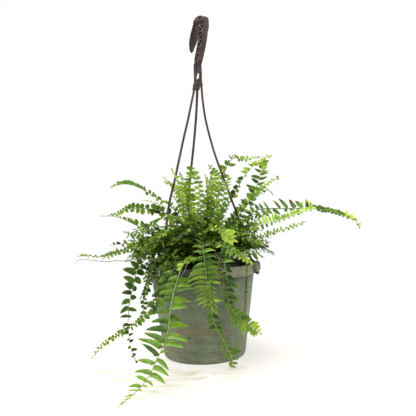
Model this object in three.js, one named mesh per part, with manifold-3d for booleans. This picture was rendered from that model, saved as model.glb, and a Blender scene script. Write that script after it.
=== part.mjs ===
// A bushy sword fern in a tapered hanging pot, standing on a surface with its hanger upright above it.
// Millimetres, +Z up. The origin is the centre of the pot's underside, on the surface it stands on.
// +X is to the right and -Y towards the side with the long trailing frond.
import * as THREE from 'three';
import { mergeVertices } from 'three/addons/utils/BufferGeometryUtils.js';
import Module from 'manifold-3d';

const wasm = await Module();
wasm.setup();

// ---- driving dimensions (mm) ----
const RIM_R = 105;            // outer radius of the rim band
const RIM_Z = 176;            // top of the rim
const BAND_H = 19.4;          // height of the rim band
const WALL_TOP_R = 99.3;      // wall radius just under the band
const WALL_FOOT_R = 79;       // wall radius above the foot's fillet
const FOOT_R = 73.5;          // outer radius of the ring the pot stands on
const WALL_T = 1.8;           // wall thickness
const PAD_R = 22;             // flush round pad in the middle of the underside
const RECESS_Z = 3;           // depth of the recess round the pad
const DRAIN_R = 5;            // drain hole radius
const DRAIN_RING_R = 42;      // ring of drain holes
const DRAIN_COUNT = 8;
const SOIL_Z = 162;           // level of the soil
const CROWN_R = 50;           // clump of stipe bases on the soil
const CROWN_H = 36;           // its height over CROWN_Z
const CROWN_Z = 166;          // its widest level
const LUG_PHI = [-18, 102, 222];   // where the hanger's straps cross the rim, degrees from +X
const LUG_T = 13;             // half width of a lug along the rim
const CHANNEL_T = 4.9;        // half width of the channel in it
const LUG_R = 112.5;          // how far a lug's pads stand out
const CHANNEL_R = 108.2;      // floor of the channel
const STRAP_T = 4.1;          // half width of the strap in the channel
const STRAP_H = 2.4;          // its thickness
const ARM_R = 2.05;           // radius of a hanger arm
const HOOK_AT = [3.0, 0.0];   // the hook's plane passes here
const HOOK_D = [-0.6, 0.8];   // the side the crook opens to, a unit vector
const HOOK_W = 11.0;          // width of the stem's outer flange
const CAP_W = 12.6;           // width of the thicker cap over the crook
const PLATE_W = 17;           // width of the flat plate under the stem
const BLADE_T = 1.0;          // half thickness of a frond's blade
const RUNNER_R = 1.0;         // radius of a bare runner

// ---- colours ----
const mat = (color, roughness = 0.6, metalness = 0) => new THREE.MeshStandardMaterial({ color, roughness, metalness });
const POT = mat(0x6f786a, 0.6), HANGER = mat(0x4b3d38, 0.5), SOIL = mat(0x2a211b, 0.95), STEM = mat(0x6d6a3a, 0.7);
const LEAF = mat(0x5c8f35, 0.55), RUNNER = mat(0x8c8672, 0.7);

// ---- helpers ----
function closed(geo, tol = 1e-3) {
  const g0 = geo.index ? geo.toNonIndexed() : geo.clone();
  for (const k of Object.keys(g0.attributes)) if (k !== 'position') g0.deleteAttribute(k);
  const g = mergeVertices(g0, tol);
  const idx = g.index.array, p = g.attributes.position.array, keep = [];
  let vol = 0;
  for (let i = 0; i < idx.length; i += 3) {
    const [a, b, c] = [idx[i], idx[i + 1], idx[i + 2]];
    if (a === b || b === c || a === c) continue;
    keep.push(a, b, c);
    const [ax, ay, az, bx, by, bz, cx, cy, cz] = [p[3 * a], p[3 * a + 1], p[3 * a + 2], p[3 * b], p[3 * b + 1], p[3 * b + 2], p[3 * c], p[3 * c + 1], p[3 * c + 2]];
    vol += ax * (by * cz - bz * cy) - ay * (bx * cz - bz * cx) + az * (bx * cy - by * cx);
  }
  if (vol < 0) for (let i = 0; i < keep.length; i += 3) [keep[i + 1], keep[i + 2]] = [keep[i + 2], keep[i + 1]];
  const out = new THREE.BufferGeometry();
  out.setAttribute('position', new THREE.BufferAttribute(new Float32Array(p), 3));
  out.setIndex(keep);
  out.computeVertexNormals();
  return out;
}

function solid(geo) {
  const g = closed(geo);
  return new wasm.Manifold(new wasm.Mesh({
    numProp: 3, vertProperties: new Float32Array(g.attributes.position.array), triVerts: new Uint32Array(g.index.array),
  }));
}

function geometry(man) {
  const m = man.getMesh();
  const n = m.numProp, count = m.vertProperties.length / n, pos = new Float32Array(count * 3);
  for (let i = 0; i < count; i++) for (let k = 0; k < 3; k++) pos[3 * i + k] = m.vertProperties[n * i + k];
  const out = new THREE.BufferGeometry();
  out.setAttribute('position', new THREE.BufferAttribute(pos, 3));
  out.setIndex(Array.from(m.triVerts));
  out.computeVertexNormals();
  return out;
}

// rings of equal count, joined along, with a fan cap at each end
function loft(rings) {
  const n = rings[0].length, pos = [], idx = [];
  for (const r of rings) for (const v of r) pos.push(v.x, v.y, v.z);
  for (let i = 0; i + 1 < rings.length; i++) for (let j = 0; j < n; j++) {
    const a = i * n + j, b = i * n + (j + 1) % n, c = a + n, d = b + n;
    idx.push(a, c, b, b, c, d);
  }
  for (let j = 1; j + 1 < n; j++) idx.push(0, j, j + 1);
  const e = (rings.length - 1) * n;
  for (let j = 1; j + 1 < n; j++) idx.push(e, e + j + 1, e + j);
  const g = new THREE.BufferGeometry();
  g.setAttribute('position', new THREE.Float32BufferAttribute(pos, 3));
  g.setIndex(idx);
  return g;
}

const lathe = (pts, segments) => new THREE.LatheGeometry(pts.map(([r, z]) => new THREE.Vector2(r, z)), segments).rotateX(Math.PI / 2);
const shape = (pts) => new THREE.Shape(pts.map(([x, y]) => new THREE.Vector2(x, y)));
const V = (x, y, z) => new THREE.Vector3(x, y, z);

// a profile in the (radius, height) plane at azimuth phi, extruded along the rim between t0 and t1
function radial(pts, phi, t0, t1) {
  const g = new THREE.ExtrudeGeometry(shape(pts), { depth: t1 - t0, bevelEnabled: false, steps: 1 });
  const a = THREE.MathUtils.degToRad(phi), p = g.attributes.position;
  for (let i = 0; i < p.count; i++) {
    const r = p.getX(i), z = p.getY(i), t = t0 + p.getZ(i);
    p.setXYZ(i, r * Math.cos(a) - t * Math.sin(a), r * Math.sin(a) + t * Math.cos(a), z);
  }
  return g;
}

// a strip of even thickness along a centre line in a plane
function strip(line, h) {
  const n = line.length, nrm = line.map((_, i) => {
    const a = line[Math.max(0, i - 1)], b = line[Math.min(n - 1, i + 1)];
    const l = Math.hypot(b[0] - a[0], b[1] - a[1]);
    return [-(b[1] - a[1]) / l, (b[0] - a[0]) / l];
  });
  return [...line.map((p, i) => [p[0] + nrm[i][0] * h / 2, p[1] + nrm[i][1] * h / 2]),
    ...line.map((p, i) => [p[0] - nrm[i][0] * h / 2, p[1] - nrm[i][1] * h / 2]).reverse()];
}

const root = new THREE.Group();
function add(name, geo, material) {
  const m = new THREE.Mesh(geo, material);
  m.name = name;
  root.add(m);
  return m;
}

// ---- pot ----
const wallR = (z) => WALL_FOOT_R + (WALL_TOP_R - WALL_FOOT_R) * (z - 6) / (RIM_Z - BAND_H - 6);
const bandZ = RIM_Z - BAND_H;
const potProfile = [
  [0, 0], [PAD_R, 0], [PAD_R + 2, RECESS_Z], [FOOT_R - 13, RECESS_Z], [FOOT_R - 10.5, 0], [FOOT_R, 0],
  [FOOT_R + 3.2, 1.3], [wallR(6), 6], [wallR(60), 60], [wallR(110), 110], [wallR(bandZ - 1), bandZ - 1],
  [WALL_TOP_R + 0.2, bandZ + 1], [WALL_TOP_R + 0.3, RIM_Z - 5.4], [WALL_TOP_R + 1.2, RIM_Z - 4.2], [RIM_R - 2.7, RIM_Z - 4.2], [RIM_R - 1.9, RIM_Z - 5.2],
  [RIM_R - 1.9, bandZ + 0.8], [RIM_R - 1.2, bandZ], [RIM_R - 0.4, bandZ + 0.2], [RIM_R, bandZ + 1.4],
  [RIM_R, RIM_Z - 3.2], [RIM_R - 0.7, RIM_Z - 1.1], [RIM_R - 2.2, RIM_Z], [RIM_R - 4.4, RIM_Z],
  [RIM_R - 6.4, RIM_Z - 1.4], [RIM_R - 7.3, RIM_Z - 4], [wallR(bandZ) - WALL_T, bandZ - 2], [wallR(80) - WALL_T, 80],
  [wallR(7) - WALL_T, 7], [wallR(6) - 4.4, RECESS_Z + WALL_T], [0, RECESS_Z + WALL_T],
];
let pot = solid(lathe(potProfile, 60));
for (const phi of LUG_PHI) {
  const pad = [[RIM_R - 1, bandZ + 4], [LUG_R - 1.6, bandZ + 4.4], [LUG_R, bandZ + 6.4], [LUG_R, RIM_Z - 2.5], [LUG_R - 1.4, RIM_Z + 1.2],
    [LUG_R - 4.2, RIM_Z + 3.1], [RIM_R - 2.6, RIM_Z + 3.1], [RIM_R - 3.6, RIM_Z + 1.4], [RIM_R - 3.6, RIM_Z - 0.6], [RIM_R - 1, RIM_Z - 4]];
  const back = [[RIM_R - 1, bandZ + 4], [CHANNEL_R, bandZ + 4], [CHANNEL_R, RIM_Z - 4], [CHANNEL_R - 2, RIM_Z - 2.4], [RIM_R - 1, RIM_Z - 2.4]];
  pot = pot.add(solid(radial(pad, phi, CHANNEL_T, LUG_T))).add(solid(radial(pad, phi, -LUG_T, -CHANNEL_T)))
    .add(solid(radial(back, phi, -CHANNEL_T - 0.4, CHANNEL_T + 0.4)));
}
for (let i = 0; i < DRAIN_COUNT; i++) {
  const a = (i + 0.5) * 2 * Math.PI / DRAIN_COUNT;
  const hole = new THREE.CylinderGeometry(DRAIN_R, DRAIN_R, 10, 16).rotateX(Math.PI / 2).translate(DRAIN_RING_R * Math.cos(a), DRAIN_RING_R * Math.sin(a), 3);
  pot = pot.subtract(solid(hole));
}
add('pot', geometry(pot), POT);

// ---- soil: fills the pot to a little under the rim ----
const inner = (z) => wallR(z) - WALL_T - 0.4;
add('potting_soil', closed(lathe([
  [0, RECESS_Z + WALL_T + 0.4], [wallR(6) - 5.4, RECESS_Z + WALL_T + 0.4], [inner(8.4), 8.4], [inner(80), 80], [inner(150), 150],
  [inner(SOIL_Z - 4) - 0.8, SOIL_Z - 4], [WALL_TOP_R - 12, SOIL_Z - 0.8], [CROWN_R + 8, SOIL_Z], [0, SOIL_Z],
], 44)), SOIL);

// ---- crown: the clump of stipe bases and young coiled fronds on the soil ----
const crownPts = [[0, SOIL_Z + 0.5], [CROWN_R * 0.9, SOIL_Z + 0.5], [CROWN_R * 0.985, SOIL_Z + 1.6]];
for (let i = 0; i <= 7; i++) {
  const e = (i / 7) * Math.PI / 2;
  crownPts.push([i === 7 ? 0 : CROWN_R * Math.cos(e), CROWN_Z + CROWN_H * Math.sin(e)]);
}
add('fern_crown', closed(lathe(crownPts, 28)), STEM);

// ---- hanger: crook, bill, ribbed stem, plate with an eye, three arms ----
// plane of the hook: s along HOOK_D, w across it, z up
const hookPoint = (s, w, z) => V(HOOK_AT[0] + HOOK_D[0] * s + HOOK_D[1] * w, HOOK_AT[1] + HOOK_D[1] * s - HOOK_D[0] * w, z);
function inHook(geo) {            // x is s, y is z, z is w
  const p = geo.attributes.position;
  for (let i = 0; i < p.count; i++) {
    const q = hookPoint(p.getX(i), p.getZ(i), p.getY(i));
    p.setXYZ(i, q.x, q.y, q.z);
  }
  return geo;
}
const plate = (pts, w) => solid(inHook(new THREE.ExtrudeGeometry(shape(pts), { depth: w, bevelEnabled: false, steps: 1 }).translate(0, 0, -w / 2)));

const outerLine = [[-3.0, 548], [-4.0, 556], [-7.2, 562], [-13.2, 573.5], [-20.4, 589], [-25.5, 602], [-29.1, 616], [-31.3, 630], [-31.0, 639.6], [-27, 645.2], [-20, 648.2], [-12, 648.9], [-5, 647.3], [0.6, 643.9], [3.4, 640.2]];
const innerLine = [[3.0, 548], [3.2, 556], [3.0, 567], [0.2, 578], [-6.2, 592], [-11.8, 606], [-15.4, 618], [-17.6, 630], [-17.4, 635.8], [-15, 640.2],
  [-11.6, 641.8], [-8.4, 642], [-5.2, 641.3], [-2.6, 640.3], [0.2, 638.3]];
let hook = plate([...outerLine, ...innerLine.slice().reverse()], HOOK_W);

// thicker cap over the crook, ending in a step on the outside of the stem
const capOut = [[-31.0, 619.6], [-32.6, 630], [-32.2, 639.8], [-28.0, 645.9], [-20.6, 648.9], [-12, 649.7], [-4.6, 648.0], [1.2, 644.6], [3.9, 641.0]];
const capIn = [[-29.4, 619.6], [-29.9, 630], [-29.5, 639.0], [-25.8, 644.0], [-20, 646.6], [-12, 647.3], [-6, 645.9], [-1, 643.0], [1.7, 639.8]];
hook = hook.add(plate([...capOut, ...capIn.slice().reverse()], CAP_W));

// pockets between zig-zag ribs, cut from both sides and leaving a thin web
function inset(poly, d) {
  const n = poly.length;
  let area = 0;
  for (let i = 0; i < n; i++) { const a = poly[i], b = poly[(i + 1) % n]; area += a[0] * b[1] - a[1] * b[0]; }
  const P = area > 0 ? poly : poly.slice().reverse();
  const lines = P.map((a, i) => {
    const b = P[(i + 1) % n], l = Math.hypot(b[0] - a[0], b[1] - a[1]), nx = -(b[1] - a[1]) / l, ny = (b[0] - a[0]) / l;
    return [nx, ny, nx * a[0] + ny * a[1] + d];
  });
  return lines.map((m, i) => {
    const k = lines[(i + n - 1) % n], det = k[0] * m[1] - k[1] * m[0];
    return [(k[2] * m[1] - m[2] * k[1]) / det, (k[0] * m[2] - m[0] * k[2]) / det];
  });
}
const WEB = 2.0, RIB = 0.55, FLANGE = 1.6;
// bays as [outer, inner] pairs of stations, each bay crossed by one diagonal
const bays = [[[-10.2, 568], [3.0, 567]], [[-16.2, 580], [-0.6, 579.6]], [[-21.6, 592], [-6.2, 592]], [[-26.1, 604], [-11.0, 604]], [[-29.6, 619], [-15.6, 619]], [[-31.3, 631], [-17.6, 631]],
  [[-28.8, 643.2], [-16.2, 638.4]], [[-19.6, 648.2], [-12.4, 641.4]], [[-10.2, 648.6], [-8.4, 642]], [[-1.6, 645.2], [-4.2, 640.9]]];
const offset = (p, q, d) => { const l = Math.hypot(q[0] - p[0], q[1] - p[1]); return [p[0] + (q[0] - p[0]) * d / l, p[1] + (q[1] - p[1]) * d / l]; };
const bayIn = bays.map(([o, i]) => [offset(o, i, FLANGE), offset(i, o, FLANGE)]);
for (let k = 0; k + 1 < bayIn.length; k++) {
  const [a, b] = bayIn[k], [c, d] = bayIn[k + 1];
  const tris = k % 2 ? [[a, c, b], [b, c, d]] : [[a, c, d], [a, d, b]];
  for (const tri of tris) {
    const t = inset(tri, RIB);
    const A = (t[1][0] - t[0][0]) * (t[2][1] - t[0][1]) - (t[1][1] - t[0][1]) * (t[2][0] - t[0][0]);
    if (A < 3) continue;
    for (const sgn of [1, -1]) {
      const g = new THREE.ExtrudeGeometry(shape(t), { depth: 8, bevelEnabled: false, steps: 1 }).translate(0, 0, sgn > 0 ? WEB / 2 : -WEB / 2 - 8);
      hook = hook.subtract(solid(inHook(g)));
    }
  }
}

// bill: a flat leaf-shaped tongue at the crook's free end
const billPath = [[1.8, 641.6, 4.8, 3.8], [1.9, 637.5, 6.6, 4.0], [2.4, 630.9, 8.2, 4.0], [6.8, 619.1, 9.5, 3.8], [12.4, 608, 8.7, 3.4], [16.2, 599.5, 6.3, 3.0], [18.3, 592.5, 4.2, 2.6], [19.0, 588.0, 2.8, 2.2]];
const billRings = billPath.map(([s, z, w, t], i) => {
  const a = billPath[Math.max(0, i - 1)], b = billPath[Math.min(billPath.length - 1, i + 1)];
  const l = Math.hypot(b[0] - a[0], b[1] - a[1]), ns = -(b[1] - a[1]) / l, nz = (b[0] - a[0]) / l;
  return [[-1, 0], [-0.86, 0.5], [0, 0.62], [0.86, 0.5], [1, 0], [0.86, -0.5], [0, -0.42], [-0.86, -0.5]]
    .map(([u, v]) => hookPoint(s + ns * v * t, w * u, z + nz * v * t));
});
hook = hook.add(solid(loft(billRings)));

// flat plate with a slanting eye, then the boss that the arms come out of
const plateFace = new THREE.Shape([[-6.4, 564.5], [-8.4, 559], [-PLATE_W / 2, 552], [-8.4, 534], [-8.6, 521.4], [8.6, 521.4], [8.4, 534], [PLATE_W / 2, 552], [8.4, 559], [6.4, 564.5]].map(([x, y]) => new THREE.Vector2(x, y)));
const eye = new THREE.Path();
const EYE_Z = 538, EYE_H = 8.4, EYE_W = 4.9, tilt = 0.2;
const eyePts = [];
for (let i = 0; i < 16; i++) {
  const a = i * 2 * Math.PI / 16, c = Math.cos(a), s = Math.sin(a);
  const x = EYE_W * c * Math.abs(c) ** 0.15, z = EYE_H * s;
  eyePts.push(new THREE.Vector2(x * Math.cos(tilt) + z * Math.sin(tilt), EYE_Z + z * Math.cos(tilt) - x * Math.sin(tilt)));
}
eye.setFromPoints(eyePts);
plateFace.holes.push(eye);
const PLATE_T = 5;
const face = new THREE.ExtrudeGeometry(plateFace, { depth: PLATE_T, bevelEnabled: false, steps: 1 });
{
  const p = face.attributes.position;      // x is w, y is z, z is s
  for (let i = 0; i < p.count; i++) {
    const q = hookPoint(p.getZ(i) - PLATE_T / 2, p.getX(i), p.getY(i));
    p.setXYZ(i, q.x, q.y, q.z);
  }
}
hook = hook.add(solid(face));
const boss = [[5.4, -3.4, 530], [8.4, -4.4, 525], [8.9, -4.8, 521.4]].map(([w, s, z]) => [[-w, s], [-w + 1.6, s - 0.9], [w - 1.6, s - 0.9], [w, s], [w, -s], [w - 1.6, -s + 0.9], [-w + 1.6, -s + 0.9], [-w, -s]].map(([a, b]) => hookPoint(b, a, z)));
hook = hook.add(solid(loft(boss)));
// the boss runs on lower down between the left arm and the one behind
const skirt = [[-2.8, 6.8, 0.2, 4.2, 523], [-3.7, 6.8, 1.4, 4.3, 517], [-4.3, 7.1, 2.6, 4.3, 511.5]].map(([w, a, s, b, z]) => [[-a, -b + 1], [-a + 1, -b], [a - 1, -b], [a, -b + 1], [a, b - 1], [a - 1, b], [-a + 1, b], [-a, b - 1]].map(([x, y]) => hookPoint(s + y, w + x, z)));
hook = hook.add(solid(loft(skirt)));
const dot = new THREE.CylinderGeometry(0.9, 0.9, 3, 8);   // small blind dot in the boss's face
{
  const p = dot.attributes.position;
  for (let i = 0; i < p.count; i++) {
    const q = hookPoint(p.getY(i) - 5.2, p.getX(i) - 1.0, p.getZ(i) + 525.4);
    p.setXYZ(i, q.x, q.y, q.z);
  }
}
hook = hook.subtract(solid(dot));
add('hanger_hook', geometry(hook), HANGER);

const onRim = (phi, r, z) => { const a = THREE.MathUtils.degToRad(phi); return V(r * Math.cos(a), r * Math.sin(a), z); };
const arms = {
  right: { phi: LUG_PHI[0], at: [[9.0, 2.8, 521.1], [9.6, 2.2, 512], [10.4, 0.6, 495], [12.6, -2.2, 472.1], [15.3, -4, 452.3], [19.2, -6, 432.5], [23.6, -8, 412.8], [33.0, -11.2, 377.5], [51.8, -17.2, 321], [69.2, -22.2, 268.8], [82.6, -25.6, 231.3]] },
  back: { phi: LUG_PHI[1], at: [[0.75, 4.6, 511.0], [-0.6, 8.0, 492], [-3.8, 18.0, 458], [-9.8, 34, 411.9], [-14.8, 47, 379.7], [-20.8, 63, 340], [-25.0, 76, 300], [-26.4, 84, 264.6], [-23.0, 87.6, 232]] },
  left: { phi: LUG_PHI[2], at: [[-5.1, -6.0, 510.9], [-6.2, -7.0, 504.5], [-9.5, -10.6, 490.4], [-18.3, -18.0, 451], [-27.9, -28.2, 412.1], [-36.0, -38.0, 376], [-46.0, -49.0, 332], [-54.8, -57.0, 297.4], [-60.4, -61.0, 266.0], [-63.2, -61.6, 236.0]] },
};
const disc = (r, n) => shape(Array.from({ length: n }, (_, i) => [r * Math.cos(2 * Math.PI * i / n), r * Math.sin(2 * Math.PI * i / n)]));
for (const [side, { phi, at }] of Object.entries(arms)) {
  const path = new THREE.CatmullRomCurve3([...at.map((p) => V(...p)), onRim(phi, 90.5, 207)], false, 'catmullrom', 0.5);
  let arm = solid(new THREE.ExtrudeGeometry(disc(ARM_R, 8), { steps: 26, bevelEnabled: false, extrudePath: path }));
  const line = [[90.4, 210], [91.4, 203], [93.6, 194], [96.4, 187], [99.4, 182.0], [103, 179.0], [106.6, 178.4], [108.9, 177], [109.9, 174], [110, 168], [110, 156.4]];
  arm = arm.add(solid(radial(strip(line, STRAP_H), phi, -STRAP_T, STRAP_T)));
  const foot = [[105.7, 155.2], [111.2, 155.2], [111.2, 159.8], [105.7, 159.8]];
  arm = arm.add(solid(radial(foot, phi, -8.2, 8.2)));
  add(`hanger_arm_${side}`, geometry(arm), HANGER);
}

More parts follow.
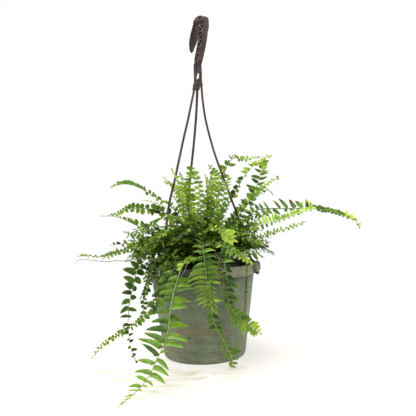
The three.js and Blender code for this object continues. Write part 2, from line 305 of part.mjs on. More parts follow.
// ---- fronds: each a flat tapering blade of diamond section ----
// at: [x, y, z, half width] from the crown to the tip; roll: turn of the blade about its midrib, degrees
const FRONDS = {
  frond_left_arch_upper: { roll: 55, blade: 9, at: [[-31.3, 9, 195.2, 1.2], [-32.5, 9, 216.8, 1.3], [-33.9, 10, 238.4, 1.9], [-41.2, 12, 258.2, 8.7], [-50.7, 16, 278.1, 9], [-66.4, 21, 293.5, 9], [-82.4, 26, 303.4, 9], [-100.5, 31, 314.5, 8.5], [-120.8, 36, 326.9, 7.4], [-141.5, 41, 334.4, 6.1], [-162.3, 45, 335.7, 4.6], [-181.7, 50, 330, 2.1]] },
  frond_left_arch_middle: { roll: 60, blade: 12, at: [[-34.5, -6, 194.7, 1.2], [-35.6, -9, 216.2, 2.3], [-38.6, -13, 235.7, 7.7], [-47.4, -16, 255.3, 12], [-60.1, -20, 269.1, 12], [-76.5, -24, 279.2, 12], [-96.9, -27, 283.6, 12], [-119, -31, 285.3, 10.3], [-139.5, -33, 283.5, 8.3], [-156.1, -36, 277.1, 6.1], [-170.8, -38, 274.2, 2.5]] },
  frond_left_arch_lower: { roll: 40, blade: 9, at: [[-38.9, 1, 190.3, 1.2], [-48.1, 0, 204.3, 1.4], [-61.2, -1, 216.4, 2.2], [-76.6, 1, 226.5, 9], [-94, 3, 237.7, 9], [-113.6, 6, 246, 9], [-131.2, 8, 254.7, 8.2], [-148.9, 10, 264, 6.7], [-170.6, 12, 271.3, 4.9], [-196.5, 14, 272.9, 2.1]] },
  frond_left_far: { roll: 30, blade: 8, at: [[-33.8, 19, 190.5, 1.2], [-35.3, 24, 213.9, 1.6], [-40.9, 31, 235.7, 2.6], [-50.7, 38, 257.8, 8], [-64.8, 46, 278.4, 8], [-81.4, 55, 291.2, 6.7], [-100.7, 65, 298.4, 4.9], [-122.4, 74, 303, 2]] },
  frond_left_short: { roll: 45, blade: 10, at: [[-38.4, -17.9, 187.6, 1.2], [-47.1, -25.3, 200.4, 4], [-58, -32.9, 210.4, 10], [-72, -40.2, 217, 10], [-88.2, -46.8, 222.1, 10], [-105.4, -52.4, 227.8, 8.3], [-122.7, -57.4, 234.9, 6], [-139.8, -62, 243.1, 2.3]] },
  frond_left_low_back: { roll: 40, blade: 9, at: [[-44.7, 9.5, 183.7, 1.2], [-55.3, 14.8, 199.1, 3.6], [-69.6, 19.9, 210.5, 9], [-88.5, 24.6, 216.4, 9], [-110.3, 28.9, 217.9, 9], [-133.6, 32.7, 217.1, 7.6], [-157.5, 36.3, 215.3, 5.5], [-181.5, 40, 213.4, 2.1]] },
  frond_left_long: { roll: 35, blade: 11, at: [[-44.5, -5, 185.2, 1.2], [-55.3, -9, 201.4, 2.2], [-66.1, -14, 214.6, 7], [-82.6, -18, 226.8, 11], [-103.1, -23, 223.8, 11], [-123.7, -27, 215.8, 11], [-144.2, -30, 207.2, 11], [-164.4, -34, 202, 9.4], [-186.5, -37, 197.3, 7.7], [-208.4, -39, 199.7, 5.6], [-230.1, -42, 200.3, 2.4]] },
  frond_left_hanging: { roll: 95, blade: 11, at: [[-48.1, -14, 178.6, 1.2], [-57, -17, 192.5, 1.2], [-67.8, -22, 200.9, 4.3], [-81.6, -27, 200.9, 7.8], [-96.3, -32, 197, 11], [-110.2, -37, 183.9, 9.6], [-122.4, -41, 165.1, 11], [-127.2, -44, 145.2, 11], [-132.6, -46, 125.3, 11], [-136.6, -48, 107.2, 10.3], [-138.9, -49, 87.1, 9.2], [-139.4, -50, 67, 7.9], [-138.3, -50, 46.7, 6.6], [-135.5, -51, 26.6, 5], [-127, -51, 2.3, 2.4]] },
  frond_left_trailing: { roll: 110, blade: 7, at: [[-39.7, -26.8, 180.1, 1.2], [-46.2, -42.4, 190.3, 2.5], [-51.9, -58.9, 196.9, 2.4], [-62, -73.1, 198, 2.6], [-83.6, -71.9, 186.7, 2.6], [-92.1, -78, 161.6, 2.5], [-97.7, -81, 142.5, 2.3], [-103.5, -83, 123.4, 4.2], [-106.1, -84, 102.3, 1.9]] },
  frond_front_left_cascade: { roll: 5, blade: 12, at: [[-32.5, -36.1, 178.9, 1.2], [-34.5, -54.1, 187.8, 1.2], [-37.6, -71.7, 192.5, 1.6], [-42.3, -88, 189.7, 8.1], [-48.6, -101.5, 179.4, 8.6], [-56.3, -111.3, 163.9, 12], [-65.7, -117.4, 145.9, 12], [-77.2, -119.9, 127.7, 12], [-91, -119.5, 110.7, 12], [-107.1, -117, 95.5, 11.3], [-124.6, -113, 80.7, 10], [-142.9, -109, 70.6, 8.6], [-161.1, -106, 60, 7.1], [-178.6, -103, 47.6, 5.3], [-195.4, -101, 26.3, 2.5]] },
  frond_front_long: { roll: 0, blade: 15, at: [[-16.5, -47, 175.5, 1.2], [-16.5, -64, 190.2, 1.2], [-18.4, -82, 197.3, 1.6], [-24.9, -100, 193.9, 2.1], [-35.2, -114, 178.4, 2.6], [-44, -124, 154.3, 2.6], [-50.8, -134, 130.7, 2.6], [-55, -144, 107.6, 15], [-57.4, -156, 83.8, 15], [-63.7, -170, 63, 14.1], [-73.7, -186, 45.4, 12.5], [-81.7, -204, 29.2, 10.7], [-92.9, -223, 17.4, 2], [-106.7, -244, 8.7, 1.7], [-123.4, -264, 0.7, 1.4]] },
  frond_front_middle: { roll: 0, blade: 13, at: [[-1.7, -50, 175.4, 1.2], [-0.3, -58, 197.3, 3], [1.6, -70, 213.7, 7.2], [3.2, -84, 220.9, 13], [4.2, -98, 214.8, 13], [5.2, -108, 202.5, 2.6], [6.4, -115, 185.8, 2.5], [8.3, -120, 162.3, 2.2], [9.2, -122, 136.9, 1.9], [12.8, -122, 116.3, 1.4]] },
  frond_front_low: { roll: 0, blade: 8, at: [[9.3, -50, 173.2, 1.2], [9.7, -65, 184, 1.2], [9.9, -80, 189.1, 3.3], [11.7, -96, 188.9, 2.1], [13.1, -112, 180.1, 2.6], [14.2, -119, 160.3, 2.6], [13.6, -126, 140.9, 2.6], [14.6, -127, 120.6, 2.6], [16.2, -125, 99.8, 2.6], [20.8, -120, 81.5, 2.5], [27.6, -115, 66.3, 6.7], [34.2, -110, 51.1, 5.9], [40.8, -105, 35.7, 2], [47.6, -100, 21.8, 1.7], [50.6, -96, 1.3, 1.4]] },
  frond_front_short: { roll: 15, blade: 8, at: [[18.4, -45.6, 177.6, 1.2], [24.3, -59.4, 188.1, 3.3], [30.2, -73.8, 193.4, 8], [36, -89, 190.2, 8], [41.5, -104.4, 179.2, 8], [43.3, -110.5, 162.5, 6.7], [44.6, -115.1, 142.7, 4.9], [45.6, -118, 121.4, 2]] },
  frond_front_right_bright: { roll: 0, blade: 11, at: [[15.2, -44, 181.6, 1.2], [19.2, -59, 194, 1.3], [22.9, -74, 200.7, 1.9], [27.9, -90, 198.4, 10.6], [32.5, -106, 187.5, 11], [36, -117, 171.4, 11], [39.4, -124, 150, 11], [43.7, -127, 128.2, 10.4], [49.2, -125, 108.9, 9], [61.7, -121, 93.2, 7.3], [78.8, -115, 78.5, 5.4], [98.7, -109, 61.8, 2.4]] },
  frond_right_curled_vine: { roll: 60, blade: 5, at: [[35.1, -31.6, 181.3, 1.2], [47.4, -40.9, 193.7, 1.8], [59.7, -50.3, 201.3, 3.9], [70.8, -59.9, 200.6, 5], [78.4, -69.8, 191.5, 5], [81.1, -79.5, 176.3, 5], [80.1, -87.6, 157.3, 4.6], [77.5, -93, 136.1, 3.9], [75.2, -96.2, 113.6, 3], [73.5, -98, 90.6, 1.7]] },
  frond_right_crumpled: { roll: 50, blade: 8, at: [[43.8, -17.7, 181.4, 1.2], [51.8, -21, 194.7, 1.6], [61.3, -24.5, 205.5, 2.6], [72.8, -28, 212.2, 2.6], [85.5, -34.4, 214.1, 2.6], [101.8, -38.5, 209.1, 6.7], [117.3, -42.4, 202.6, 4.9], [132.4, -46, 194.8, 2]] },
  frond_front_crossing: { roll: 40, blade: 8, at: [[4.5, -42.6, 187.1, 1.2], [7.3, -52.2, 204.2, 1.6], [12.4, -63, 216.6, 2.6], [21.3, -74.9, 220.8, 8], [34.1, -86.7, 217.1, 4.6], [49.9, -95.9, 208.2, 4.3], [67.7, -101.4, 196.6, 4], [86.5, -104, 183.9, 2]] },
  frond_front_lobed: { roll: 60, blade: 13, at: [[1.1, -31.8, 195.7, 1.2], [3.4, -40.4, 215.3, 4.9], [7.2, -49.8, 232.3, 13], [14.1, -60.3, 243.7, 13], [24.3, -71.7, 246.7, 13], [36.6, -82.5, 241.1, 4.3], [49.3, -91.2, 229.2, 4], [61.6, -98, 213.8, 2.6]] },
  frond_right_long_arch: { roll: 62, blade: 14, at: [[42.4, -8, 186.7, 1.2], [52.7, -9, 207.6, 1.2], [64.9, -11, 230.4, 1.6], [78.8, -14, 251.2, 8.9], [94.4, -17, 268, 11.5], [111.5, -21, 276.1, 14], [130.1, -25, 277.4, 14], [150.5, -28, 276.4, 14], [170.8, -31, 276, 14], [192.6, -35, 275.8, 14], [214.5, -38, 274.6, 12.7], [236.1, -41, 270.2, 11.2], [257.5, -44, 264, 9.7], [276.9, -47, 255.2, 7.9], [288.1, -49, 248.4, 5.9], [293, -50, 237.2, 2.7]] },
  frond_right_arch_light: { roll: 45, blade: 11, at: [[36.4, -21, 188.1, 1.2], [46.2, -29, 207.4, 2.2], [57.7, -37, 222.6, 7], [74.4, -44, 233.7, 11], [94.6, -50, 241.6, 11], [112.9, -54, 248, 11], [130.9, -58, 252.7, 11], [150.8, -61, 257.6, 9.4], [170.6, -64, 264.4, 7.7], [188.4, -67, 270.7, 5.6], [206.1, -70, 274.5, 2.4]] },
  frond_right_thin: { roll: 45, blade: 6, at: [[46.2, -15, 178.9, 1.2], [56.3, -24.8, 195, 1.5], [68.7, -35.1, 208.8, 2.4], [85.5, -41.5, 218.8, 2.6], [105.6, -44.1, 225.8, 6], [126.8, -47.6, 231.7, 5.8], [148.4, -51.5, 237.4, 4.8], [169.8, -55.7, 243.7, 3.6], [190.9, -60, 250.9, 1.8]] },
  frond_right_upper: { roll: 30, blade: 12, at: [[33.3, 2, 195.7, 1.2], [39.7, 1, 215.1, 2.9], [46.1, 0, 234.4, 8.9], [56.5, 1, 253.5, 12], [70.7, 2, 270.5, 11.6], [87, 4, 287.5, 12], [103.3, 7, 303.7, 10.9], [119.6, 9, 316.9, 8.8], [136, 12, 328.7, 6.4], [154.3, 14, 337.7, 2.5]] },
  frond_top_right_back: { roll: 75, blade: 13, at: [[19.9, 15, 199, 1.2], [24.5, 16, 220.5, 3], [31.1, 17, 242, 9.6], [39.7, 19, 261.4, 13], [50.2, 22, 278.9, 13], [60.9, 26, 296.5, 13], [71.2, 30, 314.2, 11.8], [82.1, 34, 332.1, 9.5], [95.4, 38, 350, 6.9], [111.4, 42, 366, 2.6]] },
  frond_top_right_front: { roll: 95, blade: 12, at: [[23.3, -19, 195.9, 1.2], [33.4, -24, 216.9, 1.3], [43.3, -30, 235.8, 2], [58.7, -36, 254.4, 12], [73.9, -41, 269, 12], [88, -46, 285.3, 12], [97.5, -50, 303.4, 12], [105.1, -53, 318.7, 10.3], [110.3, -55, 334.1, 8.3], [114.3, -57, 349.5, 6.1], [118, -58, 366.7, 2.5]] },
  frond_top_arching: { roll: 70, blade: 10, at: [[14, -2, 202.5, 1.2], [14.8, 0, 225.6, 1.2], [17.5, 2, 248.8, 4.4], [22.1, 5, 272, 7.8], [28.7, 7, 293.3, 10], [37.2, 9, 314.6, 10], [44.7, 9, 335, 10], [51.2, 8, 355.3, 10], [58.4, 5, 369.5, 9.8], [69.2, 1, 377.9, 8.7], [83.3, -4, 374.7, 7.5], [98.5, -8, 375.4, 6.2], [117.4, -12, 375.2, 4.7], [138.1, -16, 377.2, 2.3]] },
  frond_right_back_upper: { roll: 40, blade: 10, at: [[31.6, 14, 194.8, 1.2], [38.3, 19, 215.9, 2.6], [47, 25, 237.2, 7.5], [59.9, 31, 256.5, 10], [77, 38, 278, 10], [94.2, 45, 295.7, 10], [111.4, 52, 307.6, 9.1], [126.5, 58, 313.4, 7.4], [139.4, 62, 314.8, 5.4], [149.9, 66, 305.7, 2.3]] },
  frond_top_middle_tall: { roll: 90, blade: 13, at: [[8.2, -14, 201.7, 1.2], [9.9, -16, 224.8, 3.9], [13.5, -19, 245.8, 11.2], [18.9, -22, 268.6, 13], [24.4, -25, 291.2, 13], [28.8, -27, 311.8, 12.5], [30.9, -28, 332.5, 10.1], [27.1, -28, 349.6, 7.2], [19, -28, 362.2, 2.6]] },
  frond_top_middle_left: { roll: -10, blade: 12, at: [[-7, -20, 200.8, 1.2], [-6.2, -25, 223.9, 4.6], [-2.5, -30, 246.7, 12], [0.1, -35, 269.3, 12], [-0.4, -40, 291.8, 12], [-0.7, -44, 314.1, 10], [-2, -47, 330.7, 7.1], [-5.9, -49, 347.4, 2.5]] },
  frond_top_middle_right: { roll: -50, blade: 13, at: [[19.4, -27, 194.8, 1.2], [21.9, -34, 214.2, 3.9], [25.2, -40, 233.1, 11.2], [30.3, -46, 251.8, 13], [36.3, -52, 270.3, 13], [41.4, -57, 288.5, 12.5], [44.6, -61, 306.6, 10.1], [45.9, -64, 322.9, 7.2], [53.5, -66, 336.2, 2.6]] },
  frond_top_left: { roll: 0, blade: 9, at: [[-16.8, -8, 202, 1.2], [-15.1, -8, 225.1, 3.6], [-15.3, -10, 248.3, 9], [-16.5, -12, 271.5, 9], [-18, -14, 294.5, 9], [-18.3, -16, 317.5, 7.6], [-16.1, -18, 338.3, 5.5], [-13.5, -19, 358.2, 2.1]] },
  frond_top_far_left: { roll: 40, blade: 8, at: [[-26.3, -17, 195.4, 1.2], [-27.3, -23, 218.7, 1.5], [-28.5, -30, 241.9, 2.4], [-31.3, -37, 262.8, 8], [-34, -45, 283.5, 8], [-36.1, -50, 303.9, 7.7], [-38.8, -54, 322.3, 6.3], [-42.3, -57, 338.8, 4.7], [-47.9, -60, 352.9, 2]] },
  runner_left: { roll: 0, blade: 1, at: [[-48, -19, 169.6, 1.2], [-51.9, -43, 178, 1.2], [-57.3, -68, 184.6, 1.8], [-74.1, -81, 190.1, 2.4], [-95.4, -81, 193.8, 2.6], [-118.6, -81, 194.7, 2.6], [-136.4, -82, 192.8, 2.6], [-154.1, -83, 193.1, 2.6], [-173.5, -84, 192.1, 2.5], [-191, -85, 195, 2.3], [-208.5, -86, 197.6, 2], [-218.9, -87, 196.6, 1.8], [-224.2, -88, 191.1, 1.4]] },
  runner_front: { roll: 0, blade: 1, at: [[-23.4, -45.8, 169.8, 1.2], [-22.5, -60.9, 177.4, 1.6], [-22.1, -75.9, 184.2, 2.6], [-22.5, -90.2, 188.7, 2.6], [-23.8, -103.5, 188.7, 2.6], [-25.5, -114.4, 182.7, 2.3], [-30.2, -122.4, 173.2, 2], [-38.3, -129, 163.3, 1.4]] },
  frond_middle_left_a: { roll: 50, blade: 12, at: [[-21.3, -27.3, 194, 1.2], [-21.8, -37.3, 214.1, 1.6], [-24.1, -47.7, 233.2, 2.6], [-29.9, -58.3, 249.7, 12], [-40.3, -68.8, 261.8, 12], [-54.7, -78.5, 267.6, 10], [-71.2, -86.8, 266.5, 7.1], [-88.3, -94, 260.6, 2.5]] },
  frond_middle_left_b: { roll: 50, blade: 11, at: [[-31.9, -28.7, 187.1, 1.2], [-33.7, -40.6, 203.8, 1.6], [-38, -52.5, 218.6, 2.6], [-46.6, -64, 229, 11], [-59.6, -74.3, 233, 11], [-74.7, -83, 230.1, 9.2], [-89.8, -90.1, 221.1, 6.6], [-103.8, -96, 208.3, 2.4]] },
  frond_middle_front: { roll: 30, blade: 12, at: [[-9.6, -38.4, 190.2, 1.2], [-9.6, -46.5, 206.2, 4.6], [-10.3, -55.2, 221.1, 12], [-12.5, -65.5, 233.3, 12], [-16.9, -77.3, 240.6, 12], [-23.2, -89.7, 241.8, 10], [-30.8, -101.3, 236.9, 7.1], [-38.9, -112, 228.4, 2.5]] },
  frond_back_left_tall: { roll: 90, blade: 11, at: [[-19.8, 16.6, 198.6, 1.2], [-18.1, 18.3, 220.9, 1.5], [-17.2, 20.6, 243, 2.4], [-18.2, 24.3, 264.3, 11], [-22.5, 30.1, 284.2, 11], [-30.5, 37.9, 302, 10.6], [-42, 46.9, 317.4, 8.6], [-56.4, 56.4, 330, 6.2], [-72.6, 66, 340.6, 2.4]] },
  frond_back_long_a: { roll: 0, blade: 13, at: [[12.3, 43, 184.8, 1.2], [17.3, 62.4, 195.4, 1.2], [22.2, 82, 204.8, 5.6], [26.8, 101.9, 211.7, 10.1], [31, 121.8, 213.8, 13], [34.7, 140.9, 209.7, 13], [37.6, 158.2, 199.4, 13], [39.8, 173, 184.4, 13], [41.5, 185.6, 166.4, 12.7], [42.7, 196.4, 146.6, 11.3], [43.5, 205.8, 126, 9.7], [44.2, 214.4, 104.8, 7.9], [44.7, 222.5, 83.3, 5.9], [45.2, 230.3, 61.8, 2.6]] },
  frond_back_long_b: { roll: 0, blade: 13, at: [[-14.4, 44.2, 182.5, 1.2], [-21, 66.8, 192.1, 1.2], [-27.3, 89.3, 200, 1.6], [-33.1, 112.3, 204, 9.1], [-38.2, 134.2, 201.6, 13], [-42.5, 154.2, 192, 13], [-45.7, 171.4, 176.3, 13], [-48.1, 185.8, 156.5, 13], [-49.8, 198, 134.3, 13], [-51.1, 208.4, 110.9, 12.2], [-52.1, 217.7, 87, 10.8], [-52.9, 226, 63.2, 9.3], [-53.5, 233.8, 40.5, 7.7], [-54, 241.2, 19.8, 5.7], [-54.5, 248.5, 1.4, 1.4]] },
  frond_back_long_c: { roll: 0, blade: 12, at: [[-26.6, 34, 186.9, 1.2], [-36.8, 48, 200.2, 1.8], [-47.5, 63, 211.7, 6.7], [-58.5, 78, 219.4, 11.6], [-68, 94, 223, 12], [-77.7, 108, 220.4, 12], [-83.4, 122, 213.2, 12], [-89.3, 135, 201.5, 11.4], [-93.1, 147, 185.2, 9.8], [-94.6, 157, 164.2, 8], [-93.9, 166, 142.9, 5.9], [-92.9, 173, 121.5, 2.5]] },
  frond_back_right_long: { roll: 0, blade: 13, at: [[33.5, 32, 183.2, 1.2], [44.5, 48, 195.6, 1.2], [55.6, 66, 204.1, 5.6], [67.1, 85, 210.8, 10.1], [76.8, 105, 213.5, 13], [84.5, 125, 212.1, 13], [89.9, 144, 206.4, 13], [92.9, 161, 193.9, 13], [95.7, 175, 176.9, 12.7], [95.9, 187, 157.4, 11.3], [93.6, 197, 135.5, 9.7], [91.1, 205, 111.3, 7.9], [88.3, 211, 87, 5.9], [85.6, 216, 65.1, 2.6]] },
  frond_back_right_low: { roll: 0, blade: 12, at: [[45, 16, 180.4, 1.2], [59.7, 28, 192.7, 1.6], [74.7, 41, 201.2, 2.6], [88, 55, 205.9, 12], [99.5, 69, 208.7, 12], [106.8, 83, 205.5, 10], [112.1, 97, 198, 7.1], [115, 110, 186.2, 2.5]] },
  frond_back_tall_a: { roll: 0, blade: 12, at: [[-0.9, 25.8, 198.6, 1.2], [-2, 39.9, 219.1, 4.6], [-3.4, 54.5, 238.4, 12], [-5.5, 70.4, 254.4, 12], [-8.4, 87.7, 264.2, 12], [-12.2, 105.7, 265, 10], [-16.4, 123.1, 256.9, 7.1], [-20.9, 139.6, 243.6, 2.5]] },
  frond_back_tall_b: { roll: 0, blade: 12, at: [[14.5, 23.2, 198, 1.2], [22.8, 35.8, 215.7, 3.6], [31.6, 48.7, 232.5, 10.4], [41, 62.2, 246.8, 12], [51.6, 76.5, 256.3, 12], [62.9, 91.1, 258.4, 11.5], [74.1, 104.9, 252.2, 9.3], [84.6, 117.4, 239.7, 6.7], [94.6, 128.8, 223.9, 2.5]] },
  frond_back_middle: { roll: 0, blade: 12, at: [[-1.4, 39.6, 190.2, 1.2], [-1.4, 56.6, 203.9, 2.3], [-1.2, 74, 216.7, 7.7], [-0.7, 91.9, 227.3, 12], [0.4, 110.5, 233.8, 12], [2, 129.2, 234.1, 12], [3.9, 146.8, 227.7, 12], [6.1, 162.3, 215.6, 10.3], [8.4, 175.7, 199.8, 8.3], [10.8, 187.5, 181.9, 6.1], [13.1, 198.5, 163.2, 2.5]] },
  frond_back_hanging_a: { roll: 0, blade: 12, at: [[23.4, 45, 174.1, 1.2], [32, 60, 180.6, 1.8], [38.8, 75, 187.3, 6.7], [43.3, 88, 188.1, 11.6], [47.7, 100, 178.4, 12], [51.6, 109, 158.1, 12], [55.5, 115, 135.7, 12], [57, 119, 111.2, 11.4], [58.6, 122, 89, 9.8], [60.2, 125, 66.6, 8], [61.9, 127, 46.4, 5.9], [63.5, 129, 24.1, 2.5]] },
  frond_back_hanging_b: { roll: 0, blade: 12, at: [[-40.8, 30, 175.7, 1.2], [-51.3, 42, 182.9, 1.8], [-62, 54, 188.2, 1.9], [-69.1, 66, 187.3, 2.5], [-74.5, 78, 178, 2.6], [-78, 88, 158.2, 2.6], [-79.4, 95, 131.9, 2.6], [-80.6, 100, 107.7, 11.4], [-81.6, 103, 83.7, 9.8], [-82.6, 106, 59.6, 8], [-83.5, 108, 35.6, 5.9], [-84.4, 110, 11.4, 2.5]] },
  frond_right_hanging: { roll: 0, blade: 10, at: [[50.5, 12, 172.7, 1.2], [61.3, 26, 182.9, 2.6], [70.3, 41, 187.2, 7.5], [75.4, 58, 189.7, 10], [78.1, 72, 184.2, 4.6], [78.3, 84, 166.3, 3.6], [77.9, 91, 140.2, 9.1], [77.4, 95, 114.2, 7.4], [76.7, 98, 88.2, 5.4], [76.1, 100, 64.4, 2.3]] },
};

function frames(P, roll) {
  const n = P.length, T = P.map((_, i) => P[Math.min(n - 1, i + 1)].clone().sub(P[Math.max(0, i - 1)]).normalize());
  const h = P[n - 1].clone().sub(P[0]).setZ(0);
  if (h.length() < 5) h.set(P[0].x, P[0].y, 0);
  const s = V(0, 0, 1).cross(h), r = THREE.MathUtils.degToRad(roll);
  return T.map((t) => {
    s.addScaledVector(t, -s.dot(t)).normalize();
    const nrm = t.clone().cross(s);
    return {
      side: s.clone().multiplyScalar(Math.cos(r)).addScaledVector(nrm, Math.sin(r)),
      up: s.clone().multiplyScalar(-Math.sin(r)).addScaledVector(nrm, Math.cos(r)),
    };
  });
}

for (const [name, { roll, at }] of Object.entries(FRONDS)) {
  const P = at.map(([x, y, z]) => V(x, y, z)), n = P.length, fr = frames(P, roll), bare = name.startsWith('runner');
  const rings = P.map((p, i) => {
    const w = at[i][3], t = bare ? RUNNER_R : Math.min(BLADE_T, i === n - 1 ? 0.5 : i === n - 2 ? 0.8 : BLADE_T);
    const dirs = bare ? [[1, 0], [0.5, 0.87], [-0.5, 0.87], [-1, 0], [-0.5, -0.87], [0.5, -0.87]] : [[1, 0], [0, 1], [-1, 0], [0, -1]];
    return dirs.map(([a, b]) => p.clone().addScaledVector(fr[i].side, a * (bare ? RUNNER_R : w)).addScaledVector(fr[i].up, b * t));
  });
  for (const r of rings) for (const v of r) v.z = Math.max(v.z, 0.1);
  add(name, closed(loft(rings), 1e-5), bare ? RUNNER : LEAF);
}

export default root;
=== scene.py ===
import math

import bmesh
import bpy
import numpy as np
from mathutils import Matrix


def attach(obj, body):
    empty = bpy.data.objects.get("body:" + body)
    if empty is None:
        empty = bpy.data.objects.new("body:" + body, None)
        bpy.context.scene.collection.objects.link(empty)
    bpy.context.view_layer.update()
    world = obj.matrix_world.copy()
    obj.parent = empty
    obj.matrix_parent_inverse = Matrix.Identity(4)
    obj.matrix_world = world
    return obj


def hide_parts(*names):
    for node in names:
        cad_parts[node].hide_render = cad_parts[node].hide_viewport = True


# A fern in a tapered hanging pot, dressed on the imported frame. Sizes in the tables are millimetres; meshes are metres.
# Origin: centre of the pot's underside, on the floor. +X right, +Y away from the camera, +Z up.
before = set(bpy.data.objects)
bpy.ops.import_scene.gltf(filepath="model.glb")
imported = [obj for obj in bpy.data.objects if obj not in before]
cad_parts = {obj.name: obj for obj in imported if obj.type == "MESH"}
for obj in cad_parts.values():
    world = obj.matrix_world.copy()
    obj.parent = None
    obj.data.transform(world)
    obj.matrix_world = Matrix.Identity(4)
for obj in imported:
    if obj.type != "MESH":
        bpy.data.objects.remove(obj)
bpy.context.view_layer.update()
MM = 0.001
Z = np.array([0.0, 0.0, 1.0])


# ---------------------------------------------------------------- mesh gathering
class Shape:
    """Gathers closed shells into one mesh. Every vertex carries a tint: four numbers that its material reads."""

    def __init__(self):
        self.v, self.t, self.quads, self.tris, self.rings = [], [], [], [], []
        self.n = 0

    def add(self, verts, tint, quads=None, tris=None, rings=(), mat=0):
        verts = np.asarray(verts, float).reshape(-1, 3)
        tint = np.broadcast_to(np.asarray(tint, float), (len(verts), 4))
        self.v.append(verts)
        self.t.append(tint)
        if quads is not None and len(quads):
            self.quads.append((np.asarray(quads, int) + self.n, mat))
        if tris is not None and len(tris):
            self.tris.append((np.asarray(tris, int) + self.n, mat))
        for r in rings:
            self.rings.append(([int(i) + self.n for i in r], mat))
        self.n += len(verts)

    def make(self, name, mats, sharp=None, scale=MM):
        V = np.concatenate(self.v) * scale
        T = np.concatenate(self.t)
        loops, starts, index = [], [], []
        at = 0
        for arr, m in self.quads:
            loops.append(arr.ravel())
            starts.append(at + 4 * np.arange(len(arr)))
            index.append(np.full(len(arr), m))
            at += arr.size
        for arr, m in self.tris:
            loops.append(arr.ravel())
            starts.append(at + 3 * np.arange(len(arr)))
            index.append(np.full(len(arr), m))
            at += arr.size
        for r, m in self.rings:
            loops.append(np.array(r))
            starts.append(np.array([at]))
            index.append(np.array([m]))
            at += len(r)
        loops, starts, index = map(np.concatenate, (loops, starts, index))
        me = bpy.data.meshes.new(name)
        me.vertices.add(len(V))
        me.vertices.foreach_set("co", V.astype(np.float32).ravel())
        me.loops.add(len(loops))
        me.loops.foreach_set("vertex_index", loops.astype(np.int32))
        me.polygons.add(len(starts))
        me.polygons.foreach_set("loop_start", starts.astype(np.int32))
        me.polygons.foreach_set("material_index", index.astype(np.int32))
        me.polygons.foreach_set("use_smooth", np.ones(len(starts), bool))
        me.update(calc_edges=True)
        a = me.attributes.new("tint", "FLOAT_COLOR", "POINT")
        a.data.foreach_set("color", T.astype(np.float32).ravel())
        for m in mats:
            me.materials.append(m)
        if sharp:
            me.set_sharp_from_angle(angle=math.radians(sharp))
        me.validate()
        ob = bpy.data.objects.new(name, me)
        bpy.context.scene.collection.objects.link(ob)
        return ob


def unit(v):
    v = np.asarray(v, float)
    return v / np.maximum(np.linalg.norm(v, axis=-1, keepdims=True), 1e-9)


def turn(v, axis, angle):
    """v turned about a unit axis; all may be arrays of rows."""
    axis = np.asarray(axis, float)
    c, s = np.cos(angle), np.sin(angle)
    if np.ndim(c):
        c, s = c[..., None], s[..., None]
    return v * c + np.cross(axis, v) * s + axis * np.sum(axis * v, axis=-1, keepdims=True) * (1 - c)


def spline(P, n):
    """n + 1 points evenly spaced by length along a Catmull-Rom curve through P (rows of any width; the first three are the place)."""
    P = np.asarray(P, float)
    A = np.vstack([2 * P[0] - P[1], P, 2 * P[-1] - P[-2]])
    out = []
    for i in range(1, len(A) - 2):
        p0, p1, p2, p3 = A[i - 1 : i + 3]
        for k in range(12):
            t = k / 12
            out.append(
                0.5 * (2 * p1 + (p2 - p0) * t + (2 * p0 - 5 * p1 + 4 * p2 - p3) * t * t + (3 * p1 - p0 - 3 * p2 + p3) * t ** 3)
            )
    out.append(P[-1])
    out = np.array(out)
    s = np.concatenate([[0], np.cumsum(np.linalg.norm(np.diff(out[:, :3], axis=0), axis=1))])
    u = np.linspace(0, s[-1], n + 1)
    return np.stack([np.interp(u, s, out[:, j]) for j in range(out.shape[1])], axis=1), s[-1]


def tube(shape, P, R, tint, sides=8, mat=0, flat=1.0, side=None, cap=True):
    """A closed round tube through the rows of P with radii R. flat squashes it along its second axis."""
    P = np.asarray(P, float)
    n = len(P)
    R = np.broadcast_to(np.asarray(R, float), (n,))
    T = unit(np.gradient(P, axis=0))
    s = np.array([0.31, 0.17, 0.93]) if side is None else np.asarray(side, float)
    if abs(s @ T[0]) > 0.95:
        s = np.array([1.0, 0.1, 0.0])
    S = []
    for i in range(n):
        s = unit(s - T[i] * (s @ T[i]))
        S.append(s)
    S = np.array(S)
    N = np.cross(T, S)
    a = np.arange(sides) * 2 * math.pi / sides
    V = P[:, None] + R[:, None, None] * (
        S[:, None] * np.cos(a)[None, :, None] + N[:, None] * np.sin(a)[None, :, None] * flat
    )
    tint = np.asarray(tint, float)
    C = np.repeat(np.broadcast_to(tint, (n, 4)) if tint.ndim == 1 else tint, sides, axis=0)
    q = []
    for i in range(n - 1):
        for j in range(sides):
            k = (j + 1) % sides
            q.append((i * sides + j, i * sides + k, (i + 1) * sides + k, (i + 1) * sides + j))
    rings = [list(range(sides))[::-1], list(range((n - 1) * sides, n * sides))] if cap else []
    shape.add(V.reshape(-1, 3), C, quads=q, rings=rings, mat=mat)


# ---------------------------------------------------------------- the frame's own numbers (mm)
RIM_R, RIM_Z, BAND_H = 105.0, 176.0, 19.4
WALL_TOP_R, WALL_FOOT_R, FOOT_R, WALL_T = 99.3, 79.0, 73.5, 1.8
BAND_Z = RIM_Z - BAND_H
SOIL_Z = 162.0
LUG_PHI = [-18.0, 102.0, 222.0]


def wall_r(z):
    return WALL_FOOT_R + (WALL_TOP_R - WALL_FOOT_R) * (np.clip(z, 6, BAND_Z) - 6) / (BAND_Z - 6)


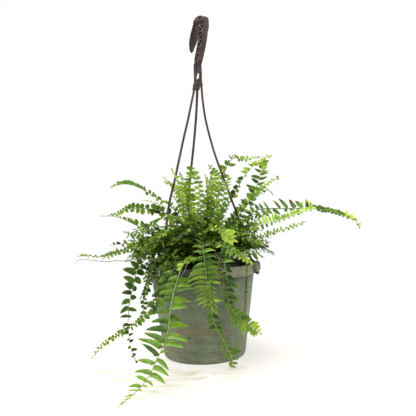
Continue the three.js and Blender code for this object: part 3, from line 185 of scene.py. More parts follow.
def clear_of_pot(rows):
    """Moves whole rows of a leaf out of the floor and the pot. rows: (n, k, 3) in mm."""
    low = rows[..., 2].min(axis=1)
    rows[..., 2] += np.maximum(0, 0.35 - low)[:, None]
    r = np.hypot(rows[..., 0], rows[..., 1])
    z = rows[..., 2]
    need = np.where(z < BAND_Z, wall_r(z) + 0.7, np.where(z < RIM_Z + 0.5, RIM_R + 0.7, 0.0))
    inside = (z >= BAND_Z - 40) & (r < 98) & (z > SOIL_Z)
    pen = np.where(inside, 0.0, np.maximum(0, need - r))
    pen = np.where(pen > 25, 0.0, pen).max(axis=1)
    c = rows.mean(axis=1)
    out = c.copy()
    out[:, 2] = 0
    out = unit(out)
    rows += (out * pen[:, None])[:, None, :]
    inner = (z > SOIL_Z - 30) & (z < SOIL_Z + 2) & (r < 97)
    up = np.where(inner, SOIL_Z + 2.2 - z, 0).max(axis=1)
    rows[..., 2] += up[:, None]
    return rows


# ---------------------------------------------------------------- leaves
def outline(u, tail):
    """Half width of a pinna along its length, 1 at its widest. tail 0 is blunt and oval, 1 long and pointed."""
    m = 0.34 - 0.12 * tail
    base = 1 - 0.38 * np.clip((m - u) / m, 0, 1) ** 2
    a, b = 2.3 - 0.9 * tail, 0.62 + 0.34 * tail
    end = np.clip(1 - np.clip((u - m) / (1 - m), 0, 1) ** a, 0, 1) ** b
    return base * end


ACROSS = np.array([-1.0, -0.52, 0.0, 0.52, 1.0])


def pinna(shape, b, d, q, length, width, shade, rng, bend=0.15, droop=0.2, twist=0.0, twist_end=0.0, fold=0.25,
          tail=0.4, ear=0.3, wave=0.0, brown=0.0, thick=0.34, mat=0, steps=None):
    """One leaflet as a thin closed solid. b: where its stalk leaves the midrib, d: the way it points, q: towards the leaf's tip,
    all in mm. bend curves it towards the tip in its own plane, droop lets its end sink, fold lifts its halves off the midrib."""
    n = steps or int(np.clip(round(length / 1.9), 6, 15))
    u = np.concatenate([[0.0], 0.05 + 0.95 * (np.arange(n) / n) ** 0.93, [1.0]])
    u = np.unique(np.round(u, 5))
    d, q = unit(d), unit(q - d * (q @ unit(d)))
    mid = (u[:-1] + u[1:]) / 2
    D = unit(d + q * (bend * 2 * mid)[:, None] - Z * (droop * 2 * mid ** 1.4)[:, None])
    C = b + np.vstack([[0, 0, 0], np.cumsum(D * (np.diff(u) * length)[:, None], axis=0)])
    DD = unit(np.vstack([D[0], (D[1:] + D[:-1]) / 2, D[-1]]))
    Q = unit(q - DD * (DD @ q)[:, None])
    ang = np.radians(twist + (twist_end - twist) * u)
    Q = turn(Q, DD, ang)
    N = np.cross(Q, DD)
    h = width / 2 * outline(u, tail)
    h[0] = min(0.45, width * 0.1)
    tooth = np.where(np.arange(len(u)) % 2 == 0, 1.035, 0.965)
    tooth[:2] = 1
    up = h * tooth * (1 + ear * np.exp(-(((u - 0.11) / 0.085) ** 2)))
    dn = h * tooth * (1 - 0.16 * np.exp(-(((u - 0.08) / 0.12) ** 2)))
    up[0], dn[0] = h[0], h[0]
    last = len(u) - 1
    phase = rng.uniform(0, 6.28)
    rip = wave * width * 0.5 * np.sin(u * 9.5 + phase)
    rip2 = wave * width * 0.5 * np.sin(u * 8.1 + phase * 1.7 + 1)
    v = ACROSS
    off = np.where(v[None, :] > 0, v[None, :] * up[:, None], v[None, :] * dn[:, None])
    rise = np.abs(off) * fold - (off ** 2) / max(width, 1e-3) * 0.55 * fold
    edge = np.where(v[None, :] > 0, rip[:, None], rip2[:, None]) * (np.abs(v)[None, :] ** 2) * np.clip(u * 3, 0, 1)[:, None]
    top = C[:, None] + Q[:, None] * off[..., None] + N[:, None] * (rise + edge)[..., None]
    t = thick * (0.55 + 0.45 * (1 - u)) * np.minimum(1, 0.25 + h / 1.6)
    low = top[:, 1:4] - N[:, None] * (t[:, None] * np.array([0.75, 1.45, 0.75])[None, :])[..., None]
    top[:, 2] -= N * (t * 0.25)[:, None]
    rows = np.concatenate([top[:last], low[:last]], axis=1)
    rows = clear_of_pot(rows)
    tip = C[last] + (rows[last - 1].mean(axis=0) - np.concatenate([top[last - 1], low[last - 1]]).mean(axis=0))
    tip[2] = max(tip[2], 0.4)
    V = np.vstack([rows.reshape(-1, 3), tip])
    k = last
    tint = np.zeros((k, 8, 4))
    tint[..., 0] = u[:k, None]
    tint[..., 1] = np.concatenate([np.abs(v), [0.62, 0.0, 0.62]])[None, :]
    tint[..., 2] = shade
    tint[..., 3] = brown
    tint[:, 5:, 1] += 2.0
    tint = np.vstack([tint.reshape(-1, 4), [1.0, 0.0, shade, brown]])
    i = np.arange(k - 1)[:, None] * 8
    ring = np.array([0, 1, 2, 3, 4, 7, 6, 5])
    a, c = ring, np.roll(ring, -1)
    quads = np.stack([i + a, i + c, i + 8 + c, i + 8 + a], axis=-1).reshape(-1, 4)
    e = (k - 1) * 8
    tris = np.stack([e + a, e + c, np.full(8, k * 8)], axis=-1)
    shape.add(V, tint, quads=quads, tris=tris, rings=[list(ring[::-1])], mat=mat)


def frames(P, roll):
    """The same frames as the frond's solid has: its length, its side and its face at every station."""
    n = len(P)
    T = np.zeros_like(P)
    T[0], T[-1] = P[1] - P[0], P[-1] - P[-2]
    T[1:-1] = P[2:] - P[:-2]
    T = unit(T)
    h = P[-1] - P[0]
    h = np.array([h[0], h[1], 0.0])
    if np.linalg.norm(h) < 5:
        h = np.array([P[0][0], P[0][1], 0.0])
    s = np.cross(Z, h)
    S = []
    for i in range(n):
        s = unit(s - T[i] * (s @ T[i]))
        S.append(s)
    S = np.array(S)
    N = np.cross(T, S)
    r = np.radians(roll)
    return T, S * np.cos(r) + N * np.sin(r)


def look(table, t):
    """A value along the leaf from [(t, value), ...] or a plain number."""
    if np.isscalar(table):
        return float(table)
    return float(np.interp(t, [r[0] for r in table], [r[1] for r in table]))


BASE = dict(
    near=[(0.1, 4), (0.25, 12), (0.6, 12), (0.85, 7), (1, 2.5)],  # leaflet length on the side the frame calls +S
    far=None,  # the other side, if it differs
    gap=[(0, 9), (0.7, 8), (1, 3.2)],  # from one leaflet to the next on the same side
    start=0.1,
    wide=0.42,  # width as a share of length
    angle=[(0, 86), (0.7, 74), (1, 40)],  # between midrib and leaflet
    lift=8,  # both rows raised towards the face, degrees
    droop=0.18,
    bend=0.12,
    twist=0,  # leaflets pitched about their own midrib
    fold=0.28,
    tail=0.35,
    ear=0.28,
    wave=0.05,
    jitter=1.0,
    # how dark or light the leaflets are, 0 to 1; the values also hold painted light and shade: brighter high on the
    # plant, darker deep in the crown
    shade=[(0, 0.3), (1, 0.6)],
    shade_far=None,
    brown=0.0,  # how brown the tip of every fourth leaflet is
    dry=0.0,  # how dry all of them are, along the leaf
    spots=(),  # (t, side, brown)
    roll=0,
    stem=[(0, 0.1), (0.35, 0.45), (1, 0.75)],
    thick=(1.25, 0.62),
    tip=4.0,
    own=(),  # leaflets placed one by one from here on
    cut=1.0,  # how far along the solid's line the drawn leaf goes
    plain=False,  # fewer faces, for the small leaves deep in the crown
)


def frond(shape, seed, stations, roll, style, root=9.0, leaf=0, stem=1):
    st = dict(BASE)
    st.update(style)
    rng = np.random.default_rng(seed)
    P = np.array([a[:3] for a in stations], float)
    T, S = frames(P, roll + look(st["roll"], 0.5))
    PS, L = spline(np.hstack([P, S]), 4)
    n = max(12, int(L / 1.7))
    PS, L = spline(np.hstack([P, S]), n)
    C, S = PS[:, :3], PS[:, 3:]
    T = unit(np.gradient(C, axis=0))
    S = unit(S - T * np.sum(S * T, axis=1, keepdims=True))
    extra = st["roll"]
    if not np.isscalar(extra):
        mid = look(extra, 0.5)
        ang = np.radians([look(extra, i / n) - mid for i in range(n + 1)])
        S = turn(S, T, ang)
    # a light zigzag, as real midribs have
    wig = np.cumsum(rng.normal(0, 0.05, n + 1))
    wig -= np.linspace(wig[0], wig[-1], n + 1)
    C = C + S * wig[:, None] * st["jitter"]
    C[:, 2] = np.maximum(C[:, 2], 0.9)
    N = np.cross(T, S)
    tt = np.linspace(0, 1, n + 1)
    # midrib: thick at the foot, with the foot running down into the crown
    r0, r1 = st["thick"]
    rad = r0 + (r1 - r0) * tt ** 0.8
    foot = np.array([C[0] - T[0] * root * k / 4 for k in (4, 3, 2, 1)])
    end = max(2, int(round(n * st["cut"]))) + 1
    way = np.unique(np.append(np.arange(0, end, 3 if st["plain"] else 1), end - 1))
    tube(
        shape,
        np.vstack([foot, C[way]]),
        np.concatenate([[r0 * 1.35, r0 * 1.25, r0 * 1.15, r0 * 1.05], rad[way]]),
        np.array([[t, 0, look(st["stem"], t), 0] for t in np.concatenate([[0, 0, 0, 0], tt[way]])]),
        sides=5 if st["plain"] else 7,
        mat=stem,
        flat=0.85,
    )
    until = min((o[0] for o in st["own"]), default=2.0) - 0.012
    s = st["start"] * L
    k = 0
    while s < L - 1.2:
        t = s / L
        for side in (1, -1):
            ss = s + (0.5 * look(st["gap"], t) if side < 0 else 0)
            if ss > L - 0.8:
                continue
            t2 = ss / L
            if t2 > min(until, st["cut"]):
                continue
            ln = look(st["near"] if side > 0 or st["far"] is None else st["far"], t2)
            if ln < 1.2:
                continue
            j = st["jitter"]
            ln *= 1 + rng.normal(0, 0.07) * j
            f = t2 * n
            i = min(int(f), n - 1)
            f -= i
            c = C[i] * (1 - f) + C[i + 1] * f
            tg, sd, nm = (unit(A[i] * (1 - f) + A[i + 1] * f) for A in (T, S, N))
            al = math.radians(look(st["angle"], t2) + rng.normal(0, 4) * j)
            li = math.radians(look(st["lift"], t2) + rng.normal(0, 7) * j)
            d = tg * math.cos(al) + math.sin(al) * (sd * side * math.cos(li) + nm * math.sin(li))
            q = tg - d * (tg @ d)
            brown = max(st["brown"] if rng.random() < 0.25 else 0.0, look(st["dry"], t2) * rng.uniform(0.7, 1.0))
            for sp in st["spots"]:
                if sp[1] == side and abs(sp[0] - t2) * L < look(st["gap"], t) * 0.5:
                    brown = sp[2]
            tw = look(st["twist"], t2) + rng.normal(0, 8) * j
            pinna(
                shape,
                c + d * rad[i] * 0.4,
                d,
                q,
                ln,
                ln * look(st["wide"], t2) * (1 + rng.normal(0, 0.06) * j),
                float(np.clip(look(st["shade_far"] if side < 0 and st["shade_far"] is not None else st["shade"], t2) + rng.normal(0, 0.07) * j, 0, 1)),
                rng,
                bend=look(st["bend"], t2) + rng.normal(0, 0.05) * j,
                droop=look(st["droop"], t2) + rng.normal(0, 0.06) * j,
                twist=tw * side,
                twist_end=(tw + rng.normal(0, 14) * j) * side,
                fold=look(st["fold"], t2) + rng.normal(0, 0.08) * j,
                tail=float(np.clip(look(st["tail"], t2) + rng.normal(0, 0.08) * j, 0, 1.2)),
                ear=st["ear"],
                wave=st["wave"] * (1 + rng.random()),
                brown=brown,
                mat=leaf,
                steps=max(4, int(round(ln / 2.6))) if st["plain"] else None,
            )
        s += look(st["gap"], t) * (1 + rng.normal(0, 0.06) * st["jitter"])
        k += 1
    for t2, side, ln, width, al, li, shade, brown, bend, droop, tw in st["own"]:
        f = min(t2, 0.9999) * n
        i = min(int(f), n - 1)
        f -= i
        c = C[i] * (1 - f) + C[i + 1] * f
        tg, sd, nm = (unit(A[i] * (1 - f) + A[i + 1] * f) for A in (T, S, N))
        al, li = math.radians(al), math.radians(li + rng.normal(0, 5))
        d = tg * math.cos(al) + math.sin(al) * (sd * side * math.cos(li) + nm * math.sin(li))
        tw = tw + rng.normal(0, 9)
        pinna(
            shape,
            c + d * rad[i] * 0.4,
            d,
            tg - d * (tg @ d),
            ln,
            width,
            shade + rng.normal(0, 0.06),
            rng,
            bend=bend,
            droop=droop,
            twist=tw * side,
            twist_end=(tw + rng.normal(0, 16)) * side,
            fold=look(st["fold"], t2) + rng.normal(0, 0.08),
            tail=look(st["tail"], t2) + rng.normal(0, 0.08),
            ear=st["ear"],
            wave=st["wave"] * (1 + rng.random()),
            brown=brown,
            mat=leaf,
        )
    # the leaf's own tip
    if st["tip"] > 0:
        e = end - 1
        pinna(shape, C[e] - T[e] * 0.6, T[e], S[e], st["tip"], st["tip"] * 0.55, look(st["shade"], 1.0), rng, tail=0.9, ear=0.0, droop=0.1, bend=0.0)
    return C, T, S, L


# ---------------------------------------------------------------- materials
class Nodes:
    """Short hand for building a node tree."""

    def __init__(self, name):
        self.mat = bpy.data.materials.new(name)
        self.mat.use_nodes = True
        self.t = self.mat.node_tree
        self.t.nodes.clear()
        self.out = self.t.nodes.new("ShaderNodeOutputMaterial")
        self.bsdf = self.t.nodes.new("ShaderNodeBsdfPrincipled")
        self.t.links.new(self.bsdf.outputs[0], self.out.inputs[0])

    def add(self, kind, **props):
        n = self.t.nodes.new(kind)
        for k, v in props.items():
            setattr(n, k, v)
        return n

    def put(self, value, socket):
        if isinstance(value, bpy.types.NodeSocket):
            self.t.links.new(value, socket)
        else:
            socket.default_value = value

    def math(self, op, a, b=0.0, c=0.0, clamp=False):
        n = self.add("ShaderNodeMath", operation=op, use_clamp=clamp)
        self.put(a, n.inputs[0])
        self.put(b, n.inputs[1])
        if op == "MULTIPLY_ADD":
            self.put(c, n.inputs[2])
        return n.outputs[0]

    def span(self, x, a, b, lo=0.0, hi=1.0, smooth=True):
        n = self.add("ShaderNodeMapRange", interpolation_type="SMOOTHSTEP" if smooth else "LINEAR")
        self.put(x, n.inputs["Value"])
        for k, v in (("From Min", a), ("From Max", b), ("To Min", lo), ("To Max", hi)):
            n.inputs[k].default_value = v
        return n.outputs["Result"]

    def noise(self, vec, scale, detail=3.0, rough=0.55, stretch=None, distort=0.0):
        if stretch:
            m = self.add("ShaderNodeMapping")
            m.inputs["Scale"].default_value = stretch
            self.put(vec, m.inputs["Vector"])
            vec = m.outputs[0]
        n = self.add("ShaderNodeTexNoise")
        self.put(vec, n.inputs["Vector"])
        n.inputs["Scale"].default_value = scale
        n.inputs["Detail"].default_value = detail
        n.inputs["Roughness"].default_value = rough
        n.inputs["Distortion"].default_value = distort
        return n.outputs[0]

    def ramp(self, x, stops, mode="LINEAR"):
        n = self.add("ShaderNodeValToRGB")
        n.color_ramp.interpolation = mode
        e = n.color_ramp.elements
        while len(e) > 1:
            e.remove(e[-1])
        e[0].position, e[0].color = stops[0][0], (*stops[0][1], 1)
        for p, c in stops[1:]:
            s = e.new(p)
            s.color = (*c, 1)
        self.put(x, n.inputs[0])
        return n.outputs[0]

    def mix(self, f, a, b, mode="MIX"):
        n = self.add("ShaderNodeMix", data_type="RGBA", blend_type=mode)
        self.put(f, n.inputs[0])
        self.put((*a, 1) if isinstance(a, tuple) else a, n.inputs[6])
        self.put((*b, 1) if isinstance(b, tuple) else b, n.inputs[7])
        return n.outputs[2]

    def where(self):
        return self.add("ShaderNodeTexCoord").outputs["Object"]

    def bump(self, height, strength, distance, normal=None):
        n = self.add("ShaderNodeBump")
        n.inputs["Strength"].default_value = strength
        n.inputs["Distance"].default_value = distance
        self.put(height, n.inputs["Height"])
        if normal is not None:
            self.put(normal, n.inputs["Normal"])
        return n.outputs[0]

    def tint(self):
        n = self.add("ShaderNodeAttribute", attribute_name="tint")
        s = self.add("ShaderNodeSeparateColor")
        self.t.links.new(n.outputs["Color"], s.inputs[0])
        return s.outputs[0], s.outputs[1], s.outputs[2], n.outputs["Alpha"]

    def finish(self, colour, rough, normal=None, **plain):
        self.put(colour, self.bsdf.inputs["Base Color"])
        self.put(rough, self.bsdf.inputs["Roughness"])
        if normal is not None:
            self.put(normal, self.bsdf.inputs["Normal"])
        for k, v in plain.items():
            self.bsdf.inputs[k.replace("_", " ")].default_value = v
        return self.mat


def leaf_material():
    m = Nodes("fern_leaf")
    u, v, shade, brown = m.tint()
    pos = m.where()
    under = m.span(v, 1.2, 1.9)  # the lower face carries 2 more
    vv = m.math("SUBTRACT", v, m.math("MULTIPLY", under, 2.0))
    vv = m.math("ABSOLUTE", vv)
    blotch = m.noise(pos, 55, 3)
    fine = m.noise(pos, 420, 2)
    x = m.math("ADD", shade, m.math("MULTIPLY", m.math("SUBTRACT", blotch, 0.5), 0.42))
    x = m.math("ADD", x, m.math("MULTIPLY", m.math("SUBTRACT", fine, 0.5), 0.22))
    patch = m.noise(pos, 170, 2, 0.5)
    x = m.math("ADD", x, m.math("MULTIPLY", m.math("SUBTRACT", patch, 0.5), 0.30))
    x = m.math("ADD", x, m.math("MULTIPLY", m.math("POWER", vv, 4.0), 0.20))
    x = m.math("ADD", x, m.math("MULTIPLY", m.span(u, 0.55, 1.0), 0.10))
    x = m.math("SUBTRACT", x, m.math("MULTIPLY", m.span(u, 0.0, 0.22, 1.0, 0.0), 0.08))
    col = m.ramp(
        x,
        [
            (0.0, (0.004, 0.015, 0.002)),
            (0.2, (0.022, 0.064, 0.003)),
            (0.4, (0.070, 0.158, 0.007)),
            (0.6, (0.132, 0.262, 0.012)),
            (0.8, (0.262, 0.420, 0.020)),
            (1.0, (0.450, 0.610, 0.060)),
        ],
    )
    rib = m.span(vv, 0.0, 0.17, 1.0, 0.0)
    col = m.mix(m.math("MULTIPLY", rib, 0.55), col, m.mix(1.0, col, (1.9, 1.75, 2.2), "MULTIPLY"))
    # side veins slant out from the middle to the edge
    vein = m.math("SINE", m.math("MULTIPLY", m.math("SUBTRACT", u, m.math("MULTIPLY", vv, 0.14)), 88.0))
    vein = m.span(vein, 0.35, 1.0)
    col = m.mix(m.math("MULTIPLY", vein, 0.35), col, m.mix(1.0, col, (1.5, 1.4, 1.4), "MULTIPLY"))
    # the lower face is paler and duller
    pale = m.math("MULTIPLY", under, m.span(x, 0.05, 0.55, 0.05, 0.34))
    col = m.mix(pale, col, (0.190, 0.280, 0.070))
    dry = m.math("MULTIPLY", brown, m.span(m.math("ADD", u, m.math("MULTIPLY", blotch, 0.35)), 0.62, 0.95))
    col = m.mix(dry, col, m.ramp(fine, [(0.3, (0.055, 0.022, 0.014)), (0.7, (0.16, 0.075, 0.035))]))
    h = m.math("ADD", m.math("MULTIPLY", vein, 0.35), m.math("MULTIPLY", rib, -0.8))
    h = m.math("ADD", h, m.math("MULTIPLY", fine, 0.7))
    nrm = m.bump(h, 0.55, 0.00025)
    rough = m.math("ADD", m.math("MULTIPLY", under, 0.16), m.math("MULTIPLY_ADD", fine, 0.16, 0.42))
    return m.finish(col, rough, nrm, Specular_IOR_Level=0.24)


def stem_material():
    m = Nodes("fern_midrib")
    t, _, shade, _ = m.tint()
    pos = m.where()
    n = m.noise(pos, 160, 3)
    fine = m.noise(pos, 900, 2)
    x = m.math("ADD", shade, m.math("MULTIPLY", m.math("SUBTRACT", n, 0.5), 0.25))
    col = m.ramp(
        x,
        [
            (0.0, (0.035, 0.018, 0.010)),
            (0.25, (0.085, 0.062, 0.022)),
            (0.5, (0.120, 0.180, 0.032)),
            (0.75, (0.250, 0.360, 0.070)),
            (1.0, (0.480, 0.520, 0.190)),
        ],
    )
    nrm = m.bump(fine, 0.5, 0.0003)
    return m.finish(col, m.math("MULTIPLY_ADD", fine, 0.25, 0.38), nrm, Specular_IOR_Level=0.4)


def runner_material():
    m = Nodes("fern_runner")
    pos = m.where()
    n = m.noise(pos, 220, 4)
    col = m.ramp(n, [(0.25, (0.085, 0.060, 0.040)), (0.55, (0.190, 0.150, 0.105)), (0.8, (0.330, 0.290, 0.220))])
    return m.finish(col, m.math("MULTIPLY_ADD", n, 0.2, 0.5), m.bump(n, 0.6, 0.0004), Specular_IOR_Level=0.35)


def pot_material():
    m = Nodes("recycled_plastic")
    pos = m.where()
    cloud = m.noise(pos, 9, 4, 0.6, distort=0.4)
    streak = m.noise(pos, 6, 5, 0.62, stretch=(1.2, 1.2, 14.0), distort=0.25)
    thin = m.noise(pos, 20, 4, 0.6, stretch=(1.0, 1.0, 16.0))
    speck = m.noise(pos, 900, 2, 0.5)
    flow = m.noise(pos, 30, 3, 0.5, stretch=(6.0, 6.0, 0.5))
    xyz = m.add("ShaderNodeSeparateXYZ")
    m.put(pos, xyz.inputs[0])
    z = xyz.outputs[2]
    base = m.ramp(cloud, [(0.30, (0.088, 0.114, 0.084)), (0.5, (0.130, 0.160, 0.116)), (0.72, (0.185, 0.208, 0.150))])
    mottle = m.noise(pos, 46, 5, 0.7, stretch=(1.0, 1.0, 2.2), distort=0.6)
    base = m.mix(1.0, base, m.ramp(mottle, [(0.32, (0.66, 0.68, 0.66)), (0.5, (1.0, 1.0, 1.0)), (0.68, (1.28, 1.26, 1.20))]), "MULTIPLY")
    brownish = m.math("MULTIPLY", m.span(streak, 0.46, 0.64), m.span(z, 0.030, 0.110, 1.0, 0.30))
    col = m.mix(m.math("MULTIPLY", brownish, 0.80), base, (0.158, 0.118, 0.070))
    col = m.mix(m.math("MULTIPLY", m.span(thin, 0.52, 0.66), 0.50), col, (0.072, 0.088, 0.066))
    col = m.mix(m.math("MULTIPLY", m.span(flow, 0.5, 0.75), 0.20), col, (0.230, 0.262, 0.212))
    col = m.mix(m.math("MULTIPLY", m.span(speck, 0.66, 0.74), 0.5), col, (0.075, 0.080, 0.065))
    col = m.mix(m.math("MULTIPLY", m.span(speck, 0.32, 0.24), 0.5), col, (0.360, 0.380, 0.320))
    smear = m.noise(pos, 14, 4, 0.6, stretch=(1.0, 1.0, 5.0), distort=0.5)
    band = m.math("MULTIPLY", m.span(z, 0.1560, 0.1575), m.span(smear, 0.36, 0.60))
    # the band is lightened against the wall: partly its own paler tone, partly painted light
    col = m.mix(m.math("MULTIPLY", m.span(z, 0.1560, 0.1575), 0.40), col, (0.250, 0.290, 0.225))
    col = m.mix(m.math("MULTIPLY", band, 0.34), col, (0.230, 0.190, 0.128))
    # painted highlight: a pale line along the top edge of the rim
    col = m.mix(m.math("MULTIPLY", m.span(z, 0.1755, 0.1785), 0.55), col, (0.300, 0.300, 0.230))
    # painted shadow: a dark line on the wall just under the band, where the band's overhang shades it
    step = m.math("MULTIPLY", m.span(z, 0.1420, 0.1550), m.span(z, 0.1563, 0.1572, 1.0, 0.0))
    col = m.mix(m.math("MULTIPLY", step, 0.72), col, (0.032, 0.038, 0.028))
    scratch = m.noise(pos, 34, 3, 0.6, stretch=(0.5, 0.5, 13.0), distort=0.1)
    low = m.span(z, 0.02, 0.11, 1.0, 0.15)
    col = m.mix(m.math("MULTIPLY", m.math("MULTIPLY", m.span(scratch, 0.59, 0.66), low), 0.60), col, (0.140, 0.088, 0.050))
    # painted shade: the inside of the rim is darkened nearly to black, where the leaves shade it
    x = xyz.outputs[0]
    r = m.math("SQRT", m.math("ADD", m.math("POWER", x, 2.0), m.math("POWER", xyz.outputs[1], 2.0)))
    col = m.mix(m.math("MULTIPLY", m.span(r, 0.1026, 0.1038, 0.9, 0.0), m.span(z, 0.1572, 0.1580)), col, (0.014, 0.015, 0.011))
    # painted shade: the front of the rim, under the leaves that lie over it, is darkened
    shadow_paint = m.math("MULTIPLY", m.span(x, -0.080, -0.055), m.span(x, 0.010, 0.030, 1.0, 0.0))
    shadow_paint = m.math("MULTIPLY", m.math("MULTIPLY", shadow_paint, m.span(xyz.outputs[1], -0.055, -0.075)), m.span(z, 0.140, 0.160))
    col = m.mix(m.math("MULTIPLY", shadow_paint, m.span(mottle, 0.30, 0.50, 0.62, 0.86)), col, (0.022, 0.032, 0.022))
    spot = m.math("MULTIPLY", m.span(m.math("ABSOLUTE", m.math("ADD", x, 0.0265)), 0.0010, 0.0024, 1.0, 0.0), m.span(m.math("ABSOLUTE", m.math("SUBTRACT", z, 0.0500)), 0.0010, 0.0024, 1.0, 0.0))
    spot = m.math("MULTIPLY", spot, m.span(xyz.outputs[1], -0.05, -0.06))
    col = m.mix(m.math("MULTIPLY", spot, 0.9), col, (0.020, 0.020, 0.016))
    col = m.mix(m.span(z, 0.0, 0.0045, 0.80, 0.0), col, (0.035, 0.036, 0.034))
    col = m.mix(1.0, col, (0.99, 1.02, 0.83), "MULTIPLY")
    h = m.math("ADD", m.math("MULTIPLY", cloud, 0.8), m.math("ADD", m.math("MULTIPLY", speck, 0.25), m.math("MULTIPLY", thin, 0.3)))
    rough = m.math("ADD", m.math("MULTIPLY_ADD", cloud, 0.22, 0.36), m.math("MULTIPLY", speck, 0.08))
    return m.finish(col, rough, m.bump(h, 0.45, 0.0006), Specular_IOR_Level=0.45)


def hanger_material(name, k):
    m = Nodes(name)
    pos = m.where()
    run = m.noise(pos, 40, 4, 0.6, stretch=(3.0, 3.0, 0.5), distort=0.3)
    fine = m.noise(pos, 700, 2)
    col = m.ramp(run, [(0.28, (0.022 * k, 0.012 * k, 0.011 * k)), (0.5, (0.042 * k, 0.026 * k, 0.024 * k)), (0.75, (0.098 * k, 0.070 * k, 0.064 * k))])
    col = m.mix(m.math("MULTIPLY", m.span(fine, 0.55, 0.75), 0.35), col, (0.030 * k, 0.020 * k, 0.018 * k))
    rough = m.math("MULTIPLY_ADD", run, 0.25, 0.34)
    h = m.math("ADD", m.math("MULTIPLY", run, 0.6), m.math("MULTIPLY", fine, 0.3))
    return m.finish(col, rough, m.bump(h, 0.35, 0.0004), Specular_IOR_Level=min(0.05 + 0.25 * k, 0.5))


def soil_material():
    m = Nodes("soil")
    pos = m.where()
    a = m.noise(pos, 130, 6, 0.7)
    b = m.noise(pos, 620, 3, 0.6)
    vor = m.add("ShaderNodeTexVoronoi")
    m.put(pos, vor.inputs["Vector"])
    vor.inputs["Scale"].default_value = 330
    # dark brown soil, its colours darkened further as painted shade from the leaves above
    col = m.ramp(a, [(0.3, (0.010, 0.007, 0.005)), (0.5, (0.030, 0.020, 0.013)), (0.68, (0.075, 0.048, 0.030)), (0.8, (0.150, 0.105, 0.065))])
    col = m.mix(m.math("MULTIPLY", m.span(b, 0.62, 0.72), 0.5), col, (0.14, 0.10, 0.06))
    h = m.math("ADD", a, m.math("ADD", m.math("MULTIPLY", b, 0.5), m.math("MULTIPLY", vor.outputs[0], 0.5)))
    return m.finish(col, m.math("MULTIPLY_ADD", b, 0.15, 0.8), m.bump(h, 0.9, 0.002), Specular_IOR_Level=0.25)


def scale_material():
    """The rusty scales that clothe a fern's crown and young curled leaves."""
    m = Nodes("fern_scales")
    _, _, shade, _ = m.tint()
    pos = m.where()
    a = m.noise(pos, 260, 5, 0.65, stretch=(1.0, 1.0, 0.35))
    col = m.ramp(
        m.math("ADD", m.math("MULTIPLY", a, 0.6), m.math("MULTIPLY", shade, 0.5)),
        [(0.2, (0.020, 0.010, 0.006)), (0.45, (0.070, 0.035, 0.016)), (0.65, (0.130, 0.095, 0.030)), (0.9, (0.180, 0.260, 0.060))],
    )
    return m.finish(col, m.math("MULTIPLY_ADD", a, 0.2, 0.6), m.bump(a, 0.9, 0.0012), Specular_IOR_Level=0.3)


LEAF, STEM, RUNNER = leaf_material(), stem_material(), runner_material()
POT, SOIL, SCALES = pot_material(), soil_material(), scale_material()
# the second copy of the plastic, at 0.12 of its brightness, is painted shade for the hook's pockets; the third, at 2.6,
# is a painted highlight for the pocket rims and a glint on the crook
HANGER, HANGER_SHADE_PAINT, HANGER_HIGHLIGHT_PAINT = hanger_material("moulded_plastic_brown", 1.0), hanger_material("moulded_plastic_painted_shade", 0.12), hanger_material("moulded_plastic_painted_highlight", 2.6)


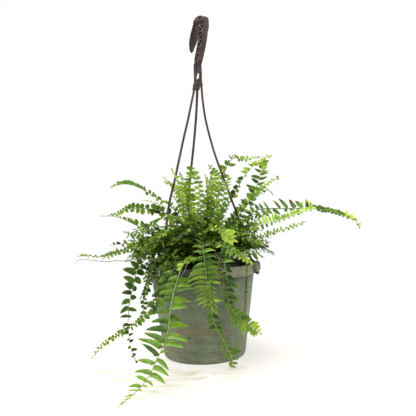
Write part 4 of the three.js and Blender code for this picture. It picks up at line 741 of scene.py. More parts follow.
# ---------------------------------------------------------------- leaf lines: the same stations as the frame's fronds (mm)
FRONDS = {
    "frond_left_arch_upper": dict(roll=55, at=[(-31.3, 9, 195.2), (-32.5, 9, 216.8), (-33.9, 10, 238.4), (-41.2, 12, 258.2), (-50.7, 16, 278.1), (-66.4, 21, 293.5), (-82.4, 26, 303.4), (-100.5, 31, 314.5), (-120.8, 36, 326.9), (-141.5, 41, 334.4), (-162.3, 45, 335.7), (-181.7, 50, 330)]),
    "frond_left_arch_middle": dict(roll=60, at=[(-34.5, -6, 194.7), (-35.6, -9, 216.2), (-38.6, -13, 235.7), (-47.4, -16, 255.3), (-60.1, -20, 269.1), (-76.5, -24, 279.2), (-96.9, -27, 283.6), (-119, -31, 285.3), (-139.5, -33, 283.5), (-156.1, -36, 277.1), (-170.8, -38, 274.2)]),
    "frond_left_arch_lower": dict(roll=40, at=[(-38.9, 1, 190.3), (-48.1, 0, 204.3), (-61.2, -1, 216.4), (-76.6, 1, 226.5), (-94, 3, 237.7), (-113.6, 6, 246), (-131.2, 8, 254.7), (-148.9, 10, 264), (-170.6, 12, 271.3), (-196.5, 14, 272.9)]),
    "frond_left_far": dict(roll=30, at=[(-33.8, 19, 190.5), (-35.3, 24, 213.9), (-40.9, 31, 235.7), (-50.7, 38, 257.8), (-64.8, 46, 278.4), (-81.4, 55, 291.2), (-100.7, 65, 298.4), (-122.4, 74, 303)]),
    "frond_left_short": dict(roll=45, at=[(-38.4, -17.9, 187.6), (-47.1, -25.3, 200.4), (-58, -32.9, 210.4), (-72, -40.2, 217), (-88.2, -46.8, 222.1), (-105.4, -52.4, 227.8), (-122.7, -57.4, 234.9), (-139.8, -62, 243.1)]),
    "frond_left_low_back": dict(roll=40, at=[(-44.7, 9.5, 183.7), (-55.3, 14.8, 199.1), (-69.6, 19.9, 210.5), (-88.5, 24.6, 216.4), (-110.3, 28.9, 217.9), (-133.6, 32.7, 217.1), (-157.5, 36.3, 215.3), (-181.5, 40, 213.4)]),
    "frond_left_long": dict(roll=35, at=[(-44.5, -5, 185.2), (-55.3, -9, 201.4), (-66.1, -14, 214.6), (-82.6, -18, 226.8), (-103.1, -23, 223.8), (-123.7, -27, 215.8), (-144.2, -30, 207.2), (-164.4, -34, 202), (-186.5, -37, 197.3), (-208.4, -39, 199.7), (-230.1, -42, 200.3)]),
    "frond_left_hanging": dict(roll=95, at=[(-48.1, -14, 178.6), (-57, -17, 192.5), (-67.8, -22, 200.9), (-81.6, -27, 200.9), (-96.3, -32, 197), (-110.2, -37, 183.9), (-122.4, -41, 165.1), (-127.2, -44, 145.2), (-132.6, -46, 125.3), (-136.6, -48, 107.2), (-138.9, -49, 87.1), (-139.4, -50, 67), (-138.3, -50, 46.7), (-135.5, -51, 26.6), (-127, -51, 2.3)]),
    "frond_left_trailing": dict(roll=110, at=[(-39.7, -26.8, 180.1), (-46.2, -42.4, 190.3), (-51.9, -58.9, 196.9), (-62, -73.1, 198), (-83.6, -71.9, 186.7), (-92.1, -78, 161.6), (-97.7, -81, 142.5), (-103.5, -83, 123.4), (-106.1, -84, 102.3)]),
    "frond_front_left_cascade": dict(roll=5, at=[(-32.5, -36.1, 178.9), (-34.5, -54.1, 187.8), (-37.6, -71.7, 192.5), (-42.3, -88, 189.7), (-48.6, -101.5, 179.4), (-56.3, -111.3, 163.9), (-65.7, -117.4, 145.9), (-77.2, -119.9, 127.7), (-91, -119.5, 110.7), (-107.1, -117, 95.5), (-124.6, -113, 80.7), (-142.9, -109, 70.6), (-161.1, -106, 60), (-178.6, -103, 47.6), (-195.4, -101, 26.3)]),
    "frond_front_long": dict(roll=0, at=[(-16.5, -47, 175.5), (-16.5, -64, 190.2), (-18.4, -82, 197.3), (-24.9, -100, 193.9), (-35.2, -114, 178.4), (-44, -124, 154.3), (-50.8, -134, 130.7), (-55, -144, 107.6), (-57.4, -156, 83.8), (-63.7, -170, 63), (-73.7, -186, 45.4), (-81.7, -204, 29.2), (-92.9, -223, 17.4), (-106.7, -244, 8.7), (-123.4, -264, 0.7)]),
    "frond_front_middle": dict(roll=0, at=[(-1.7, -50, 175.4), (-0.3, -58, 197.3), (1.6, -70, 213.7), (3.2, -84, 220.9), (4.2, -98, 214.8), (5.2, -108, 202.5), (6.4, -115, 185.8), (8.3, -120, 162.3), (9.2, -122, 136.9), (12.8, -122, 116.3)]),
    "frond_front_low": dict(roll=0, at=[(9.3, -50, 173.2), (9.7, -65, 184), (9.9, -80, 189.1), (11.7, -96, 188.9), (13.1, -112, 180.1), (14.2, -119, 160.3), (13.6, -126, 140.9), (14.6, -127, 120.6), (16.2, -125, 99.8), (20.8, -120, 81.5), (27.6, -115, 66.3), (34.2, -110, 51.1), (40.8, -105, 35.7), (47.6, -100, 21.8), (50.6, -96, 1.3)]),
    "frond_front_short": dict(roll=15, at=[(18.4, -45.6, 177.6), (24.3, -59.4, 188.1), (30.2, -73.8, 193.4), (36, -89, 190.2), (41.5, -104.4, 179.2), (43.3, -110.5, 162.5), (44.6, -115.1, 142.7), (45.6, -118, 121.4)]),
    "frond_front_right_bright": dict(roll=0, at=[(15.2, -44, 181.6), (19.2, -59, 194), (22.9, -74, 200.7), (27.9, -90, 198.4), (32.5, -106, 187.5), (36, -117, 171.4), (39.4, -124, 150), (43.7, -127, 128.2), (49.2, -125, 108.9), (61.7, -121, 93.2), (78.8, -115, 78.5), (98.7, -109, 61.8)]),
    "frond_right_curled_vine": dict(roll=60, at=[(35.1, -31.6, 181.3), (47.4, -40.9, 193.7), (59.7, -50.3, 201.3), (70.8, -59.9, 200.6), (78.4, -69.8, 191.5), (81.1, -79.5, 176.3), (80.1, -87.6, 157.3), (77.5, -93, 136.1), (75.2, -96.2, 113.6), (73.5, -98, 90.6)]),
    "frond_right_crumpled": dict(roll=50, at=[(43.8, -17.7, 181.4), (51.8, -21, 194.7), (61.3, -24.5, 205.5), (72.8, -28, 212.2), (85.5, -34.4, 214.1), (101.8, -38.5, 209.1), (117.3, -42.4, 202.6), (132.4, -46, 194.8)]),
    "frond_front_crossing": dict(roll=40, at=[(4.5, -42.6, 187.1), (7.3, -52.2, 204.2), (12.4, -63, 216.6), (21.3, -74.9, 220.8), (34.1, -86.7, 217.1), (49.9, -95.9, 208.2), (67.7, -101.4, 196.6), (86.5, -104, 183.9)]),
    "frond_front_lobed": dict(roll=60, at=[(1.1, -31.8, 195.7), (3.4, -40.4, 215.3), (7.2, -49.8, 232.3), (14.1, -60.3, 243.7), (24.3, -71.7, 246.7), (36.6, -82.5, 241.1), (49.3, -91.2, 229.2), (61.6, -98, 213.8)]),
    "frond_right_long_arch": dict(roll=62, at=[(42.4, -8, 186.7), (52.7, -9, 207.6), (64.9, -11, 230.4), (78.8, -14, 251.2), (94.4, -17, 268), (111.5, -21, 276.1), (130.1, -25, 277.4), (150.5, -28, 276.4), (170.8, -31, 276), (192.6, -35, 275.8), (214.5, -38, 274.6), (236.1, -41, 270.2), (257.5, -44, 264), (276.9, -47, 255.2), (288.1, -49, 248.4), (293, -50, 237.2)]),
    "frond_right_arch_light": dict(roll=45, at=[(36.4, -21, 188.1), (46.2, -29, 207.4), (57.7, -37, 222.6), (74.4, -44, 233.7), (94.6, -50, 241.6), (112.9, -54, 248), (130.9, -58, 252.7), (150.8, -61, 257.6), (170.6, -64, 264.4), (188.4, -67, 270.7), (206.1, -70, 274.5)]),
    "frond_right_thin": dict(roll=45, at=[(46.2, -15, 178.9), (56.3, -24.8, 195), (68.7, -35.1, 208.8), (85.5, -41.5, 218.8), (105.6, -44.1, 225.8), (126.8, -47.6, 231.7), (148.4, -51.5, 237.4), (169.8, -55.7, 243.7), (190.9, -60, 250.9)]),
    "frond_right_upper": dict(roll=30, at=[(33.3, 2, 195.7), (39.7, 1, 215.1), (46.1, 0, 234.4), (56.5, 1, 253.5), (70.7, 2, 270.5), (87, 4, 287.5), (103.3, 7, 303.7), (119.6, 9, 316.9), (136, 12, 328.7), (154.3, 14, 337.7)]),
    "frond_top_right_back": dict(roll=75, at=[(19.9, 15, 199), (24.5, 16, 220.5), (31.1, 17, 242), (39.7, 19, 261.4), (50.2, 22, 278.9), (60.9, 26, 296.5), (71.2, 30, 314.2), (82.1, 34, 332.1), (95.4, 38, 350), (111.4, 42, 366)]),
    "frond_top_right_front": dict(roll=95, at=[(23.3, -19, 195.9), (33.4, -24, 216.9), (43.3, -30, 235.8), (58.7, -36, 254.4), (73.9, -41, 269), (88, -46, 285.3), (97.5, -50, 303.4), (105.1, -53, 318.7), (110.3, -55, 334.1), (114.3, -57, 349.5), (118, -58, 366.7)]),
    "frond_top_arching": dict(roll=70, at=[(14, -2, 202.5), (14.8, 0, 225.6), (17.5, 2, 248.8), (22.1, 5, 272), (28.7, 7, 293.3), (37.2, 9, 314.6), (44.7, 9, 335), (51.2, 8, 355.3), (58.4, 5, 369.5), (69.2, 1, 377.9), (83.3, -4, 374.7), (98.5, -8, 375.4), (117.4, -12, 375.2), (138.1, -16, 377.2)]),
    "frond_right_back_upper": dict(roll=40, at=[(31.6, 14, 194.8), (38.3, 19, 215.9), (47, 25, 237.2), (59.9, 31, 256.5), (77, 38, 278), (94.2, 45, 295.7), (111.4, 52, 307.6), (126.5, 58, 313.4), (139.4, 62, 314.8), (149.9, 66, 305.7)]),
    "frond_top_middle_tall": dict(roll=90, at=[(8.2, -14, 201.7), (9.9, -16, 224.8), (13.5, -19, 245.8), (18.9, -22, 268.6), (24.4, -25, 291.2), (28.8, -27, 311.8), (30.9, -28, 332.5), (27.1, -28, 349.6), (19, -28, 362.2)]),
    "frond_top_middle_left": dict(roll=-10, at=[(-7, -20, 200.8), (-6.2, -25, 223.9), (-2.5, -30, 246.7), (0.1, -35, 269.3), (-0.4, -40, 291.8), (-0.7, -44, 314.1), (-2, -47, 330.7), (-5.9, -49, 347.4)]),
    "frond_top_middle_right": dict(roll=-50, at=[(19.4, -27, 194.8), (21.9, -34, 214.2), (25.2, -40, 233.1), (30.3, -46, 251.8), (36.3, -52, 270.3), (41.4, -57, 288.5), (44.6, -61, 306.6), (45.9, -64, 322.9), (53.5, -66, 336.2)]),
    "frond_top_left": dict(roll=0, at=[(-16.8, -8, 202), (-15.1, -8, 225.1), (-15.3, -10, 248.3), (-16.5, -12, 271.5), (-18, -14, 294.5), (-18.3, -16, 317.5), (-16.1, -18, 338.3), (-13.5, -19, 358.2)]),
    "frond_top_far_left": dict(roll=40, at=[(-26.3, -17, 195.4), (-27.3, -23, 218.7), (-28.5, -30, 241.9), (-31.3, -37, 262.8), (-34, -45, 283.5), (-36.1, -50, 303.9), (-38.8, -54, 322.3), (-42.3, -57, 338.8), (-47.9, -60, 352.9)]),
    "frond_middle_left_a": dict(roll=50, at=[(-21.3, -27.3, 194), (-21.8, -37.3, 214.1), (-24.1, -47.7, 233.2), (-29.9, -58.3, 249.7), (-40.3, -68.8, 261.8), (-54.7, -78.5, 267.6), (-71.2, -86.8, 266.5), (-88.3, -94, 260.6)]),
    "frond_middle_left_b": dict(roll=50, at=[(-31.9, -28.7, 187.1), (-33.7, -40.6, 203.8), (-38, -52.5, 218.6), (-46.6, -64, 229), (-59.6, -74.3, 233), (-74.7, -83, 230.1), (-89.8, -90.1, 221.1), (-103.8, -96, 208.3)]),
    "frond_middle_front": dict(roll=30, at=[(-9.6, -38.4, 190.2), (-9.6, -46.5, 206.2), (-10.3, -55.2, 221.1), (-12.5, -65.5, 233.3), (-16.9, -77.3, 240.6), (-23.2, -89.7, 241.8), (-30.8, -101.3, 236.9), (-38.9, -112, 228.4)]),
    "frond_back_left_tall": dict(roll=90, at=[(-19.8, 16.6, 198.6), (-18.1, 18.3, 220.9), (-17.2, 20.6, 243), (-18.2, 24.3, 264.3), (-22.5, 30.1, 284.2), (-30.5, 37.9, 302), (-42, 46.9, 317.4), (-56.4, 56.4, 330), (-72.6, 66, 340.6)]),
    "frond_back_long_a": dict(roll=0, at=[(12.3, 43, 184.8), (17.3, 62.4, 195.4), (22.2, 82, 204.8), (26.8, 101.9, 211.7), (31, 121.8, 213.8), (34.7, 140.9, 209.7), (37.6, 158.2, 199.4), (39.8, 173, 184.4), (41.5, 185.6, 166.4), (42.7, 196.4, 146.6), (43.5, 205.8, 126), (44.2, 214.4, 104.8), (44.7, 222.5, 83.3), (45.2, 230.3, 61.8)]),
    "frond_back_long_b": dict(roll=0, at=[(-14.4, 44.2, 182.5), (-21, 66.8, 192.1), (-27.3, 89.3, 200), (-33.1, 112.3, 204), (-38.2, 134.2, 201.6), (-42.5, 154.2, 192), (-45.7, 171.4, 176.3), (-48.1, 185.8, 156.5), (-49.8, 198, 134.3), (-51.1, 208.4, 110.9), (-52.1, 217.7, 87), (-52.9, 226, 63.2), (-53.5, 233.8, 40.5), (-54, 241.2, 19.8), (-54.5, 248.5, 1.4)]),
    "frond_back_long_c": dict(roll=0, at=[(-26.6, 34, 186.9), (-36.8, 48, 200.2), (-47.5, 63, 211.7), (-58.5, 78, 219.4), (-68, 94, 223), (-77.7, 108, 220.4), (-83.4, 122, 213.2), (-89.3, 135, 201.5), (-93.1, 147, 185.2), (-94.6, 157, 164.2), (-93.9, 166, 142.9), (-92.9, 173, 121.5)]),
    "frond_back_right_long": dict(roll=0, at=[(33.5, 32, 183.2), (44.5, 48, 195.6), (55.6, 66, 204.1), (67.1, 85, 210.8), (76.8, 105, 213.5), (84.5, 125, 212.1), (89.9, 144, 206.4), (92.9, 161, 193.9), (95.7, 175, 176.9), (95.9, 187, 157.4), (93.6, 197, 135.5), (91.1, 205, 111.3), (88.3, 211, 87), (85.6, 216, 65.1)]),
    "frond_back_right_low": dict(roll=0, at=[(45, 16, 180.4), (59.7, 28, 192.7), (74.7, 41, 201.2), (88, 55, 205.9), (99.5, 69, 208.7), (106.8, 83, 205.5), (112.1, 97, 198), (115, 110, 186.2)]),
    "frond_back_tall_a": dict(roll=0, at=[(-0.9, 25.8, 198.6), (-2, 39.9, 219.1), (-3.4, 54.5, 238.4), (-5.5, 70.4, 254.4), (-8.4, 87.7, 264.2), (-12.2, 105.7, 265), (-16.4, 123.1, 256.9), (-20.9, 139.6, 243.6)]),
    "frond_back_tall_b": dict(roll=0, at=[(14.5, 23.2, 198), (22.8, 35.8, 215.7), (31.6, 48.7, 232.5), (41, 62.2, 246.8), (51.6, 76.5, 256.3), (62.9, 91.1, 258.4), (74.1, 104.9, 252.2), (84.6, 117.4, 239.7), (94.6, 128.8, 223.9)]),
    "frond_back_middle": dict(roll=0, at=[(-1.4, 39.6, 190.2), (-1.4, 56.6, 203.9), (-1.2, 74, 216.7), (-0.7, 91.9, 227.3), (0.4, 110.5, 233.8), (2, 129.2, 234.1), (3.9, 146.8, 227.7), (6.1, 162.3, 215.6), (8.4, 175.7, 199.8), (10.8, 187.5, 181.9), (13.1, 198.5, 163.2)]),
    "frond_back_hanging_a": dict(roll=0, at=[(23.4, 45, 174.1), (32, 60, 180.6), (38.8, 75, 187.3), (43.3, 88, 188.1), (47.7, 100, 178.4), (51.6, 109, 158.1), (55.5, 115, 135.7), (57, 119, 111.2), (58.6, 122, 89), (60.2, 125, 66.6), (61.9, 127, 46.4), (63.5, 129, 24.1)]),
    "frond_back_hanging_b": dict(roll=0, at=[(-40.8, 30, 175.7), (-51.3, 42, 182.9), (-62, 54, 188.2), (-69.1, 66, 187.3), (-74.5, 78, 178), (-78, 88, 158.2), (-79.4, 95, 131.9), (-80.6, 100, 107.7), (-81.6, 103, 83.7), (-82.6, 106, 59.6), (-83.5, 108, 35.6), (-84.4, 110, 11.4)]),
    "frond_right_hanging": dict(roll=0, at=[(50.5, 12, 172.7), (61.3, 26, 182.9), (70.3, 41, 187.2), (75.4, 58, 189.7), (78.1, 72, 184.2), (78.3, 84, 166.3), (77.9, 91, 140.2), (77.4, 95, 114.2), (76.7, 98, 88.2), (76.1, 100, 64.4)]),
}
RUNNERS = {
    "runner_left": dict(roll=0, at=[(-48, -19, 169.6), (-51.9, -43, 178), (-57.3, -68, 184.6), (-74.1, -81, 190.1), (-95.4, -81, 193.8), (-118.6, -81, 194.7), (-136.4, -82, 192.8), (-154.1, -83, 193.1), (-173.5, -84, 192.1), (-191, -85, 195), (-208.5, -86, 197.6), (-218.9, -87, 196.6), (-224.2, -88, 191.1)]),
    "runner_front": dict(roll=0, at=[(-23.4, -45.8, 169.8), (-22.5, -60.9, 177.4), (-22.1, -75.9, 184.2), (-22.5, -90.2, 188.7), (-23.8, -103.5, 188.7), (-25.5, -114.4, 182.7), (-30.2, -122.4, 173.2), (-38.3, -129, 163.3)]),
}

# how each leaf looks: leaflet length (mm) on either side along the leaf, spacing, width, colour
STYLE = {
    "frond_left_arch_upper": dict(near=[(0.1, 7), (0.35, 9.5), (0.75, 8.5), (1, 3.5)], far=[(0.1, 7), (0.35, 8), (0.8, 6), (1, 3)], gap=[(0, 8), (0.8, 6.5), (1, 4.5)], wide=0.66, lift=34, tail=0.12, shade=[(0, 0.30), (0.5, 0.58), (1, 0.85)], start=0.14, jitter=2.0, twist=14, fold=0.45),
    "frond_left_arch_middle": dict(near=[(0.12, 10), (0.3, 13.5), (0.7, 13.5), (0.88, 8), (1, 3)], gap=[(0, 12), (0.75, 11), (1, 5)], wide=0.72, lift=8, tail=0.12, shade=[(0, 0.22), (0.6, 0.32), (1, 0.7)], shade_far=[(0, 0.44), (0.6, 0.66), (1, 0.88)], start=0.2, jitter=1.6, twist=10, fold=0.35),
    "frond_left_arch_lower": dict(near=[(0.12, 10), (0.35, 12), (0.65, 10.5), (0.85, 6), (1, 3)], far=[(0.12, 8), (0.5, 7), (1, 2.5)], gap=[(0, 9), (0.8, 7), (1, 4.5)], wide=0.64, lift=22, tail=0.2, shade=[(0, 0.30), (0.7, 0.48), (1, 0.7)], jitter=2.0, twist=12, fold=0.4),
    "frond_left_far": dict(near=[(0.12, 7), (0.5, 6), (0.8, 3.6), (1, 2.4)], gap=[(0, 8.5), (1, 6.5)], wide=0.6, shade=[(0, 0.4), (0.7, 0.42), (1, 0.5)], dry=[(0, 0), (0.6, 0), (0.8, 0.5), (1, 0.7)], thick=(0.97, 0.55), jitter=1.5),
    "frond_left_short": dict(near=[(0.12, 11), (0.5, 13), (0.85, 9), (1, 5)], gap=[(0, 9), (1, 5)], wide=0.36, tail=0.8, angle=[(0, 70), (1, 40)], shade=[(0, 0.35), (1, 0.5)], brown=0.8, jitter=1.5),
    "frond_left_low_back": dict(near=[(0.12, 8), (0.5, 8), (0.9, 5.5), (1, 4)], gap=[(0, 9), (0.7, 9), (1, 5)], wide=0.7, tail=0.1, twist=30, droop=0.7, wave=0.2, shade=[(0, 0.35), (1, 0.2)], dry=[(0, 0), (0.72, 0), (0.82, 1), (1, 1)], brown=0.9, jitter=1.5),
    "frond_left_long": dict(near=[(0.1, 11), (0.3, 11.5), (0.6, 8.5), (0.74, 5), (0.85, 3.4), (1, 2.2)], gap=[(0, 8), (0.7, 6.5), (1, 6)], wide=0.48, lift=5, droop=0.35, angle=[(0, 72), (0.7, 55), (1, 35)], tail=0.5, shade=[(0, 0.45), (0.6, 0.62), (1, 0.9)], thick=(1.19, 0.55), jitter=1.5),
    "frond_left_hanging": dict(near=[(0.05, 11), (0.12, 19), (0.2, 24), (0.38, 23), (0.5, 18), (0.6, 15.5), (0.66, 8), (0.74, 4.5), (1, 4)], far=[(0.05, 9), (0.12, 13), (0.36, 13), (0.5, 11), (0.6, 12), (0.66, 6), (0.78, 4.5), (0.88, 9), (1, 4)], gap=[(0, 13), (0.62, 13), (0.7, 9), (1, 9)], wide=[(0, 0.47), (0.6, 0.5), (0.75, 0.55), (1, 0.5)], tail=0.32, angle=[(0, 72), (0.6, 72), (1, 55)], droop=0.12, lift=4, shade=[(0, 0.22), (0.6, 0.22), (0.75, 0.18), (1, 0.12)], spots=((0.66, 1, 1.0), (0.69, -1, 1.0)), start=0.05, thick=(1.24, 0.55), stem=[(0, 0.6), (0.3, 0.75), (0.6, 0.55), (0.75, 0.3), (1, 0.2)], jitter=1.5),
    "frond_left_trailing": dict(near=[(0.1, 11), (0.3, 9), (0.5, 7), (0.9, 6), (1, 4)], gap=[(0, 9), (1, 9)], wide=0.88, tail=0.02, shade=[(0, 0.2), (1, 0.18)], thick=(0.86, 0.55), start=0.15, jitter=1.8, fold=0.4),
    "frond_front_left_cascade": dict(near=[(0.06, 9), (0.2, 12), (0.5, 12.5), (0.75, 9), (0.9, 6.5), (1, 2.4)], gap=[(0, 8), (0.7, 6.6), (1, 4.2)], wide=[(0, 0.7), (0.5, 0.72), (0.8, 0.85), (1, 0.8)], tail=0.08, lift=10, droop=0.3, twist=22, fold=0.4, wave=0.12, shade=[(0, 0.22), (0.5, 0.36), (0.75, 0.55), (0.9, 0.7), (1, 0.95)], start=0.12, jitter=2.2, angle=[(0, 84), (0.6, 74), (1, 45)]),
    "frond_front_long": dict(near=[(0.05, 7), (0.15, 13), (0.25, 16), (0.36, 26), (0.5, 31), (0.72, 30), (0.82, 25), (0.89, 16), (0.94, 7), (1, 2.6)], far=[(0.05, 8), (0.15, 14), (0.25, 18), (0.36, 28), (0.5, 33), (0.7, 35), (0.82, 28), (0.89, 19), (0.94, 8), (1, 2.6)], gap=[(0, 11), (0.3, 13.5), (0.8, 13.5), (0.9, 9), (1, 4.5)], wide=[(0, 0.45), (0.4, 0.36), (0.85, 0.36), (1, 0.5)], tail=0.55, angle=[(0, 80), (0.5, 82), (0.8, 72), (1, 45)], lift=-6, droop=0.16, bend=0.2, fold=0.46, wave=0.10, shade=[(0, 0.45), (0.4, 0.62), (0.75, 0.58), (1, 0.85)], shade_far=[(0, 0.35), (0.4, 0.36), (0.75, 0.42), (0.9, 0.58), (1, 0.85)], stem=[(0, 0.4), (0.12, 0.66), (0.4, 0.82), (0.55, 0.66), (0.8, 0.45), (1, 0.6)], thick=(1.35, 0.55), ear=0.32, jitter=1.5),
    "frond_front_middle": dict(near=[(0.02, 9), (0.15, 17), (0.3, 24), (0.5, 29), (0.7, 27), (0.8, 17), (0.92, 11), (1, 6)], gap=[(0, 8.5), (0.4, 9.5), (0.8, 7.5), (0.9, 3.6), (1, 2.6)], wide=[(0, 0.36), (0.4, 0.25), (0.75, 0.25), (1, 0.36)], tail=0.75, angle=[(0, 84), (0.6, 88), (0.85, 80), (1, 50)], lift=10, droop=0.42, bend=0.32, fold=0.35, shade=[(0, 0.36), (0.5, 0.44), (0.78, 0.58), (0.86, 0.9), (1, 0.98)], spots=(), stem=[(0, 0.3), (0.3, 0.42), (0.6, 0.62), (1, 0.85)], thick=(1.03, 0.55), start=0.03, jitter=1.5),
    "frond_front_low": dict(near=[(0.1, 6), (0.42, 9), (0.55, 12), (0.8, 11.5), (0.94, 8), (1, 5)], gap=[(0, 9), (0.5, 8.5), (1, 5.5)], wide=0.42, tail=0.3, shade=[(0, 0.25), (0.5, 0.34), (0.85, 0.42), (1, 0.5)], droop=0.3, twist=10, start=0.12, stem=[(0, 0.4), (0.5, 0.6), (1, 0.9)], jitter=1.5),
    "frond_front_short": dict(near=[(0.15, 9), (0.4, 16), (0.75, 17), (1, 8)], far=[(0.15, 6), (0.5, 8), (0.9, 10), (1, 7)], gap=[(0, 10), (1, 8)], wide=0.34, tail=0.7, droop=0.3, shade=[(0, 0.22), (0.7, 0.3), (1, 0.5)], spots=((0.9, 1, 1.0), (0.82, -1, 0.9)), brown=0.4, jitter=1.5),
    "frond_front_right_bright": dict(near=[(0.1, 6), (0.4, 8), (0.6, 9), (0.85, 15), (0.96, 9), (1, 5)], far=[(0.1, 6), (0.4, 8), (0.6, 10), (0.85, 19), (0.96, 12), (1, 5)], gap=[(0, 8.5), (0.4, 8.5), (0.6, 7.5), (1, 4.6)], wide=0.42, tail=0.35, angle=[(0, 75), (0.6, 74), (1, 48)], droop=0.3, lift=6, shade=[(0, 0.08), (0.4, 0.14), (0.6, 0.22), (0.85, 0.72), (1, 0.9)], shade_far=[(0, 0.08), (0.4, 0.14), (0.6, 0.24), (1, 0.92)], stem=[(0, 0.15), (0.55, 0.3), (0.7, 0.6), (1, 0.9)], thick=(1.08, 0.55), jitter=1.5),
    "frond_right_curled_vine": dict(near=[(0.1, 4), (0.8, 5), (1, 3.4)], gap=[(0, 5.0), (1, 3.6)], wide=0.66, stem=[(0, 0.2), (0.3, 0.55), (1, 0.42)], angle=[(0, 46), (1, 36)], twist=60, lift=30, fold=0.7, droop=0.0, bend=0.7, tail=0.2, shade=[(0, 0.55), (0.3, 0.45), (0.6, 0.22), (1, 0.3)], jitter=2.6, thick=(1.7, 1.15)),
    "frond_right_crumpled": dict(near=[(0.1, 8), (0.5, 13), (0.85, 11), (1, 7)], gap=[(0, 8), (1, 4.5)], wide=0.3, tail=0.9, droop=0.9, twist=50, bend=0.7, wave=0.35, fold=0.6, lift=15, shade=[(0, 0.3), (1, 0.38)], brown=1.0, dry=[(0, 0.1), (0.7, 0.25), (1, 0.9)], jitter=2.2),
    "frond_front_crossing": dict(near=[(0.1, 5), (0.4, 7.5), (0.8, 6), (1, 3.5)], gap=[(0, 7), (1, 4.6)], wide=0.46, tail=0.6, angle=[(0, 70), (1, 42)], shade=[(0, 0.30), (0.5, 0.44), (0.85, 0.6), (1, 0.92)], lift=8, start=0.2, twist=10, jitter=1.4),
    "frond_front_lobed": dict(near=[(0.1, 4), (0.45, 6), (0.62, 9.5), (0.8, 11.5), (0.93, 9), (1, 5)], gap=[(0, 6.5), (0.5, 5.5), (0.6, 4.6), (1, 3.6)], wide=[(0, 0.5), (0.6, 0.5), (1, 0.52)], tail=0.85, angle=[(0, 75), (0.6, 64), (0.85, 50), (1, 30)], fold=0.2, lift=4, droop=0.25, twist=8, shade=[(0, 0.35), (0.5, 0.55), (0.7, 0.74), (1, 0.92)], start=0.2, tip=3, cut=0.9, jitter=1.3),
    "frond_right_long_arch": dict(near=[(0.08, 9), (0.16, 16), (0.28, 23), (0.38, 25), (0.5, 22), (0.56, 14), (0.62, 9), (0.8, 8), (0.92, 6.5), (1, 3)], far=[(0.08, 9), (0.18, 17), (0.32, 13), (0.45, 8), (0.6, 6.5), (1, 3)], gap=[(0, 9.5), (0.5, 9.6), (0.6, 5.4), (0.85, 5.8), (1, 5)], wide=[(0, 0.32), (0.5, 0.26), (0.62, 0.8), (1, 0.75)], angle=[(0, 88), (0.2, 100), (0.5, 100), (0.62, 80), (1, 62)], bend=[(0, 0.1), (0.2, -0.3), (0.5, -0.3), (0.6, 0.1), (1, 0.1)], droop=[(0, 0.1), (0.5, 0.0), (1, 0.1)], lift=[(0, 6), (0.5, 10), (0.62, 30), (1, 20)], tail=[(0, 0.6), (0.5, 0.6), (0.65, 0.1), (1, 0.2)], shade=[(0, 0.2), (0.5, 0.22), (0.8, 0.32), (0.9, 0.62), (1, 0.85)], spots=((0.42, 1, 0.9),), thick=(1.46, 0.55), jitter=1.5),
    "frond_right_arch_light": dict(near=[(0.1, 7), (0.4, 8), (0.75, 7.5), (0.92, 6.5), (1, 5)], far=[(0.1, 7), (0.4, 6), (1, 3.5)], gap=[(0, 6), (0.7, 4.8), (1, 4.6)], wide=0.62, tail=0.15, lift=14, twist=16, jitter=2.0, shade=[(0, 0.5), (0.5, 0.76), (1, 0.95)], stem=[(0, 0.4), (0.5, 0.9), (1, 1.0)]),
    "frond_right_thin": dict(near=[(0.1, 3), (0.4, 4), (0.55, 7), (0.8, 5.5), (1, 3)], gap=[(0, 9), (0.5, 6.5), (1, 6)], wide=0.66, tail=0.1, shade=[(0, 0.4), (0.5, 0.6), (1, 0.88)], thick=(0.97, 0.55), jitter=1.8, lift=20),
    "frond_right_upper": dict(near=[(0.1, 10), (0.4, 10), (0.75, 7), (1, 4)], gap=[(0, 7), (1, 4.4)], wide=0.5, tail=0.3, lift=16, shade=[(0, 0.42), (0.6, 0.62), (1, 0.82)], jitter=1.5),
    "frond_top_right_back": dict(near=[(0.1, 9), (0.3, 13), (0.7, 14), (0.9, 10), (1, 5)], far=[(0.1, 6), (0.6, 6), (0.75, 11), (0.9, 11), (1, 5)], gap=[(0, 9.5), (0.75, 8.5), (0.85, 6), (1, 4)], wide=0.40, tail=0.4, angle=[(0, 84), (0.5, 72), (1, 42)], bend=0.35, droop=0.1, shade=[(0, 0.28), (0.65, 0.34), (0.78, 0.62), (1, 0.9)], stem=[(0, 0.15), (0.6, 0.25), (0.8, 0.7), (1, 0.9)], jitter=1.6),
    "frond_top_right_front": dict(near=[(0.1, 9), (0.3, 15), (0.7, 17), (0.9, 12), (1, 6)], far=[(0.1, 9), (0.3, 15), (0.75, 17), (0.9, 12), (1, 6)], gap=[(0, 9.5), (0.75, 10), (0.88, 6.5), (1, 4)], wide=0.30, tail=0.6, angle=[(0, 82), (0.5, 68), (0.85, 58), (1, 40)], bend=0.34, droop=-0.05, twist=10, brown=0.5, shade=[(0, 0.18), (0.6, 0.22), (0.8, 0.42), (0.92, 0.8), (1, 0.9)], stem=[(0, 0.15), (0.7, 0.4), (1, 0.9)], jitter=1.5),
    "frond_top_arching": dict(near=[(0.1, 8), (0.3, 10), (0.55, 10), (0.64, 9), (0.8, 7.5), (1, 3)], gap=[(0, 12), (0.5, 12.5), (0.62, 7.5), (0.85, 8), (1, 7.5)], wide=0.72, tail=0.1, twist=10, shade=[(0, 0.28), (0.5, 0.34), (0.6, 0.4), (0.72, 0.78), (1, 0.95)], stem=[(0, 0.2), (0.55, 0.2), (0.7, 0.7), (1, 0.95)], dry=[(0, 0), (0.52, 0), (0.58, 0.6), (0.63, 0), (1, 0)], thick=(1.19, 0.55), jitter=1.5),
